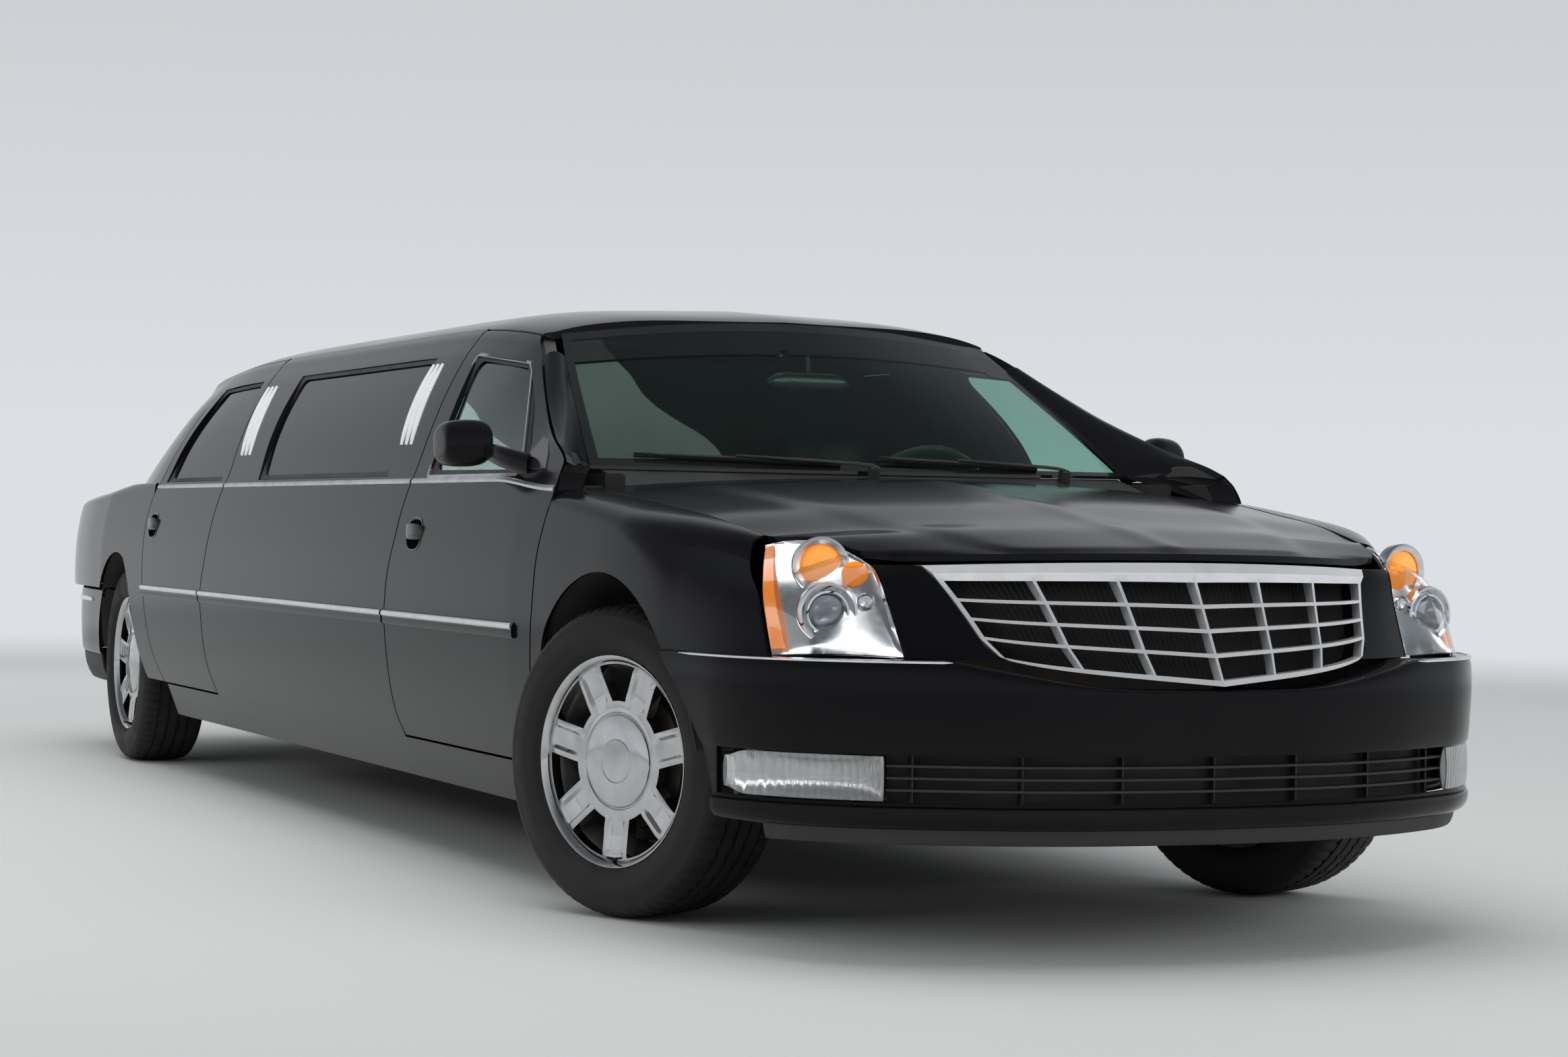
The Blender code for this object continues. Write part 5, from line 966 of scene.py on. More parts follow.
# Rear wings: a pressing round each wheel arch, with the back pillar that carries the roof welded in.
REAR_ARCH = (0.010, 0.375, 0.365, 0.365, 0.365)
TAIL_LAMP_X = -1.030
DECK_WIDTH = ((-1.050, 0.700), (-0.900, 0.722), (-0.600, 0.738), (-0.414, 0.745), (-0.200, 0.822),
              (0.000, 0.868), (0.200, 0.884), (0.455, 0.890))
DECK_HEIGHT = ((-1.050, 0.930), (-0.900, 0.942), (-0.600, 0.957), (-0.414, 0.966), (-0.200, 0.975),
               (0.000, 0.982), (0.455, 0.985))
for label, side in SIDES:
    end_angle = 180 - math.degrees(math.asin((BUMPER_TOP + 0.0004 - REAR_ARCH[1]) / REAR_ARCH[4]))
    foot_x = REAR_AXLE + along(REAR_DOOR_AFT, DOOR_FOOT) - SHUT_GAP
    arch_foot = REAR_AXLE + REAR_ARCH[0] + REAR_ARCH[2]
    bottom = split_points([(foot_x, DOOR_FOOT), (mix(foot_x, arch_foot, 0.5), DOOR_FOOT),
                           (arch_foot - 1e-5, DOOR_FOOT)],
                          WING_STEPS)
    bottom += arch_points(REAR_ARCH, REAR_AXLE, 0, end_angle, 8 * WING_STEPS + 1)
    bottom += split_points([bottom[-1], (REAR_AXLE - 0.620, BUMPER_TOP + 0.0004),
                            (REAR_AXLE + TAIL_LAMP_X, BUMPER_TOP + 0.0004)], WING_STEPS)[1:]
    count = len(bottom)
    # The solid has columns 0, 1, 2 on the foot, 3 to 11 on the arch, and 12, 13 behind it.
    index = [3 * c / (2 * WING_STEPS + 1) for c in range(2 * WING_STEPS + 1)]
    index += [3 + k / WING_STEPS for k in range(count - len(index))]
    shares = [i / index[-1] for i in index]
    top_x = [mix(REAR_AXLE + 0.440 - SHUT_GAP, REAR_AXLE + TAIL_LAMP_X, s) for s in shares]
    outer = []
    for t in spread(0.0, 1.0, WING_ROWS):
        row = []
        for c, (foot, foot_z) in enumerate(bottom):
            z = mix(foot_z, along(DECK_HEIGHT, top_x[c] - REAR_AXLE) - 0.040, t)
            x = mix(foot, top_x[c], t)
            start_line = REAR_AXLE + along(REAR_DOOR_AFT, mix(DOOR_FOOT, 0.945, t)) - SHUT_GAP
            start_chord = mix(bottom[0][0], top_x[0], t)
            x += (start_line - start_chord) * (1 - shares[c]) ** 4
            row.append(body_side(x, z, side))
        outer.append(row)
    top = [(x - REAR_AXLE, x) for x in top_x]
    wing_top(outer, top, DECK_WIDTH, DECK_HEIGHT, side, 0.004, 0.015)
    inner = turned_under(outer, WING_ROWS, side, 0.6)
    fitted(f"rear_wing_{label}", sheet_grid(outer, inner), (black_paint, arch_liner_black),
           nodes=(f"quarter_{label}",), edge=0.0012)
    pillar, lining = [], []
    rear_rows = [Vector((REAR_AXLE + x, side * (y + 0.0009), z)) for x, y, z, _, _ in BACKLIGHT_ROWS]
    for t in (-0.05, 0.0, 1 / 3, 2 / 3, 1.0):
        level = mix(BELT - 0.003, DOOR_TOP + 0.0046, t)
        fore = body_side(REAR_AXLE + along(REAR_DOOR_AFT, level) - SHUT_GAP, level, side)
        spot = max(t, 0.0) * (len(rear_rows) - 1)
        k = min(int(spot), len(rear_rows) - 2)
        aft = rear_rows[k].lerp(rear_rows[k + 1], spot - k)
        aft.z += min(t, 0.0) * 0.4
        row, back = [], []
        for s in spread(0.0, 1.0, 7):
            point = fore.lerp(aft, s)
            point.y += side * 0.11 * s * (1 - s) * (1.2 - s * 0.2) * (1 - 0.4 * max(t, 0.0))
            drop = Vector((-0.030 * s, side * 0.022 * (1 - 0.9 * s), 0.0))
            if t == 1.0:
                point = body_side(mix(fore.x, REAR_AXLE + BACKLIGHT_ROWS[-1][0], s), level, side)
                point.y = side * max(abs(point.y), BACKLIGHT_ROWS[-1][1] + 0.0009)
                drop = Vector((-0.030 * s, 0.0, 0.030))
            row.append(point)
            back.append(point - drop)
        pillar.append(row)
        lining.append(back)
    fitted(f"back_pillar_{label}", sheet_grid(refine_grid(pillar, 6, 5), refine_grid(lining, 6, 5)),
           (black_paint, headlining), edge=0.0012)

# Wheel housings: a liner of moulded black plastic over each wheel, clipped to the wing's edge, with an
# upright wall by the frame.
HOUSING_CLEARANCE = 0.010
for label, side in SIDES:
    for axle, axle_x, arch, wall in (("front", FRONT_AXLE, FRONT_ARCH, 0.455),
                                     ("rear", REAR_AXLE, REAR_ARCH, 0.625)):
        ahead, height, aft, fore, rise = arch
        wider = (ahead, height, aft + HOUSING_CLEARANCE, fore + HOUSING_CLEARANCE, rise + HOUSING_CLEARANCE)
        hoop = arch_points(wider, axle_x, 178, 2, 41)
        rim = [body_side(x, z, side, 0.014) for x, z in hoop]
        over = [[point + Vector((0, (side * wall - point.y) * t, 0)) for point in rim]
                for t in spread(0.0, 1.0, 7)]
        beyond = [[point + Vector(((point.x - axle_x - ahead) * 0.006, 0, 0.003)) for point in row]
                  for row in over]
        fitted(f"{axle}_wheel_liner_{label}", sheet_grid(over, beyond), (arch_liner_black, arch_liner_black))
        flat = []
        for t in spread(0.0, 1.0, 7):
            flat.append([Vector((x, side * wall, mix(z, min(z, height + 0.045), t))) for x, z in hoop])
        behind = backed(flat, 0, side * 0.003, 0)
        fitted(f"{axle}_housing_wall_{label}", sheet_grid(flat, behind),
               (arch_liner_black, arch_liner_black))

# Grille: a plated crate of thin bars and deep blades under a broad header with a crease along it, set in
# the nose with a painted filler on each side. The badge place is left bare.
NOSE_PLAN = ((0.0, 1.142), (0.200, 1.105), (0.400, 1.030), (0.585, 0.925), (0.700, 0.865), (0.820, 0.785))
GRILLE_HALF = ((0.0, 0.405), (0.045, 0.424), (0.12, 0.440), (0.35, 0.458), (0.60, 0.478), (0.84, 0.500),
               (1.0, 0.522))
GRILLE_HEADER = 0.16
GRILLE_FOOT_RIM = 0.045
grille_metal = finish("grille_metal", (0.90, 0.90, 0.91), (0.82, 0.82, 0.83), (0.14, 0.22), metallic=0.6,
                      patch=0.06, grain=0.0007, relief=0.00003)
matt_black = finish("matt_black", 0.016, (0.026, 0.026, 0.025), (0.50, 0.66), grain=0.0015, relief=0.0002,
                    dust=0.06)
radiator_black = finish("radiator_black", 0.010, (0.020, 0.019, 0.018), (0.55, 0.80), grain=0.003,
                        relief=0.0005)


def nose(y, z, sink=0.0):
    return Vector((FRONT_AXLE + along(NOSE_PLAN, abs(y)) - 0.58 * (z - 0.600) - sink, y, z))


def grille_point(u, v, sink):
    """u runs from -1 at the right edge to 1 at the left, v from 0 at the foot to 1 at the top."""
    y = u * along(GRILLE_HALF, v)
    foot = 0.560 + 0.034 * abs(u) + 0.012 * abs(u) ** 6
    top = 0.804 - 0.012 * abs(u) ** 2
    return nose(y, mix(foot, top, v), sink)


bar_shares = [GRILLE_FOOT_RIM]
for v in spread(GRILLE_FOOT_RIM, 1.0 - GRILLE_HEADER, 5)[1:-1]:
    bar_shares += [v - 0.016, v + 0.016]
grille_vs = [0.0, *bar_shares, 1.0 - GRILLE_HEADER, 1.0 - GRILLE_HEADER * 0.5, 1.0]
blade_us = [-1.0, -0.980]
for u in spread(-0.980, 0.980, 7)[1:-1]:
    blade_us += [u - 0.0065, u + 0.0065]
blade_us += [0.980, 1.0]
grille_us = []
over = 6
for a, b in zip(blade_us, blade_us[1:]):
    grille_us += [mix(a, b, k / over) for k in range(over)]
grille_us.append(1.0)
grille_outer, grille_inner = [], []
for v in grille_vs:
    proud = 0.009 if abs(v - (1.0 - GRILLE_HEADER * 0.5)) < 0.001 else 0.0
    deep = 0.036 if v < 0.01 or v > 0.80 else 0.030
    grille_outer.append([grille_point(u, v, -proud) for u in grille_us])
    grille_inner.append([grille_point(u, v, deep) for u in grille_us])
grille_holes = {(r, c * over + k) for r in (1, 3, 5, 7) for c in range(1, 12, 2) for k in range(over)}
fitted("grille_crate", sheet_grid(grille_outer, grille_inner, grille_holes), (grille_metal, grille_metal),
       nodes=("grille",), edge=0.0016, crease=30)
# Black screen of fine upright fins behind the crate.
fin_us, fin_vs = spread(-0.965, 0.965, 161), spread(0.02, 0.86, 6)
backing_outer = [[grille_point(u, v, 0.060 + (0.006 if k % 2 else 0.0)) for k, u in enumerate(fin_us)]
                 for v in fin_vs]
backing_inner = [[grille_point(u, v, 0.075) for u in fin_us] for v in fin_vs]
fitted("radiator_screen", sheet_grid(backing_outer, backing_inner), (radiator_black, radiator_black))
LAMP_INNER_X = ((BUMPER_TOP, 0.922), (0.714, 0.860), (0.779, 0.823), (0.802, 0.782))
LAMP_INNER_Y = ((BUMPER_TOP, 0.590), (0.714, 0.600), (0.779, 0.611), (0.802, 0.624))
for label, side in SIDES:
    filler = []
    for v in spread(0.0, 1.0, 17):
        edge = grille_point(1.0, v, 0.004)
        z = edge.z if v > 0.0 else BUMPER_TOP + 0.0004
        near = Vector((edge.x, edge.y + 0.0026, z))
        far = Vector((FRONT_AXLE + along(LAMP_INNER_X, z), along(LAMP_INNER_Y, z) - 0.0026, z))
        row = []
        for t in spread(0.0, 1.0, 9):
            point = near.lerp(far, t)
            point.x += 0.004 * math.sin(math.pi * t)
            row.append(Vector((point.x, side * point.y, point.z)))
        filler.append(row)
    behind = backed(filler, 0.026, 0, 0)
    fitted(f"nose_filler_{label}", sheet_grid(filler, behind), (black_paint, matt_black),
           nodes=(f"nose_panel_{label}",), edge=0.0012)

# Head lamps: a clear moulded cover over a plated bucket that holds a fluted indicator drum, a round dipped
# beam lens and an amber side reflector. Screwed to the wing and the bumper beam.
LAMP_OUTER_EDGE = ((0.766, 0.812, BUMPER_TOP), (0.714, 0.811, 0.714), (0.660, 0.790, 0.775),
                   (0.553, 0.740, 0.828))
LAMP_TOP = ((0.782, 0.624, 0.802), (0.745, 0.636, 0.816), (0.700, 0.648, 0.830), (0.650, 0.670, 0.838),
            (0.600, 0.705, 0.838), (0.553, 0.740, 0.828))
cover_glass = finish("cover_glass", (0.97, 0.98, 0.98), (0.95, 0.96, 0.97), (0.0, 0.01), patch=0.5,
                     Transmission_Weight=1.0, IOR=1.40)
lamp_plating = finish("lamp_plating", (0.80, 0.81, 0.82), (0.72, 0.73, 0.75), (0.12, 0.22), metallic=1.0,
                      patch=0.02, grain=0.002, relief=0.0002)
# Amber lens: its own amber colour plus a weak emission, a painted glow on reflectors that are no lamps.
amber_lens_painted_glow = finish("amber_lens_painted_glow", (1.0, 0.30, 0.01), (0.92, 0.24, 0.01), (0.10, 0.20), grain=0.004,
                    relief=0.0006, Emission_Color=(1.0, 0.28, 0.01, 1.0), Emission_Strength=0.30)
amber_glow = finish("amber_glow", (1.0, 0.48, 0.12), (1.0, 0.40, 0.06), (0.15, 0.25), grain=0.004,
                    relief=0.0010, Emission_Color=(1.0, 0.30, 0.04, 1.0), Emission_Strength=0.35)
beam_glass = finish("beam_glass", (0.80, 0.84, 0.88), (0.74, 0.79, 0.84), (0.0, 0.03), patch=0.05,
                    Transmission_Weight=0.85, IOR=1.5)
lamp_dark = finish("lamp_dark", (0.10, 0.10, 0.11), (0.16, 0.16, 0.17), (0.25, 0.35), metallic=1.0,
                   patch=0.03)


def turned(profile, count, centre, axis, start=0.0):
    """Ring turned about an axis through centre from a closed profile of (along, radius) points."""
    axis = Vector(axis).normalized()
    helper = Vector((0, 0, 1)) if abs(axis.z) < 0.9 else Vector((1, 0, 0))
    a = axis.cross(helper).normalized()
    b = axis.cross(a)
    sections = []
    for i in range(count):
        angle = start + 2 * math.pi * i / count
        ray = a * math.cos(angle) + b * math.sin(angle)
        sections.append([Vector(centre) + axis * y + ray * r for y, r in profile])
    return loft(sections, ring=True)


def lens_grid():
    """Outer face of the right lamp, mirrored for the left: rows upward, columns from the nose outward."""
    heights = (BUMPER_TOP + 0.0004, 0.714, 0.779, 0.802)
    grid = []
    for k, z in enumerate(heights):
        a = Vector((along(LAMP_INNER_X, z), along(LAMP_INNER_Y, z), z))
        b = Vector(LAMP_OUTER_EDGE[k])
        b.z = max(b.z, heights[0])
        blend = (k / 3) ** 2
        row = []
        for t, crest in zip(spread(0.0, 1.0, 6), LAMP_TOP):
            bulge = Vector((0.041, 0.030, 0.006)) * math.sin(math.pi * t)
            rise = Vector(crest) - Vector(LAMP_TOP[0]).lerp(Vector(LAMP_TOP[-1]), t)
            point = a.lerp(b, t) + bulge.lerp(rise, blend)
            row.append(Vector((FRONT_AXLE + point.x, point.y, point.z)))
        grid.append(row)
    return refine_grid(grid, 8, 8)


lens = lens_grid()
LENS_ROWS, LENS_COLUMNS = len(lens) - 1, len(lens[0]) - 1


def on_lens(u, v, depth=0.0):
    """Point of the lens: u from the nose outward, v upward, sunk along the sight line from ahead."""
    r, c = min(max(v, 0), 1) * LENS_ROWS, min(max(u, 0), 1) * LENS_COLUMNS
    i, j = min(int(r), LENS_ROWS - 1), min(int(c), LENS_COLUMNS - 1)
    low = lens[i][j].lerp(lens[i][j + 1], c - j)
    high = lens[i + 1][j].lerp(lens[i + 1][j + 1], c - j)
    return low.lerp(high, r - i) + Vector((-0.93, -0.36, 0.0)) * depth


def mirrored(points, side):
    return [Vector((p.x, side * p.y, p.z)) for p in points]


for label, side in SIDES:
    outer = [mirrored(row, side) for row in lens]
    inner = [mirrored([on_lens(c / LENS_COLUMNS, r / LENS_ROWS, 0.0) - Vector((0.0030, 0.0015, 0.0))
                       for c in range(LENS_COLUMNS + 1)], side) for r in range(LENS_ROWS + 1)]
    fitted(f"lamp_cover_{label}", sheet_grid(outer, inner), (cover_glass, cover_glass),
           nodes=(f"headlamp_{label}",))
    # Plated bucket: shallow at its rim, deep round the lamps.
    face, rear = [], []
    for v in spread(0.0, 1.0, 33):
        for grid, behind in ((face, 0.0), (rear, 0.003)):
            row = []
            for u in spread(0.0, 1.0, 41):
                bowl = max(math.sin(math.pi * u) * math.sin(math.pi * v), 0.0) ** 0.45
                depth = 0.006 + 0.040 * bowl
                row.append(on_lens(mix(0.006, 0.994, u), mix(0.006, 0.994, v), depth + behind))
            grid.append(mirrored(row, side))
    fitted(f"lamp_bucket_{label}", sheet_grid(face, rear), (lamp_plating, matt_black))
    ahead = Vector((0.985, side * 0.17, 0.0)).normalized()
    # Indicator drum with its flutes, behind a plated ring.
    middle = mirrored([on_lens(0.50, 0.660, 0.030)], side)[0]
    ring = [(-0.022, 0.044), (-0.022, 0.057), (0.004, 0.060), (0.010, 0.058), (0.011, 0.054), (0.006, 0.045)]
    fitted(f"indicator_ring_{label}", turned(ring, 48, middle, ahead), lamp_plating)
    dome = [(-0.020, 0.0004), (-0.020, 0.044), (0.000, 0.044), (0.008, 0.036), (0.013, 0.022),
            (0.015, 0.0004)]
    fitted(f"indicator_drum_{label}", turned(dome, 48, middle, ahead), amber_glow)
    # Dipped beam: a clear lens in a dark barrel with a plated ring.
    middle = mirrored([on_lens(0.47, 0.250, 0.030)], side)[0]
    ring = [(-0.020, 0.036), (-0.020, 0.060), (0.002, 0.062), (0.008, 0.060), (0.009, 0.055), (-0.004, 0.046),
            (0.006, 0.044), (0.006, 0.040), (-0.002, 0.036)]
    fitted(f"beam_ring_{label}", turned(ring, 48, middle, ahead), lamp_plating)
    well = [(-0.034, 0.0004), (-0.034, 0.040), (-0.010, 0.041), (-0.010, 0.0365), (-0.030, 0.030),
            (-0.030, 0.0004)]
    fitted(f"beam_barrel_{label}", turned(well, 40, middle, ahead), lamp_dark)
    dome = [(-0.008, 0.0004), (-0.008, 0.035), (0.000, 0.0345), (0.009, 0.029), (0.016, 0.019),
            (0.0195, 0.009), (0.0205, 0.0004)]
    fitted(f"beam_lens_{label}", turned(dome, 48, middle, ahead), beam_glass)
    # Amber reflector down the outer edge, and a half-round amber one beside the drum, both with a painted
    # glow.
    face, rear = [[mirrored([on_lens(u, v, depth) for u in spread(1 - mix(0.135, 0.075, v), 0.992, 7)], side)
                   for v in spread(0.04, 0.97, 24)] for depth in (0.0045, 0.0080)]
    fitted(f"amber_side_reflector_{label}", sheet_grid(face, rear), (amber_lens_painted_glow, amber_lens_painted_glow),
           edge=0.0008)
    middle = mirrored([on_lens(0.20, 0.60, 0.022)], side)[0]
    dome = [(-0.012, 0.0004), (-0.012, 0.026), (0.001, 0.026), (0.005, 0.019), (0.007, 0.0004)]
    fitted(f"amber_inner_reflector_{label}", turned(dome, 36, middle, ahead), amber_lens_painted_glow)
    middle = mirrored([on_lens(0.155, 0.34, 0.022)], side)[0]
    dome = [(-0.010, 0.0004), (-0.010, 0.017), (0.002, 0.017), (0.004, 0.014), (-0.004, 0.011),
            (-0.006, 0.0004)]
    fitted(f"town_lamp_{label}", turned(dome, 32, middle, ahead), lamp_plating)

# Front bumper: a flexible moulded cover over a steel beam, sprayed black. It carries the black lower
# grille, a fluted fog lamp at each end and a matt air dam below its lip.
BUMPER_PLAN = ((0.0, 1.165), (0.250, 1.142), (0.460, 1.084), (0.660, 0.985), (0.760, 0.905), (0.840, 0.800),
               (0.895, 0.660), (0.928, 0.450))
BUMPER_CREST = ((0.0, 0.552), (0.250, 0.557), (0.460, 0.590), (0.540, BUMPER_TOP))
PLAN_STEPS = 8
MOUTH = 6


def plan_points(plan, steps=PLAN_STEPS):
    return [(y, along(plan, y)) for y in split_steps([y for y, _ in plan], steps)]


def wrapped(half, section, axle, end_at, way, depth, crest=None, shelf=0.0, shoulder=0.545):
    """Bumper cover swept round its plan: rows down the section, columns from the right end to the left."""
    outer, inner = [], []
    for z, inset in section:
        row, back = [], []
        for side in (-1, 1):
            order = list(range(len(half)))[::-1] if side < 0 else list(range(1, len(half)))
            for index in order:
                y, ahead = half[index]
                bay = half[-1 - PLAN_STEPS]
                if end_at and index > len(half) - 1 - PLAN_STEPS:
                    # The last bay is drawn in along the plan, so that it ends where the arch wants it.
                    reach = (bay[1] - end_at(z)) / (bay[1] - half[-1][1])
                    y = bay[0] + (y - bay[0]) * reach
                    ahead = bay[1] + (ahead - bay[1]) * reach
                before, after = half[max(index - 1, 0)], half[min(index + 1, len(half) - 1)]
                normal = Vector((after[0] - before[0], way * (before[1] - after[1])))
                if index == 0:
                    normal = Vector((1.0, 0.0))
                normal.normalize()
                x, w = ahead - way * inset * normal.x, y - inset * normal.y
                bx, bw = ahead - way * (inset + depth) * normal.x, y - (inset + depth) * normal.y
                if end_at and index == len(half) - 1:
                    x = bx = end_at(z)
                top = z
                if crest and z > shoulder:
                    top = mix(shoulder, along(crest, y), (z - shoulder) / (BUMPER_TOP - shoulder))
                row.append(Vector((axle + x, side * w, top)))
                back.append(Vector((axle + bx, side * bw, top - (shelf if z == section[0][0] else 0.0))))
        outer.append(row)
        inner.append(back)
    return outer, inner


def arch_edge(arch, z, way):
    ahead, height, aft, fore, rise = arch
    return ahead + way * (fore if way > 0 else aft) * math.sqrt(1 - (max(z - height, 0.0) / rise) ** 2)


cover_section = [(0.607, 0.070), (0.607, 0.040), (0.607, 0.020), (0.6055, 0.012), (0.601, 0.006),
                 (0.594, 0.0025), (0.582, 0.0008), (0.565, 0.0), (0.545, 0.0), (0.520, 0.0004),
                 (0.490, 0.002), (0.450, 0.004), (0.426, 0.0065), (0.420, 0.010), (0.326, 0.012),
                 (0.320, 0.0075), (0.3175, 0.0105), (0.3150, 0.0060), (0.308, 0.0045), (0.298, 0.0050),
                 (0.288, 0.0085), (0.279, 0.0150), (0.273, 0.0250), (0.2705, 0.0400)]


def bumper_out(y):
    """Outward direction of the front bumper at a half width."""
    slope = (along(BUMPER_PLAN, y + 0.005) - along(BUMPER_PLAN, y - 0.005)) / 0.010
    return Vector((1.0, -slope, 0.0)).normalized()


def bumper_face(y, z):
    return Vector((FRONT_AXLE + along(BUMPER_PLAN, y), y, z))


def bumper_end(z):
    """Rear edge of the front bumper's side: it follows the arch at the top and runs forward below it."""
    return min(arch_edge(FRONT_ARCH, z, 1) + 0.012 + 0.55 * (BUMPER_TOP - z), 0.640)


cover_plan = plan_points(BUMPER_PLAN)
outer, inner = wrapped(cover_plan, cover_section, FRONT_AXLE, bumper_end, 1, 0.012, BUMPER_CREST, 0.010)
middle = len(cover_plan) - 1
mouth_row = [z for z, _ in cover_section].index(0.420)
mouth = {(mouth_row, c) for c in range(middle - MOUTH * PLAN_STEPS, middle + MOUTH * PLAN_STEPS)}
fitted("front_bumper_cover", sheet_grid(outer, inner, mouth), (black_paint, matt_black),
       nodes=("front_bumper",), edge=0.0010, crease=42)
dam_section = [(0.2760, 0.030), (0.268, 0.034), (0.256, 0.037), (0.246, 0.041), (0.2405, 0.045)]
dam_plan = [p for p in cover_plan if p[0] < 0.856]
outer, inner = wrapped(dam_plan, dam_section, FRONT_AXLE, None, 1, 0.006)
fitted("air_dam", sheet_grid(outer, inner), (matt_black, matt_black), edge=0.0010)
# Lower grille: a dark screen with three slats and slim uprights in front of it.
inner_plan = [p for p in cover_plan if p[0] < 0.664]
outer, inner = wrapped(inner_plan, [(0.426, 0.052), (0.320, 0.052)], FRONT_AXLE, None, 1, 0.004)
fitted("lower_screen", sheet_grid(outer, inner), (radiator_black, radiator_black),
       nodes=("lower_grille",))
for k, z in enumerate((0.350, 0.374, 0.398)):
    outer, inner = wrapped(inner_plan, [(z + 0.0022, 0.022), (z + 0.0028, 0.036), (z + 0.0022, 0.050)],
                           FRONT_AXLE, None, 1, 0.0005)
    lower = [[p - Vector((0, 0, 0.0046)) for p in row] for row in outer]
    fitted(f"lower_slat_{k + 1}", sheet_grid(outer, lower), (matt_black, matt_black))
for k, y in enumerate((-0.60, -0.40, -0.20, 0.0, 0.20, 0.40, 0.60)):
    x = FRONT_AXLE + along(BUMPER_PLAN, abs(y))
    corners = ((-0.034, -0.0018), (-0.034, 0.0018), (-0.052, 0.0018), (-0.052, -0.0018))
    sections = [[(x + dx, y + dy, z) for dx, dy in corners] for z in (0.324, 0.422)]
    fitted(f"lower_upright_{k + 1}", loft(sections), matt_black, edge=0.0005)
# Fog lamps: fluted clear lenses over plated reflectors.
fog_glass = finish("fog_glass", (0.93, 0.94, 0.94), (0.90, 0.91, 0.92), (0.02, 0.05), grain=0.004,
                   relief=0.0008, Transmission_Weight=0.92, IOR=1.45)
fog_plating = finish("fog_plating", (0.62, 0.62, 0.61), (0.50, 0.50, 0.49), (0.10, 0.20), metallic=1.0,
                     patch=0.03, grain=0.003, relief=0.0006)
fog_tree = fog_glass.node_tree
fog_place = add_node(fog_tree, "TexCoord", {}).outputs["Object"]
fog_flutes = add_node(fog_tree, "TexWave", {"Scale": 26.0, "Distortion": 0.0, "Vector": fog_place},
                      bands_direction="Y")
fog_bump = next(n for n in fog_tree.nodes if n.bl_idname == "ShaderNodeBump")
fog_tree.links.new(fog_flutes.outputs["Fac"], fog_bump.inputs["Height"])
fog_bump.inputs["Distance"].default_value = 0.004
for label, side in SIDES:
    lens_plan = split_steps([0.664, 0.700, 0.740, 0.780, 0.820, 0.855, 0.888], 6)
    for part, deep, thick, glaze in (("lens", 0.010, 0.004, fog_glass),
                                     ("reflector", 0.034, 0.003, fog_plating)):
        outer, inner = [], []
        for t in spread(0.0, 1.0, 15):
            row, back = [], []
            for k, y in enumerate(lens_plan):
                share = k / (len(lens_plan) - 1)
                squeeze = 1 - 0.30 * ease((share - 0.88) / 0.12) ** 1.5
                z = 0.373 + (t - 0.5) * 0.088 * squeeze
                out = bumper_out(y)
                bowl = (math.sin(math.pi * min(max(share, 0.02), 0.98)) ** 0.4
                        * math.sin(math.pi * min(max(t, 0.02), 0.98)) ** 0.4)
                sunk = deep * (bowl if part == "reflector" else 1.0) + (0.012 if part == "reflector" else 0.0)
                crown = 0.003 * math.sin(math.pi * t) if part == "lens" else 0.0
                base = bumper_face(y, z)
                point = base - out * (sunk - crown)
                behind = base - out * (sunk - crown + thick)
                row.append(Vector((point.x, side * point.y, point.z)))
                back.append(Vector((behind.x, side * behind.y, behind.z)))
            outer.append(row)
            inner.append(back)
        fitted(f"fog_{part}_{label}", sheet_grid(outer, inner), (glaze, glaze))
    # Black pocket that closes the mouth round the fog lamp.
    pocket_outer, pocket_inner = [], []
    for z in (0.424, 0.373, 0.322):
        row, back = [], []
        for y in split_steps([0.662, 0.780, 0.894], 8):
            out = bumper_out(y)
            base = bumper_face(y, z)
            for line, sunk in ((row, 0.052), (back, 0.055)):
                point = base - out * sunk
                line.append(Vector((point.x, side * point.y, point.z)))
        pocket_outer.append(row)
        pocket_inner.append(back)
    fitted(f"fog_pocket_{label}", sheet_grid(pocket_outer, pocket_inner), (grip_black, grip_black))
    # Bright strip between the lamp and the bumper.
    strip = []
    for y in spread(0.545, 0.920, 44):
        out = bumper_out(y)
        base = bumper_face(y, 0.6035) - out * 0.010
        taper = min(1.0, (y - 0.545) / 0.02 + 0.2, (0.920 - y) / 0.006 + 0.2)
        ring = []
        for up, reach in ((-0.0042, 0.0), (-0.0042, 0.006), (-0.0020, 0.0100), (0.0020, 0.0100),
                          (0.0042, 0.0060), (0.0042, 0.0)):
            point = base + out * reach * taper
            ring.append(Vector((point.x, side * point.y, point.z + up * taper)))
        strip.append(ring)
    fitted(f"lamp_foot_strip_{label}", loft(strip), bright_metal)

# Trunk lid: one pressing that folds down over the tail, with a soft lip, a bright handle strip and a blank
# plate on its face. Hinged under the back window.
DECK_ROWS = (
    (-0.428, 0.741, 0.966, -0.520, 0.982), (-0.600, 0.735, 0.957, -0.680, 0.978),
    (-0.850, 0.722, 0.944, -0.900, 0.966), (-1.015, 0.700, 0.930, -1.070, 0.950),
    (-1.045, 0.692, 0.905, -1.110, 0.925), (-1.060, 0.640, 0.760, -1.130, 0.760),
    (-1.062, 0.600, 0.640, -1.132, 0.640),
)
lid_outer = refine_grid(crowned_rows(DECK_ROWS, REAR_AXLE), 8, 8)
lid_inner = []
for r, row in enumerate(lid_outer):
    down = ease((r - 22) / 12)
    lid_inner.append([point + Vector((0.014 * down, 0, -0.014 * (1 - down))) for point in row])
fitted("trunk_lid_skin", sheet_grid(lid_outer, lid_inner), (black_paint, arch_liner_black),
       "trunk_lid_body", nodes=("trunk_lid",), edge=0.0012)


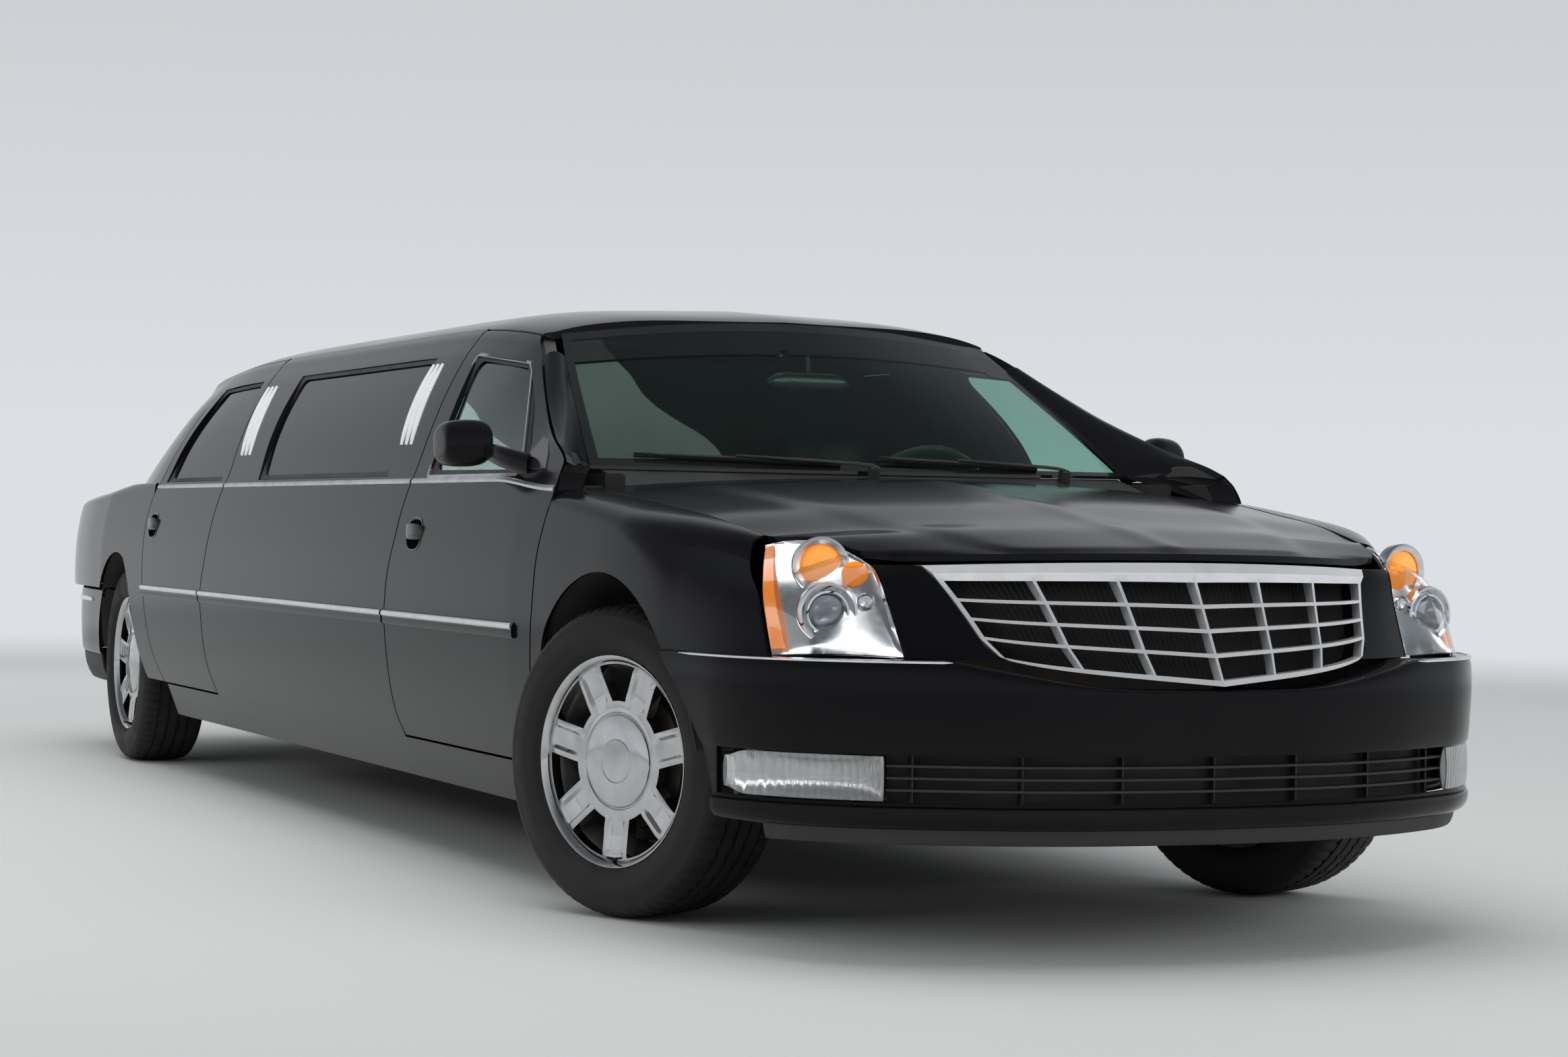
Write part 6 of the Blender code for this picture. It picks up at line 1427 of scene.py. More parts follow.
def lid_face(y, z, lift=0.0):
    """Point just behind the lid's face."""
    half = along(((0.640, 0.600), (0.760, 0.640), (0.905, 0.692)), z)
    middle = along(((0.640, -1.132), (0.760, -1.130), (0.905, -1.113)), z)
    edge = along(((0.640, -1.062), (0.760, -1.060), (0.905, -1.046)), z)
    return Vector((REAR_AXLE + mix(middle, edge, (y / half) ** 2) - lift, y, z))


def face_bar(name, half, low, high, proud, finishes, steps=40):
    """Flat bar with eased ends on the lid's face."""
    ys = spread(-half, half, steps)
    swells = ((0.0, 0.2), (0.12, 0.85), (0.5, 1.0), (0.88, 0.85), (1.0, 0.2))
    outer = [[lid_face(y, mix(low, high, t), proud * swell) for y in ys] for t, swell in swells]
    inner = [[lid_face(y, mix(low, high, t), -0.004) for y in ys] for t, _ in swells]
    return fitted(name, sheet_grid(outer, inner), finishes, "trunk_lid_body", edge=0.0010)


face_bar("trunk_handle_strip", 0.330, 0.862, 0.888, 0.012, (bright_metal, bright_metal))
face_bar("plate_recess_trim", 0.205, 0.662, 0.842, 0.003, (grip_black, grip_black))
plate_enamel = finish("plate_enamel", (0.62, 0.62, 0.60), (0.57, 0.57, 0.55), (0.30, 0.42), patch=0.05,
                      grain=0.001, relief=0.00005, dust=0.3, dust_top=1.2)
face_bar("blank_plate", 0.155, 0.674, 0.828, 0.0055, (plate_enamel, plate_enamel), 12)
for k, (y, z) in enumerate(((-0.090, 0.812), (0.090, 0.812), (-0.090, 0.690), (0.090, 0.690))):
    screw = turned([(0.0, 0.0002), (0.0, 0.0060), (0.0022, 0.0055), (0.0034, 0.0030), (0.0036, 0.0002)], 16,
                   lid_face(y, z, 0.0050), (-1, 0, 0))
    fitted(f"plate_screw_{k + 1}", screw, brushed_metal, "trunk_lid_body")

# Tail lamps: upright red mouldings with ribs behind the lens, a clear reversing lamp in the middle and a thin
# plated edge. Screwed to the rear wings.
TAIL_LAMP_ROWS = ((BUMPER_TOP + 0.0004, 0.615, -1.098), (0.760, 0.650, -1.092), (0.895, 0.700, -1.078))
# Red lens, also on the rear reflectors: its own red colour plus a faint emission, a painted glow.
red_lens_painted_glow = finish("red_lens_painted_glow", (0.42, 0.006, 0.010), (0.30, 0.004, 0.008), (0.05, 0.10), patch=0.05,
                  grain=0.004, relief=0.0008, Emission_Color=(0.5, 0.01, 0.01, 1.0), Emission_Strength=0.10)
clear_lens = finish("clear_lens", (0.66, 0.66, 0.65), 0.52, (0.08, 0.16), patch=0.02, grain=0.004,
                    relief=0.0012)
for label, side in SIDES:
    coarse = []
    for z, inner_y, inner_x in TAIL_LAMP_ROWS:
        a = Vector((REAR_AXLE + inner_x, side * (inner_y + 0.010), z))
        b = body_side(REAR_AXLE + TAIL_LAMP_X - 0.0012, z, side, 0.002)
        row = []
        for t in spread(0.0, 1.0, 6):
            point = a.lerp(b, t)
            point.x -= 0.020 * math.sin(math.pi * t)
            row.append(point)
        coarse.append(row)
    lens_rows = refine_grid(coarse, 24, 6)
    count = len(lens_rows[0]) - 1
    back = []
    for r, row in enumerate(lens_rows):
        under = []
        for k, point in enumerate(row):
            rib = 0.0018 if r % 2 and 0 < k < count and 0 < r < len(lens_rows) - 1 else 0.0
            point.x += rib
            under.append(point + Vector((0.030 if k < count else 0.002, -side * 0.030 * k / count, 0)))
        back.append(under)
    mesh = sheet_grid(lens_rows, back)
    lamp = fitted(f"tail_lens_{label}", mesh, (red_lens_painted_glow, lamp_dark, clear_lens),
                  nodes=(f"tail_lamp_{label}",), crease=60)
    for polygon in lamp.data.polygons:
        if polygon.material_index == 0 and 0.725 < polygon.center.z < 0.772:
            polygon.material_index = 2
    strip = []
    for k, z in enumerate(spread(BUMPER_TOP + 0.004, 0.893, 30)):
        a = body_side(REAR_AXLE + TAIL_LAMP_X + 0.0015, z, side, 0.0)
        strip.append([a + Vector((dx, side * dy, 0)) for dx, dy in
                      ((-0.0035, -0.002), (0.0035, -0.002), (0.0035, 0.0012), (0.0, 0.0024),
                       (-0.0035, 0.0012))])
    fitted(f"tail_lamp_edge_{label}", loft(strip), bright_metal)

# Rear bumper: a moulded cover over a beam, sprayed black, with a bright strip near its top and a matt black
# lower edge that stands over the two exhaust tips.
REAR_BUMPER_PLAN = ((0.0, -1.173), (0.260, -1.168), (0.480, -1.150), (0.660, -1.115), (0.790, -1.045),
                    (0.865, -0.940), (0.905, -0.800), (0.922, -0.600), (0.930, -0.380))
rear_section = [(0.607, 0.070), (0.607, 0.040), (0.607, 0.020), (0.6055, 0.012), (0.601, 0.006),
                (0.588, 0.002), (0.560, 0.0008), (0.520, 0.0), (0.480, 0.0), (0.440, 0.0015), (0.400, 0.004),
                (0.372, 0.007), (0.366, 0.010), (0.360, 0.014)]
rear_plan = plan_points(REAR_BUMPER_PLAN)


def rear_end(z):
    """Front edge of the rear bumper's side, a little behind the wheel arch."""
    return arch_edge(REAR_ARCH, z, -1) - 0.012


outer, inner = wrapped(rear_plan, rear_section, REAR_AXLE, rear_end, -1, 0.012, None, 0.010)
fitted("rear_bumper_cover", sheet_grid(outer, inner), (black_paint, matt_black),
       nodes=("rear_bumper",), edge=0.0010, crease=42)
valance_section = [(0.3585, 0.014), (0.340, 0.016), (0.310, 0.022), (0.285, 0.032), (0.266, 0.043),
                   (0.260, 0.049)]
outer, inner = wrapped(rear_plan, valance_section, REAR_AXLE, rear_end, -1, 0.008)
fitted("rear_valance", sheet_grid(outer, inner), (matt_black, matt_black), edge=0.0010)


def plan_strip(plan, axle, way, level, start, end, side, profile, steps=60):
    """Strip that follows a bumper's plan at one level, between two half widths."""
    sections = []
    for y in spread(start, end, steps):
        slope = (along(plan, y + 0.004) - along(plan, y - 0.004)) / 0.008
        out = Vector((way, -slope * way, 0.0)).normalized()
        base = Vector((axle + along(plan, y), y, level))
        ring = []
        for up, reach in profile:
            point = base + out * reach + Vector((0, 0, up))
            ring.append(Vector((point.x, side * point.y, point.z)))
        sections.append(ring)
    return loft(sections)


strip_profile = [(-0.0085, -0.004), (-0.0085, 0.0010), (-0.0050, 0.0048), (0.0050, 0.0048), (0.0085, 0.0010),
                 (0.0085, -0.004)]
for label, side in SIDES:
    strip = plan_strip(REAR_BUMPER_PLAN, REAR_AXLE, -1, 0.560, 0.0, 0.9265, side, strip_profile, 90)
    fitted(f"rear_bumper_strip_{label}", strip, bright_metal)
    # Red reflector low on each side, in the red lens finish with its painted glow.
    strip = plan_strip(REAR_BUMPER_PLAN, REAR_AXLE, -1, 0.420, 0.560, 0.720, side,
                       [(-0.016, -0.004), (-0.016, 0.0005), (-0.012, 0.0035), (0.012, 0.0035),
                        (0.016, 0.0005), (0.016, -0.004)], 24)
    fitted(f"rear_reflector_{label}", strip, red_lens_painted_glow)
    # Exhaust tip and the pipe that leads to it from the silencer.
    tip_y = side * 0.435
    tip = turned([(-0.120, 0.0290), (-0.120, 0.0325), (0.0, 0.0340), (0.020, 0.0380), (0.0235, 0.0395),
                  (0.0250, 0.0380), (0.0200, 0.0350), (0.0, 0.0310)], 40, (REAR_AXLE - 1.120, tip_y, 0.252),
                  (-1, 0, 0))
    fitted(f"exhaust_tip_{label}", tip, bright_metal)
    route = refine([Vector((REAR_AXLE - 0.780, side * 0.300, 0.262)),
                    Vector((REAR_AXLE - 0.840, side * 0.380, 0.258)),
                    Vector((REAR_AXLE - 0.930, side * 0.430, 0.252)),
                    Vector((REAR_AXLE - 1.060, tip_y, 0.252))], 8)
    rings = []
    for k, point in enumerate(route):
        ahead = (route[min(k + 1, len(route) - 1)] - route[max(k - 1, 0)]).normalized()
        across_pipe = ahead.cross(Vector((0, 0, 1))).normalized()
        up_pipe = across_pipe.cross(ahead)
        rings.append([point + (across_pipe * math.cos(a) + up_pipe * math.sin(a)) * 0.026
                      for a in spread(0, 2 * math.pi, 21)[:-1]])
    fitted(f"tail_pipe_{label}", loft(rings), brushed_metal)
silencer = turned([(-0.360, 0.0005), (-0.360, 0.060), (-0.352, 0.078), (-0.335, 0.086), (0.335, 0.086),
                   (0.352, 0.078), (0.360, 0.060), (0.360, 0.0005)], 36, (REAR_AXLE - 0.720, 0.0, 0.286),
                   (0, 1, 0))
silencer.transform(Matrix.Translation((REAR_AXLE - 0.720, 0.0, 0.286)) @ Matrix.Diagonal((1.25, 1.0, 0.62,
                                                                                          1.0))
                   @ Matrix.Translation((-(REAR_AXLE - 0.720), 0.0, -0.286)))
silencer_steel = finish("silencer_steel", (0.34, 0.32, 0.30), (0.20, 0.17, 0.15), (0.40, 0.60), metallic=0.9,
                        patch=0.12, grain=0.002, relief=0.0002, dust=0.4)
fitted("exhaust_silencer", silencer, silencer_steel)
for k, y in enumerate((-0.26, 0.26)):
    sections = [[(REAR_AXLE - 0.720 + dx, y + dy, z) for dx,
                 dy in ((-0.02, -0.012), (0.02, -0.012), (0.02, 0.012),
                                                                    (-0.02, 0.012))] for z in (0.325, 0.3996)]
    fitted(f"silencer_hanger_{k + 1}", loft(sections), matt_black, edge=0.0008)

# Wheels: cast alloy with seven flat spokes and a wide cap, plated bright, each with a tubeless radial tyre.
# The front pair is turned to the left, as it stands in the photograph.
TYRE_RADIUS = 0.345
SPOKES = 7
SPOKE_WIDTH = 0.079
STEER_ANGLE = math.radians(22.0)
wheel_plating = finish("wheel_plating", (0.56, 0.565, 0.57), (0.48, 0.485, 0.49), (0.03, 0.08), metallic=1.0,
                       patch=0.05, grain=0.002, relief=0.00004)
wheel_inside = finish("wheel_inside", 0.10, (0.18, 0.17, 0.16), (0.5, 0.7), metallic=0.6, patch=0.04)
tyre_rubber = finish("tyre_rubber", 0.009, (0.016, 0.0155, 0.015), (0.55, 0.75), patch=0.06, grain=0.0012,
                     relief=0.0003, dust=0.10, Specular_IOR_Level=0.28)


def wheel_place(axle, side):
    if axle == "front":
        return Matrix.Translation((FRONT_AXLE, side * 0.770, TYRE_RADIUS)) @ Matrix.Rotation(STEER_ANGLE, 4,
                                                                                             "Z") \
            @ Matrix.Translation((0, side * 0.027, 0))
    return Matrix.Translation((REAR_AXLE, side * 0.797, TYRE_RADIUS))


# Face of the wheel: radius and how far it stands outward of the wheel's middle.
FACE = ((0.0005, 0.0870), (0.020, 0.0868), (0.046, 0.0862), (0.0475, 0.0846), (0.0490, 0.0862),
        (0.075, 0.0850), (0.095, 0.0828), (0.101, 0.0812), (0.1035, 0.0765), (0.1060, 0.0765),
        (0.1085, 0.0800), (0.118, 0.0792), (0.133, 0.0800), (0.150, 0.0815), (0.170, 0.0835),
        (0.190, 0.0855), (0.205, 0.0868), (0.2145, 0.0860), (0.2185, 0.0850), (0.2200, 0.0905),
        (0.2240, 0.0960), (0.2290, 0.1000), (0.2334, 0.1020), (0.2350, 0.1000), (0.2345, 0.0950))
WINDOW = (0.133, 0.2145)
SPOKE_CELLS = 12
WINDOW_CELLS = 8


def wheel_mesh(side):
    """Face, barrel and back of the wheel about its own middle, as one closed ring of grid cells."""
    sector = 2 * math.pi / SPOKES
    outer, inner = [], []
    radii = list(FACE) + [(0.2225, 0.0700), (0.2100, 0.0300), (0.2050, -0.0600), (0.2140, -0.0900),
                          (0.2330, -0.1000)]
    backs = []
    for r, y in radii:
        if r < 0.131 and len(backs) < len(FACE):
            backs.append((max(r, 0.0005), 0.062))
        elif len(backs) < len(FACE) and r <= 0.2150:
            backs.append((r, y - 0.026 if r > 0.14 else 0.058))
        else:
            backs.append(None)
    fillers = {17: (0.2130, 0.0600), 18: (0.2120, 0.0560), 19: (0.2105, 0.0520), 20: (0.2095, 0.0480),
               21: (0.2085, 0.0440), 22: (0.2075, 0.0400), 23: (0.2065, 0.0360), 24: (0.2055, 0.0320)}
    tail = ((0.2045, 0.0280), (0.2030, 0.0200), (0.2005, -0.0640), (0.2080, -0.0940), (0.2290, -0.1040))
    for i, (r, y) in enumerate(radii):
        back_r, back_y = backs[i] if backs[i] else (fillers[i] if i in fillers else tail[i - len(FACE)])
        ring, back = [], []
        width = min(SPOKE_WIDTH / max(r, WINDOW[0]), sector * 0.80)
        for k in range(SPOKES):
            middle = k * sector - math.pi / 2
            angles = [middle + width * (j / SPOKE_CELLS - 0.5) for j in range(SPOKE_CELLS)]
            gap = sector - width
            angles += [middle + width / 2 + gap * j / WINDOW_CELLS for j in range(WINDOW_CELLS)]
            for j, angle in enumerate(angles):
                lift = 0.0
                if 0.128 < r < 0.213 and j < SPOKE_CELLS + 1:
                    across = abs(j / SPOKE_CELLS - 0.5) * 2
                    ends = ease((r - 0.132) / 0.014) * ease((0.212 - r) / 0.010)
                    lift = (0.0082 * ease((across - 0.50) / 0.165) - 0.0030 * ease((across - 0.80) / 0.20)
                            - 0.0045) * ends
                ring.append(Vector((r * math.cos(angle), side * (y + lift), r * math.sin(angle))))
                back.append(Vector((back_r * math.cos(angle), side * back_y, back_r * math.sin(angle))))
        outer.append(ring)
        inner.append(back)
    cells = SPOKE_CELLS + WINDOW_CELLS
    first = next(i for i, (r, _) in enumerate(FACE) if r >= WINDOW[0])
    last = next(i for i, (r, _) in enumerate(FACE) if r >= WINDOW[1])
    holes = {(r, k * cells + SPOKE_CELLS + j) for r in range(first, last) for k in range(SPOKES)
             for j in range(WINDOW_CELLS)}
    return sheet_grid(outer, inner, holes, ring=True)


# Tyre half section from the tread's middle to the bead: across and radius, with four grooves in the tread.
TYRE_SECTION = [(0.000, 0.3450), (0.014, 0.3450), (0.0145, 0.3375), (0.0215, 0.3375), (0.022, 0.3450),
                (0.050, 0.3445), (0.0505, 0.3370), (0.0575, 0.3370), (0.058, 0.3440), (0.080, 0.3425),
                (0.090, 0.3400), (0.0975, 0.3360), (0.1035, 0.3300), (0.1080, 0.3220), (0.1095, 0.3200),
                (0.1100, 0.3150), (0.1130, 0.3050), (0.1155, 0.2950), (0.1172, 0.2830), (0.1175, 0.2720),
                (0.1168, 0.2700), (0.1160, 0.2620), (0.1130, 0.2520), (0.1080, 0.2440), (0.1030, 0.2400),
                (0.0990, 0.2352)]


TREAD_STEPS = 280
SHOULDER_CUT = 0.0050
BLOCK_CUT = 0.0035


def tyre_mesh():
    section = [(-y, r) for y, r in reversed(TYRE_SECTION[1:])] + list(TYRE_SECTION)
    section += [(0.088, 0.2352), (-0.088, 0.2352)]
    rings = []
    for i, angle in enumerate(around(TREAD_STEPS)):
        ring = []
        for y, r in section:
            cut = 0.0
            if 0.058 <= abs(y) <= 0.100 and i % 4 == 0:
                cut = SHOULDER_CUT
            elif abs(y) < 0.050 and r > 0.343 and i % 8 == (2 if y > 0 else 6):
                cut = BLOCK_CUT
            ring.append(((r - cut) * math.cos(angle), y, (r - cut) * math.sin(angle)))
        rings.append(ring)
    return loft(rings, ring=True)


for axle in ("front", "rear"):
    for label, side in SIDES:
        place = wheel_place(axle, side)
        carrier = f"wheel_{axle}_{label}"
        mesh = wheel_mesh(side)
        mesh.transform(place)
        fitted(f"{axle}_wheel_{label}", mesh, (wheel_plating, wheel_inside), carrier,
               nodes=(f"rim_{axle}_{label}",), edge=0.0009, crease=32)
        mesh = tyre_mesh()
        mesh.transform(place)
        fitted(f"{axle}_tyre_{label}", mesh, tyre_rubber, carrier, nodes=(f"tyre_{axle}_{label}",),
               crease=50)
        # Valve stem through the rim.
        stem = turned([(0.0, 0.0001), (0.0, 0.0045), (0.012, 0.0040), (0.024, 0.0030), (0.030, 0.0030),
                       (0.031, 0.0001)],
                      14, (0.0, side * 0.086, -0.2165), (0.25, side, 0.25))
        stem.transform(place)
        fitted(f"{axle}_valve_{label}", stem, matt_black, carrier)

# Windshield wipers: pressed arms and hinged blades in matt black, parked along the foot of the glass.
glass_rows = refine_grid(crowned_rows(WINDSHIELD_ROWS, FRONT_AXLE), 12, 8)


def on_windshield(v, t, lift=0.0):
    """Point over the windshield: v from -1 at the right to 1 at the left, t from its foot to its top."""
    r, c = t * (len(glass_rows) - 1), (v + 1) / 2 * (len(glass_rows[0]) - 1)
    i, j = min(int(r), len(glass_rows) - 2), min(int(c), len(glass_rows[0]) - 2)
    low = glass_rows[i][j].lerp(glass_rows[i][j + 1], c - j)
    high = glass_rows[i + 1][j].lerp(glass_rows[i + 1][j + 1], c - j)
    return low.lerp(high, r - i) + Vector((0.45, 0.0, 0.89)) * lift


def swept_bar(points, sizes, ring=8):
    """Bar of oval section along a line of points: sizes are half widths across and half heights."""
    rings = []
    for k, point in enumerate(points):
        ahead = (points[min(k + 1, len(points) - 1)] - points[max(k - 1, 0)]).normalized()
        across_bar = ahead.cross(Vector((0.45, 0, 0.89))).normalized()
        up_bar = across_bar.cross(ahead).normalized()
        wide, high = sizes[k] if isinstance(sizes, list) else sizes
        rings.append([point + across_bar * wide * math.cos(2 * math.pi * i / ring)
                      + up_bar * high * math.sin(2 * math.pi * i / ring) for i in range(ring)])
    return loft(rings)


for name, pivot_v, tip_v, foot_t, tip_t in (("right", -0.10, -0.86, 0.010, 0.052),
                                            ("left", 0.66, -0.04, 0.010, 0.052)):
    ends = spread(0.0, 1.0, 26)
    blade = [on_windshield(mix(mix(pivot_v, tip_v, 0.12), tip_v, t), mix(foot_t, tip_t, t) + 0.012, 0.005)
             for t in ends]
    fitted(f"wiper_rubber_{name}", swept_bar(blade, (0.0020, 0.0050)), seal_rubber)
    spine = [point + Vector((0.003, 0, 0.0060)) for point in blade]
    sizes = [(0.0050 * min(1.0, 6 * t + 0.3, 6 * (1 - t) + 0.3), 0.0028) for t in ends]
    fitted(f"wiper_blade_{name}", swept_bar(spine, sizes), matt_black)
    middle = spine[13]
    foot = on_windshield(pivot_v, 0.0, 0.0) + Vector((0.035, 0, 0.000))
    arm = refine([foot, foot + Vector((0.002, 0, 0.012)), foot.lerp(middle, 0.35) + Vector((0.006, 0, 0.012)),
                  middle + Vector((0.001, 0, 0.005))], 8)
    widths = [(mix(0.010, 0.004, k / (len(arm) - 1)), 0.0035) for k in range(len(arm))]
    fitted(f"wiper_arm_{name}", swept_bar(arm, widths), matt_black)
    cap = turned([(-0.018, 0.0005), (-0.018, 0.016), (0.008, 0.015), (0.013, 0.010), (0.014, 0.0005)], 28,
                 foot, (0.2, 0, 1))
    fitted(f"wiper_cap_{name}", cap, matt_black)

# Dashboard: a padded top in grained dark vinyl over a moulded face, with an instrument hood ahead of the
# wheel, a strip of polished wood, four air vents and a dark screen in the middle.
dash_vinyl = finish("dash_vinyl", (0.035, 0.034, 0.033), (0.050, 0.048, 0.046), (0.45, 0.60), patch=0.2,
                    grain=0.0020, relief=0.0004)
dash_wood = finish("dash_wood", (0.16, 0.065, 0.025), (0.09, 0.035, 0.014), (0.12, 0.20), patch=0.06)
DASH_SHAPE = ((-0.4014, 0.700), (-0.4014, 0.925), (-0.470, 0.940), (-0.560, 0.951), (-0.640, 0.960),
              (-0.700, 0.965), (-0.780, 0.963), (-0.840, 0.954), (-0.868, 0.941), (-0.880, 0.928),
              (-0.893, 0.912), (-0.900, 0.900), (-0.890, 0.830), (-0.880, 0.760), (-0.870, 0.700),
              (-0.780, 0.675), (-0.700, 0.660))
sections = []
for y in spread(-0.700, 0.700, 57):
    bow = 0.030 * (abs(y) / 0.700) ** 2
    hood = 0.030 * math.exp(-((y - 0.360) / 0.135) ** 4)
    ring = []
    for x, z in DASH_SHAPE:
        lift = hood * math.exp(-((x + 0.800) / 0.075) ** 2)
        ring.append(Vector((FRONT_AXLE + (x - bow if x < -0.6 else x), y,
                            z + lift - (0.012 if z > 0.9 and abs(y) > 0.69 else 0))))
    sections.append(ring)
fitted("dashboard_pad", loft(sections), dash_vinyl, nodes=("dashboard",), edge=0.006,
       crease=30)
sections = []
for y in spread(-0.660, 0.660, 40):
    bow = 0.030 * (abs(y) / 0.700) ** 2
    x = FRONT_AXLE - 0.8905 - bow
    sections.append([Vector((x + dx, y, z)) for dx, z in ((0.004, 0.862), (-0.0035, 0.858), (-0.0045, 0.838),
                                                           (-0.0015, 0.818), (0.006, 0.815))])
fitted("dashboard_wood_strip", loft(sections), dash_wood)
for k, (y, wide) in enumerate(((-0.600, 0.060), (-0.120, 0.055), (0.120, 0.055), (0.600, 0.060))):
    x = FRONT_AXLE - 0.893 - 0.030 * (abs(y) / 0.700) ** 2
    outer = [[Vector((x - 0.004, y + dy, 0.790 - dz)) for dy in spread(-wide, wide, 9)]
             for dz in spread(-0.018, 0.018, 9)]
    inner = backed(outer, -0.012, 0, 0)
    louvres = {(r, c) for r in (1, 3, 5) for c in range(1, 7)}
    fitted(f"air_vent_{k + 1}", sheet_grid(outer, inner, louvres), (grip_black, grip_black),
           edge=0.0006)
screen_dark = finish("screen_dark", (0.008, 0.010, 0.012), (0.012, 0.014, 0.016), (0.05, 0.09), patch=0.1)
outer = [[Vector((FRONT_AXLE - 0.898, y, z)) for y in spread(-0.090, 0.090, 5)]
         for z in (0.770, 0.735, 0.700)]
inner = backed(outer, -0.024, 0, 0)
fitted("centre_screen", sheet_grid(outer, inner), (screen_dark, grip_black), edge=0.003)

# Steering wheel: a leather-wrapped rim on four spokes with a padded middle, on a column that leaves the dash.
STEERING_PLACE = Vector((FRONT_AXLE - 1.030, 0.360, 0.905))
steering_axis = Vector((math.sin(math.radians(118)), 0, math.cos(math.radians(118))))
steering_up = Vector((0, 1, 0)).cross(steering_axis).normalized()
steering_up = steering_up if steering_up.z > 0 else -steering_up
wheel_leather = finish("wheel_leather", (0.022, 0.021, 0.020), (0.034, 0.032, 0.030), (0.38, 0.52),
                       patch=0.05, grain=0.0012, relief=0.0003)
rim_profile = [(0.012 * math.cos(a), 0.186 + 0.014 * math.sin(a)) for a in spread(0, 2 * math.pi, 17)[:-1]]
fitted("steering_rim", turned(rim_profile, 72, STEERING_PLACE, steering_axis), wheel_leather,
       "steering_wheel_body", nodes=("steering_wheel",))
hub_profile = [(0.1310, 0.0005), (0.1310, 0.022), (0.050, 0.024), (0.034, 0.040), (0.024, 0.072),
               (0.004, 0.078), (-0.006, 0.076), (-0.014, 0.062), (-0.020, 0.030), (-0.021, 0.0005)]
fitted("steering_hub_pad", turned(hub_profile, 48, STEERING_PLACE, steering_axis), dash_vinyl,
       "steering_wheel_body")
for k, (angle, width) in enumerate(((-12, 0.030), (192, 0.030), (-50, 0.018), (230, 0.018))):
    ray = Vector((0, 1, 0)) * math.cos(math.radians(angle)) + steering_up * math.sin(math.radians(angle))
    wide = steering_axis.cross(ray).normalized()
    sections = []
    for r, share, deep in ((0.060, 1.15, 0.006), (0.095, 0.95, 0.002), (0.140, 0.85, 0.0), (0.178, 1.0, 0.0)):
        centre = STEERING_PLACE + ray * r + steering_axis * deep
        sections.append([centre + wide * width * share * math.cos(a) + steering_axis * 0.0065 * math.sin(a)
                         for a in spread(0, 2 * math.pi, 13)[:-1]])
    fitted(f"steering_spoke_{k + 1}", loft(sections), (brushed_metal if k < 2 else wheel_leather,),
           "steering_wheel_body")

# Seats: foam cushions in dark leather with sewn flutes, on covered steel bases. The front pair are separate
# seats, and the rear bench is one piece with three head rests.
seat_leather = finish("seat_leather", (0.030, 0.029, 0.029), (0.046, 0.044, 0.042), (0.36, 0.52), patch=0.12,
                      grain=0.0018, relief=0.0005)
seat_base_black = finish("seat_base_black", 0.020, (0.030, 0.030, 0.029), (0.55, 0.70), grain=0.0015,
                         relief=0.0003)


def pillow(wide, long, thick, seams=(), crown=0.18, cross_seams=(), square=0.30):
    """Stuffed cushion about its own middle, with seams lengthwise and cross seams the other way."""
    rings = []
    for t in spread(-1.0, 1.0, 45):
        tight = max(1 - abs(t) ** 5, 0.0) ** 0.5
        pinch = 1 - 0.045 * (1 - abs(t) ** 2) if abs(t) < 1 else 1.0
        ring = []
        for a in around(72):
            u = bulged(math.cos(a), square)
            h = bulged(math.sin(a), square + 0.25)
            swell = 1 + crown * (1 - u * u) * (1 - t * t)
            z = thick / 2 * h * max(tight, 0.03) * swell
            if h > 0:
                sewn = sum(math.exp(-((u - s) / 0.022) ** 2) for s in seams)
                sewn += sum(math.exp(-((t - s) / 0.018) ** 2) for s in cross_seams)
                z -= 0.010 * min(sewn, 1.0) * min(tight, 1.0)
            ring.append(Vector((u * wide / 2 * pinch * (0.92 + 0.08 * tight), t * long / 2, z)))
        rings.append(ring)
    return loft(rings)


def placed_pad(name, mesh, centre, across_dir, long_dir, body, nodes=()):
    across_dir = Vector(across_dir).normalized()
    long_dir = Vector(long_dir).normalized()
    up_dir = across_dir.cross(long_dir)
    turn = Matrix((across_dir, long_dir, up_dir)).transposed().to_4x4()
    mesh.transform(Matrix.Translation(centre) @ turn)
    pad = fitted(name, mesh, seat_leather, body, nodes=nodes, crease=70)
    return pad


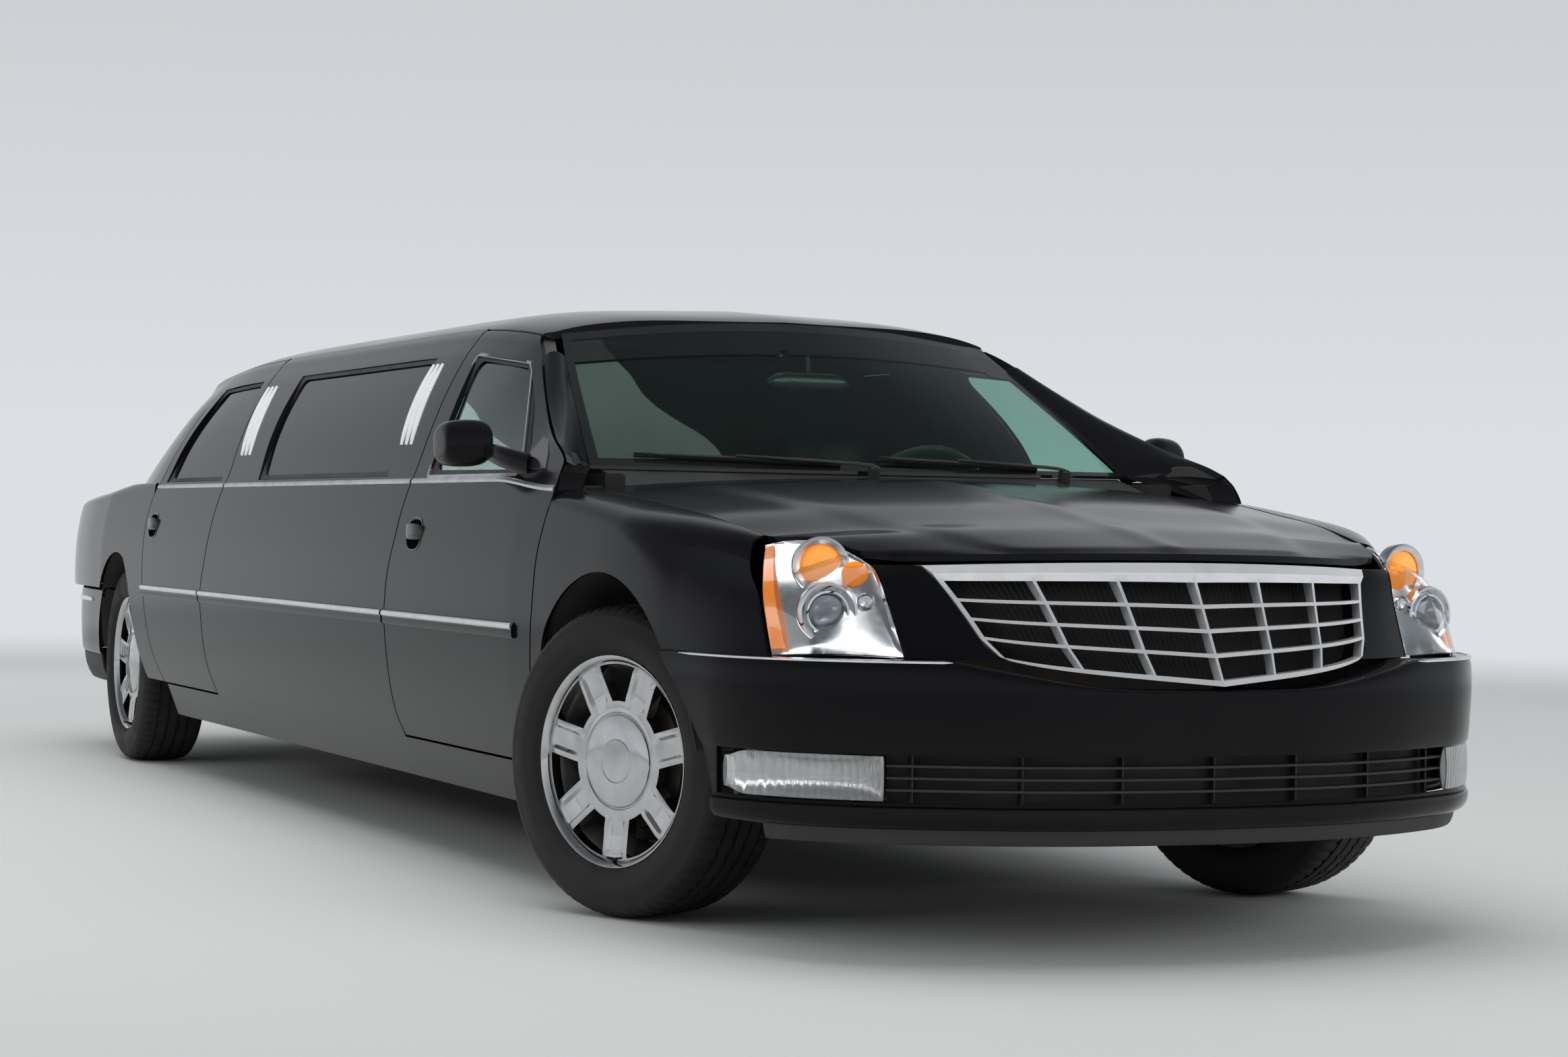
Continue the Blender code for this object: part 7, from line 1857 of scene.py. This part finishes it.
SEAT_START = FRONT_AXLE - 1.080
lean = math.radians(11)
back_up = Vector((-math.sin(lean), 0, math.cos(lean)))
for label, side in SIDES:
    y = side * 0.405
    placed_pad(f"front_cushion_{label}", pillow(0.50, 0.50, 0.125, (-0.55, -0.18, 0.18, 0.55)),
               (SEAT_START - 0.235, y, 0.375), (0, -1, 0), (1, 0, 0.05), "body", (f"front_seat_{label}",))
    placed_pad(f"front_backrest_{label}", pillow(0.49, 0.56, 0.125, (-0.55, -0.18, 0.18, 0.55), 0.15,
                                                 (0.72,)),
               Vector((SEAT_START - 0.600, y, 0.700)), (0, 1, 0), back_up, "body")
    for k, edge in enumerate((-1, 1)):
        placed_pad(f"front_bolster_{label}_{k + 1}", pillow(0.065, 0.46, 0.060),
                   (SEAT_START - 0.235, y + edge * 0.232, 0.437), (0, -1, 0), (1, 0, 0.05), "body")
        placed_pad(f"front_back_bolster_{label}_{k + 1}", pillow(0.065, 0.48, 0.060),
                   Vector((SEAT_START - 0.545, y + edge * 0.226, 0.690)), (0, 1, 0), back_up, "body")
    placed_pad(f"front_headrest_{label}", pillow(0.27, 0.145, 0.100, (), 0.2),
               Vector((SEAT_START - 0.672, y, 1.060)), (0, 1, 0), back_up, "body")
    for k, dy in enumerate((-0.055, 0.055)):
        post = turned([(-0.05, 0.0005), (-0.05, 0.006), (0.06, 0.006), (0.06, 0.0005)], 14,
                      Vector((SEAT_START - 0.655, y + dy, 0.985)), back_up)
        fitted(f"headrest_post_{label}_{k + 1}", post, bright_metal)
    base = [[(SEAT_START + x, yy, z) for x, z in ((-0.02, 0.2925), (-0.015, 0.345), (-0.30, 0.335),
                                                  (-0.56, 0.345), (-0.60, 0.420), (-0.625, 0.410),
                                                  (-0.610, 0.2925))]
            for yy in (y - 0.235, y - 0.215, y + 0.215, y + 0.235)]
    fitted(f"front_seat_base_{label}", loft(base), seat_base_black, edge=0.004)
    shell_rows = [[(SEAT_START - 0.668 + dx - 0.155 * (z - 0.42), y + dy, z) for dx, dy in
                   ((0.020, -0.225), (-0.004, -0.205), (-0.010, 0.0), (-0.004, 0.205), (0.020, 0.225),
                    (0.030, 0.0))]
                  for z in spread(0.40, 0.965, 12)]
    fitted(f"front_seat_back_shell_{label}", loft(shell_rows), seat_base_black, edge=0.004)
BENCH_START = REAR_AXLE + 1.225
placed_pad("bench_cushion", pillow(1.40, 0.50, 0.130, (-0.88, -0.62, -0.36, -0.12, 0.12, 0.36, 0.62, 0.88),
                                   0.10),
           (BENCH_START - 0.235, 0.0, 0.373), (0, -1, 0), (1, 0, 0.05), "body", ("rear_bench",))
placed_pad("bench_backrest", pillow(1.38, 0.60, 0.120, (-0.88, -0.62, -0.36, -0.12, 0.12, 0.36, 0.62, 0.88),
                                    0.10, (0.66,)), Vector((BENCH_START - 0.600, 0.0, 0.705)), (0, 1, 0),
                                    back_up, "body")
for k, y in enumerate((-0.44, 0.0, 0.44)):
    placed_pad(f"bench_headrest_{k + 1}", pillow(0.26, 0.105, 0.080, (), 0.2),
               Vector((BENCH_START - 0.664, y, 1.030)), (0, 1, 0), back_up, "body")
base = [[(BENCH_START + x, y, z) for x, z in ((-0.02, 0.2925), (-0.015, 0.345), (-0.30, 0.335),
                                              (-0.530, 0.345), (-0.540, 0.2925))] for y in (-0.700, 0.700)]
fitted("bench_base", loft(base), seat_base_black, edge=0.004)
back_board = [[(BENCH_START - 0.628 - 0.155 * (z - 0.45) + dx, y, z) for dx, z in
               ((0.0, 0.450), (-0.018, 0.450), (-0.018, 0.960), (0.0, 0.960))]
               for y in spread(-0.690, 0.690, 9)]
fitted("bench_back_board", loft(back_board), seat_base_black, edge=0.004)

# Inside mirror and sun visors: a moulded black shell on a ball stalk bonded to the windshield, and two
# padded boards covered like the headlining under the roof's leading edge.
stalk = [on_windshield(0.0, 0.80, -0.012), on_windshield(0.0, 0.78, -0.035), on_windshield(0.0, 0.76, -0.055)]
fitted("mirror_stalk", swept_bar(refine(stalk, 5), (0.007, 0.007), 12), grip_black)
mirror_middle = on_windshield(0.0, 0.755, -0.062) + Vector((-0.012, 0.0, -0.010))
rings = []
for t in spread(-1.0, 1.0, 25):
    size = max(1 - abs(t) ** 4, 0.02) ** 0.5
    rings.append([mirror_middle + Vector((0.012 * size * math.cos(a) + 0.01 * t * t, 0.115 * t,
                                          0.030 * size * math.sin(a)))
                  for a in spread(0, 2 * math.pi, 25)[:-1]])
fitted("inside_mirror", loft(rings), grip_black)
for label, side in SIDES:
    visor = pillow(0.40, 0.150, 0.020, (), 0.1)
    top_front = on_windshield(side * 0.62, 0.97, 0.0)
    visor.transform(Matrix.Translation((top_front.x - 0.130, side * 0.330, top_front.z - 0.034))
                    @ Matrix.Rotation(math.radians(4), 4, "Y") @ Matrix.Rotation(math.radians(90), 4, "Z"))
    shade = fitted(f"sun_visor_{label}", visor, headlining, crease=70)

# Floor, frame, firewall and running gear: pressed and welded steel under black wax, cast iron parts left as
# cast, and a carpeted cabin floor. Their solids have the right shape and only take their finish here.
chassis_black = finish("chassis_black", 0.012, (0.022, 0.020, 0.018), (0.50, 0.75), patch=0.10, grain=0.003,
                       relief=0.0006, dust=0.10, dust_top=0.9)
cast_iron = finish("cast_iron", (0.090, 0.082, 0.075), (0.150, 0.115, 0.085), (0.50, 0.75), metallic=0.7,
                   patch=0.06, grain=0.002, relief=0.0006, dust=0.4, dust_top=0.9)
carpet_black = finish("carpet_black", (0.020, 0.019, 0.019), (0.034, 0.032, 0.031), (0.85, 0.95), patch=0.15,
                      grain=0.0014, relief=0.0012)
partition_trim = finish("partition_trim", (0.028, 0.027, 0.027), (0.040, 0.038, 0.037), (0.45, 0.60),
                        patch=0.2, grain=0.0018, relief=0.0004)
for name, material in (("floor_pan", black_paint), ("front_frame", chassis_black),
                       ("middle_frame", chassis_black), ("rear_frame", chassis_black),
                       ("firewall", chassis_black), ("cowl", matt_black), ("rear_axle", cast_iron),
                       ("knuckle_R", cast_iron), ("knuckle_L", cast_iron), ("engine", cast_iron),
                       ("parcel_shelf", carpet_black), ("partition", partition_trim)):
    for place_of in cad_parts[name].material_slots:
        place_of.material = material
# Carpet over the cabin floor, between the sills.
carpet_outer = [[Vector((x, y, 0.2985 + 0.0015 * math.sin(9 * x) * math.sin(7 * y)))
                 for y in spread(-0.745, 0.745, 40)]
                for x in spread(FRONT_AXLE - 0.470, REAR_AXLE + 0.700, 120)]
carpet_inner = [[Vector((point.x, point.y, 0.2926)) for point in row] for row in carpet_outer]
fitted("cabin_carpet", sheet_grid(carpet_outer, carpet_inner), (carpet_black, carpet_black))

# Studio: a pale floor that runs into a pale backdrop, a ceiling that darkens overhead, weak softboxes
# above and around the car, and a camera at the photograph's place, height and lens.
floor_mesh = bmesh.new()
bmesh.ops.create_grid(floor_mesh, x_segments=1, y_segments=1, size=60.0)
floor_data = bpy.data.meshes.new("studio_floor")
floor_mesh.to_mesh(floor_data)
floor_mesh.free()
studio_floor = bpy.data.objects.new("studio_floor", floor_data)
bpy.context.scene.collection.objects.link(studio_floor)
studio_floor.location.z = -0.0005
floor_finish = bpy.data.materials.new("pale_floor")
floor_finish.use_nodes = True
floor_tree = floor_finish.node_tree
floor_shader = floor_tree.nodes["Principled BSDF"]
floor_shader.inputs["Roughness"].default_value = 0.75
floor_grain = add_node(floor_tree, "TexNoise", {"Scale": 3.0}).outputs["Fac"]
floor_tint = add_node(floor_tree, "Mix", {0: floor_grain, 6: (0.50, 0.50, 0.49, 1.0),
                                          7: (0.54, 0.54, 0.53, 1.0)},
                      data_type="RGBA")
floor_tree.links.new(floor_tint.outputs[2], floor_shader.inputs["Base Color"])
# Far from the car the floor melts into the backdrop, as a studio sweep does.
BACKDROP = (0.72, 0.74, 0.77, 1.0)
sweep_place = add_node(floor_tree, "TexCoord", {}).outputs["Object"]
sweep_reach = add_node(floor_tree, "VectorMath", {0: sweep_place}, operation="LENGTH").outputs["Value"]
sweep_fade = add_node(floor_tree, "MapRange", {"From Min": 5.5, "From Max": 16.0, "Value": sweep_reach},
                      interpolation_type="SMOOTHSTEP").outputs[0]
bounced = add_node(floor_tree, "LightPath", {}).outputs["Is Diffuse Ray"]
direct = add_node(floor_tree, "Math", {0: 1.0, 1: bounced}, operation="SUBTRACT").outputs[0]
sweep_share = add_node(floor_tree, "Math", {0: sweep_fade, 1: direct}, operation="MULTIPLY").outputs[0]
sweep_glow = add_node(floor_tree, "Emission", {"Color": BACKDROP}).outputs[0]
sweep_mix = add_node(floor_tree, "MixShader", {0: sweep_share, 1: floor_shader.outputs[0], 2: sweep_glow})
floor_tree.links.new(sweep_mix.outputs[0], floor_tree.nodes["Material Output"].inputs["Surface"])
floor_data.materials.append(floor_finish)

sky = bpy.data.worlds.new("studio_sky")
bpy.context.scene.world = sky
sky.use_nodes = True
sky_tree = sky.node_tree


def ramp(tree, stops):
    """Colour ramp through stops of place and colour."""
    node = add_node(tree, "ValToRGB", {})
    elements = node.color_ramp.elements
    for k, (stop, colour) in enumerate(stops):
        element = elements[k] if k < 2 else elements.new(stop)
        element.position, element.color = stop, (*colour, 1.0)
    return node


# What the camera, the glass and the polished pieces see, and what lights the rest.
ceiling = ramp(sky_tree, ((0.51, BACKDROP[:3]), (0.86, (0.13, 0.14, 0.15))))
pale = add_node(sky_tree, "Background", {"Color": ceiling.outputs[0], "Strength": 1.0}).outputs[0]
place = add_node(sky_tree, "TexCoord", {}).outputs["Generated"]
upright = add_node(sky_tree, "SeparateXYZ", {0: place}).outputs["Z"]
band = ramp(sky_tree, ((0.46, (0.10, 0.10, 0.10)), (0.70, (0.62, 0.65, 0.68)), (0.52, (0.30, 0.31, 0.32))))
rise = add_node(sky_tree, "MapRange", {"From Min": -1.0, "From Max": 1.0, "Value": upright}).outputs[0]
for shade in (band, ceiling):
    sky_tree.links.new(rise, shade.inputs[0])
glow = sky_tree.nodes["Background"]
glow.inputs["Strength"].default_value = 1.0
sky_tree.links.new(band.outputs[0], glow.inputs["Color"])
rays = add_node(sky_tree, "LightPath", {}).outputs
either = add_node(sky_tree, "Math", {0: rays["Is Camera Ray"], 1: rays["Is Transmission Ray"]},
                  operation="MAXIMUM")
seen = add_node(sky_tree, "Math", {0: either.outputs[0], 1: rays["Is Glossy Ray"]},
                operation="MAXIMUM").outputs[0]
choose = add_node(sky_tree, "MixShader", {0: seen, 1: glow.outputs[0], 2: pale})
sky_tree.links.new(choose.outputs[0], sky_tree.nodes["World Output"].inputs["Surface"])

LAMP_SHARE = 0.85
for name, spot, aim, size, power in (
    ("overhead_box", (0.5, -1.0, 6.0), (0.0, 0.0, 0.0), (9.0, 5.0), 420.0),
    ("nose_box", (8.5, 3.5, 3.2), (2.0, 0.0, 0.6), (4.0, 2.0), 120.0),
    ("flank_box", (1.0, -8.0, 3.4), (0.0, 0.0, 0.6), (9.0, 1.6), 160.0),
    ("far_box", (-2.0, 8.0, 3.4), (0.0, 0.0, 0.6), (9.0, 1.6), 120.0),
    ("tail_box", (-9.0, -1.0, 3.4), (-3.0, 0.0, 0.6), (4.0, 2.0), 90.0),
):
    lamp_data = bpy.data.lights.new(name, "AREA")
    lamp_data.shape = "RECTANGLE"
    lamp_data.size, lamp_data.size_y = size
    lamp_data.energy = power * LAMP_SHARE
    softbox = bpy.data.objects.new(name, lamp_data)
    bpy.context.scene.collection.objects.link(softbox)
    softbox.location = spot
    softbox.rotation_euler = (Vector(aim) - Vector(spot)).to_track_quat("-Z", "Y").to_euler()
    softbox.visible_glossy = False

CAMERA_PLACE = Vector((9.376, -3.421, 0.871))
CAMERA_YAW, CAMERA_PITCH, CAMERA_ROLL = 0.4044, -0.0012, 0.0141
sight = Vector((-math.cos(CAMERA_YAW) * math.cos(CAMERA_PITCH), math.sin(CAMERA_YAW) * math.cos(CAMERA_PITCH),
                math.sin(CAMERA_PITCH)))
across = sight.cross(Vector((0, 0, 1))).normalized()
upward = across.cross(sight)
camera_x = across * math.cos(CAMERA_ROLL) + upward * math.sin(CAMERA_ROLL)
camera_y = upward * math.cos(CAMERA_ROLL) - across * math.sin(CAMERA_ROLL)
FOCAL_PIXELS, PHOTO_WIDTH = 4935.2, 2327
camera_data = bpy.data.cameras.new("photo_camera")
camera_data.sensor_width = 36.0
camera_data.lens = camera_data.sensor_width * FOCAL_PIXELS / PHOTO_WIDTH
camera_data.clip_start = 0.1
camera = bpy.data.objects.new("photo_camera", camera_data)
bpy.context.scene.collection.objects.link(camera)
turn = Matrix((camera_x, camera_y, -sight)).transposed().to_4x4()
camera.matrix_world = Matrix.Translation(CAMERA_PLACE) @ turn
bpy.context.scene.camera = camera
bpy.context.scene.view_settings.view_transform = "Standard"
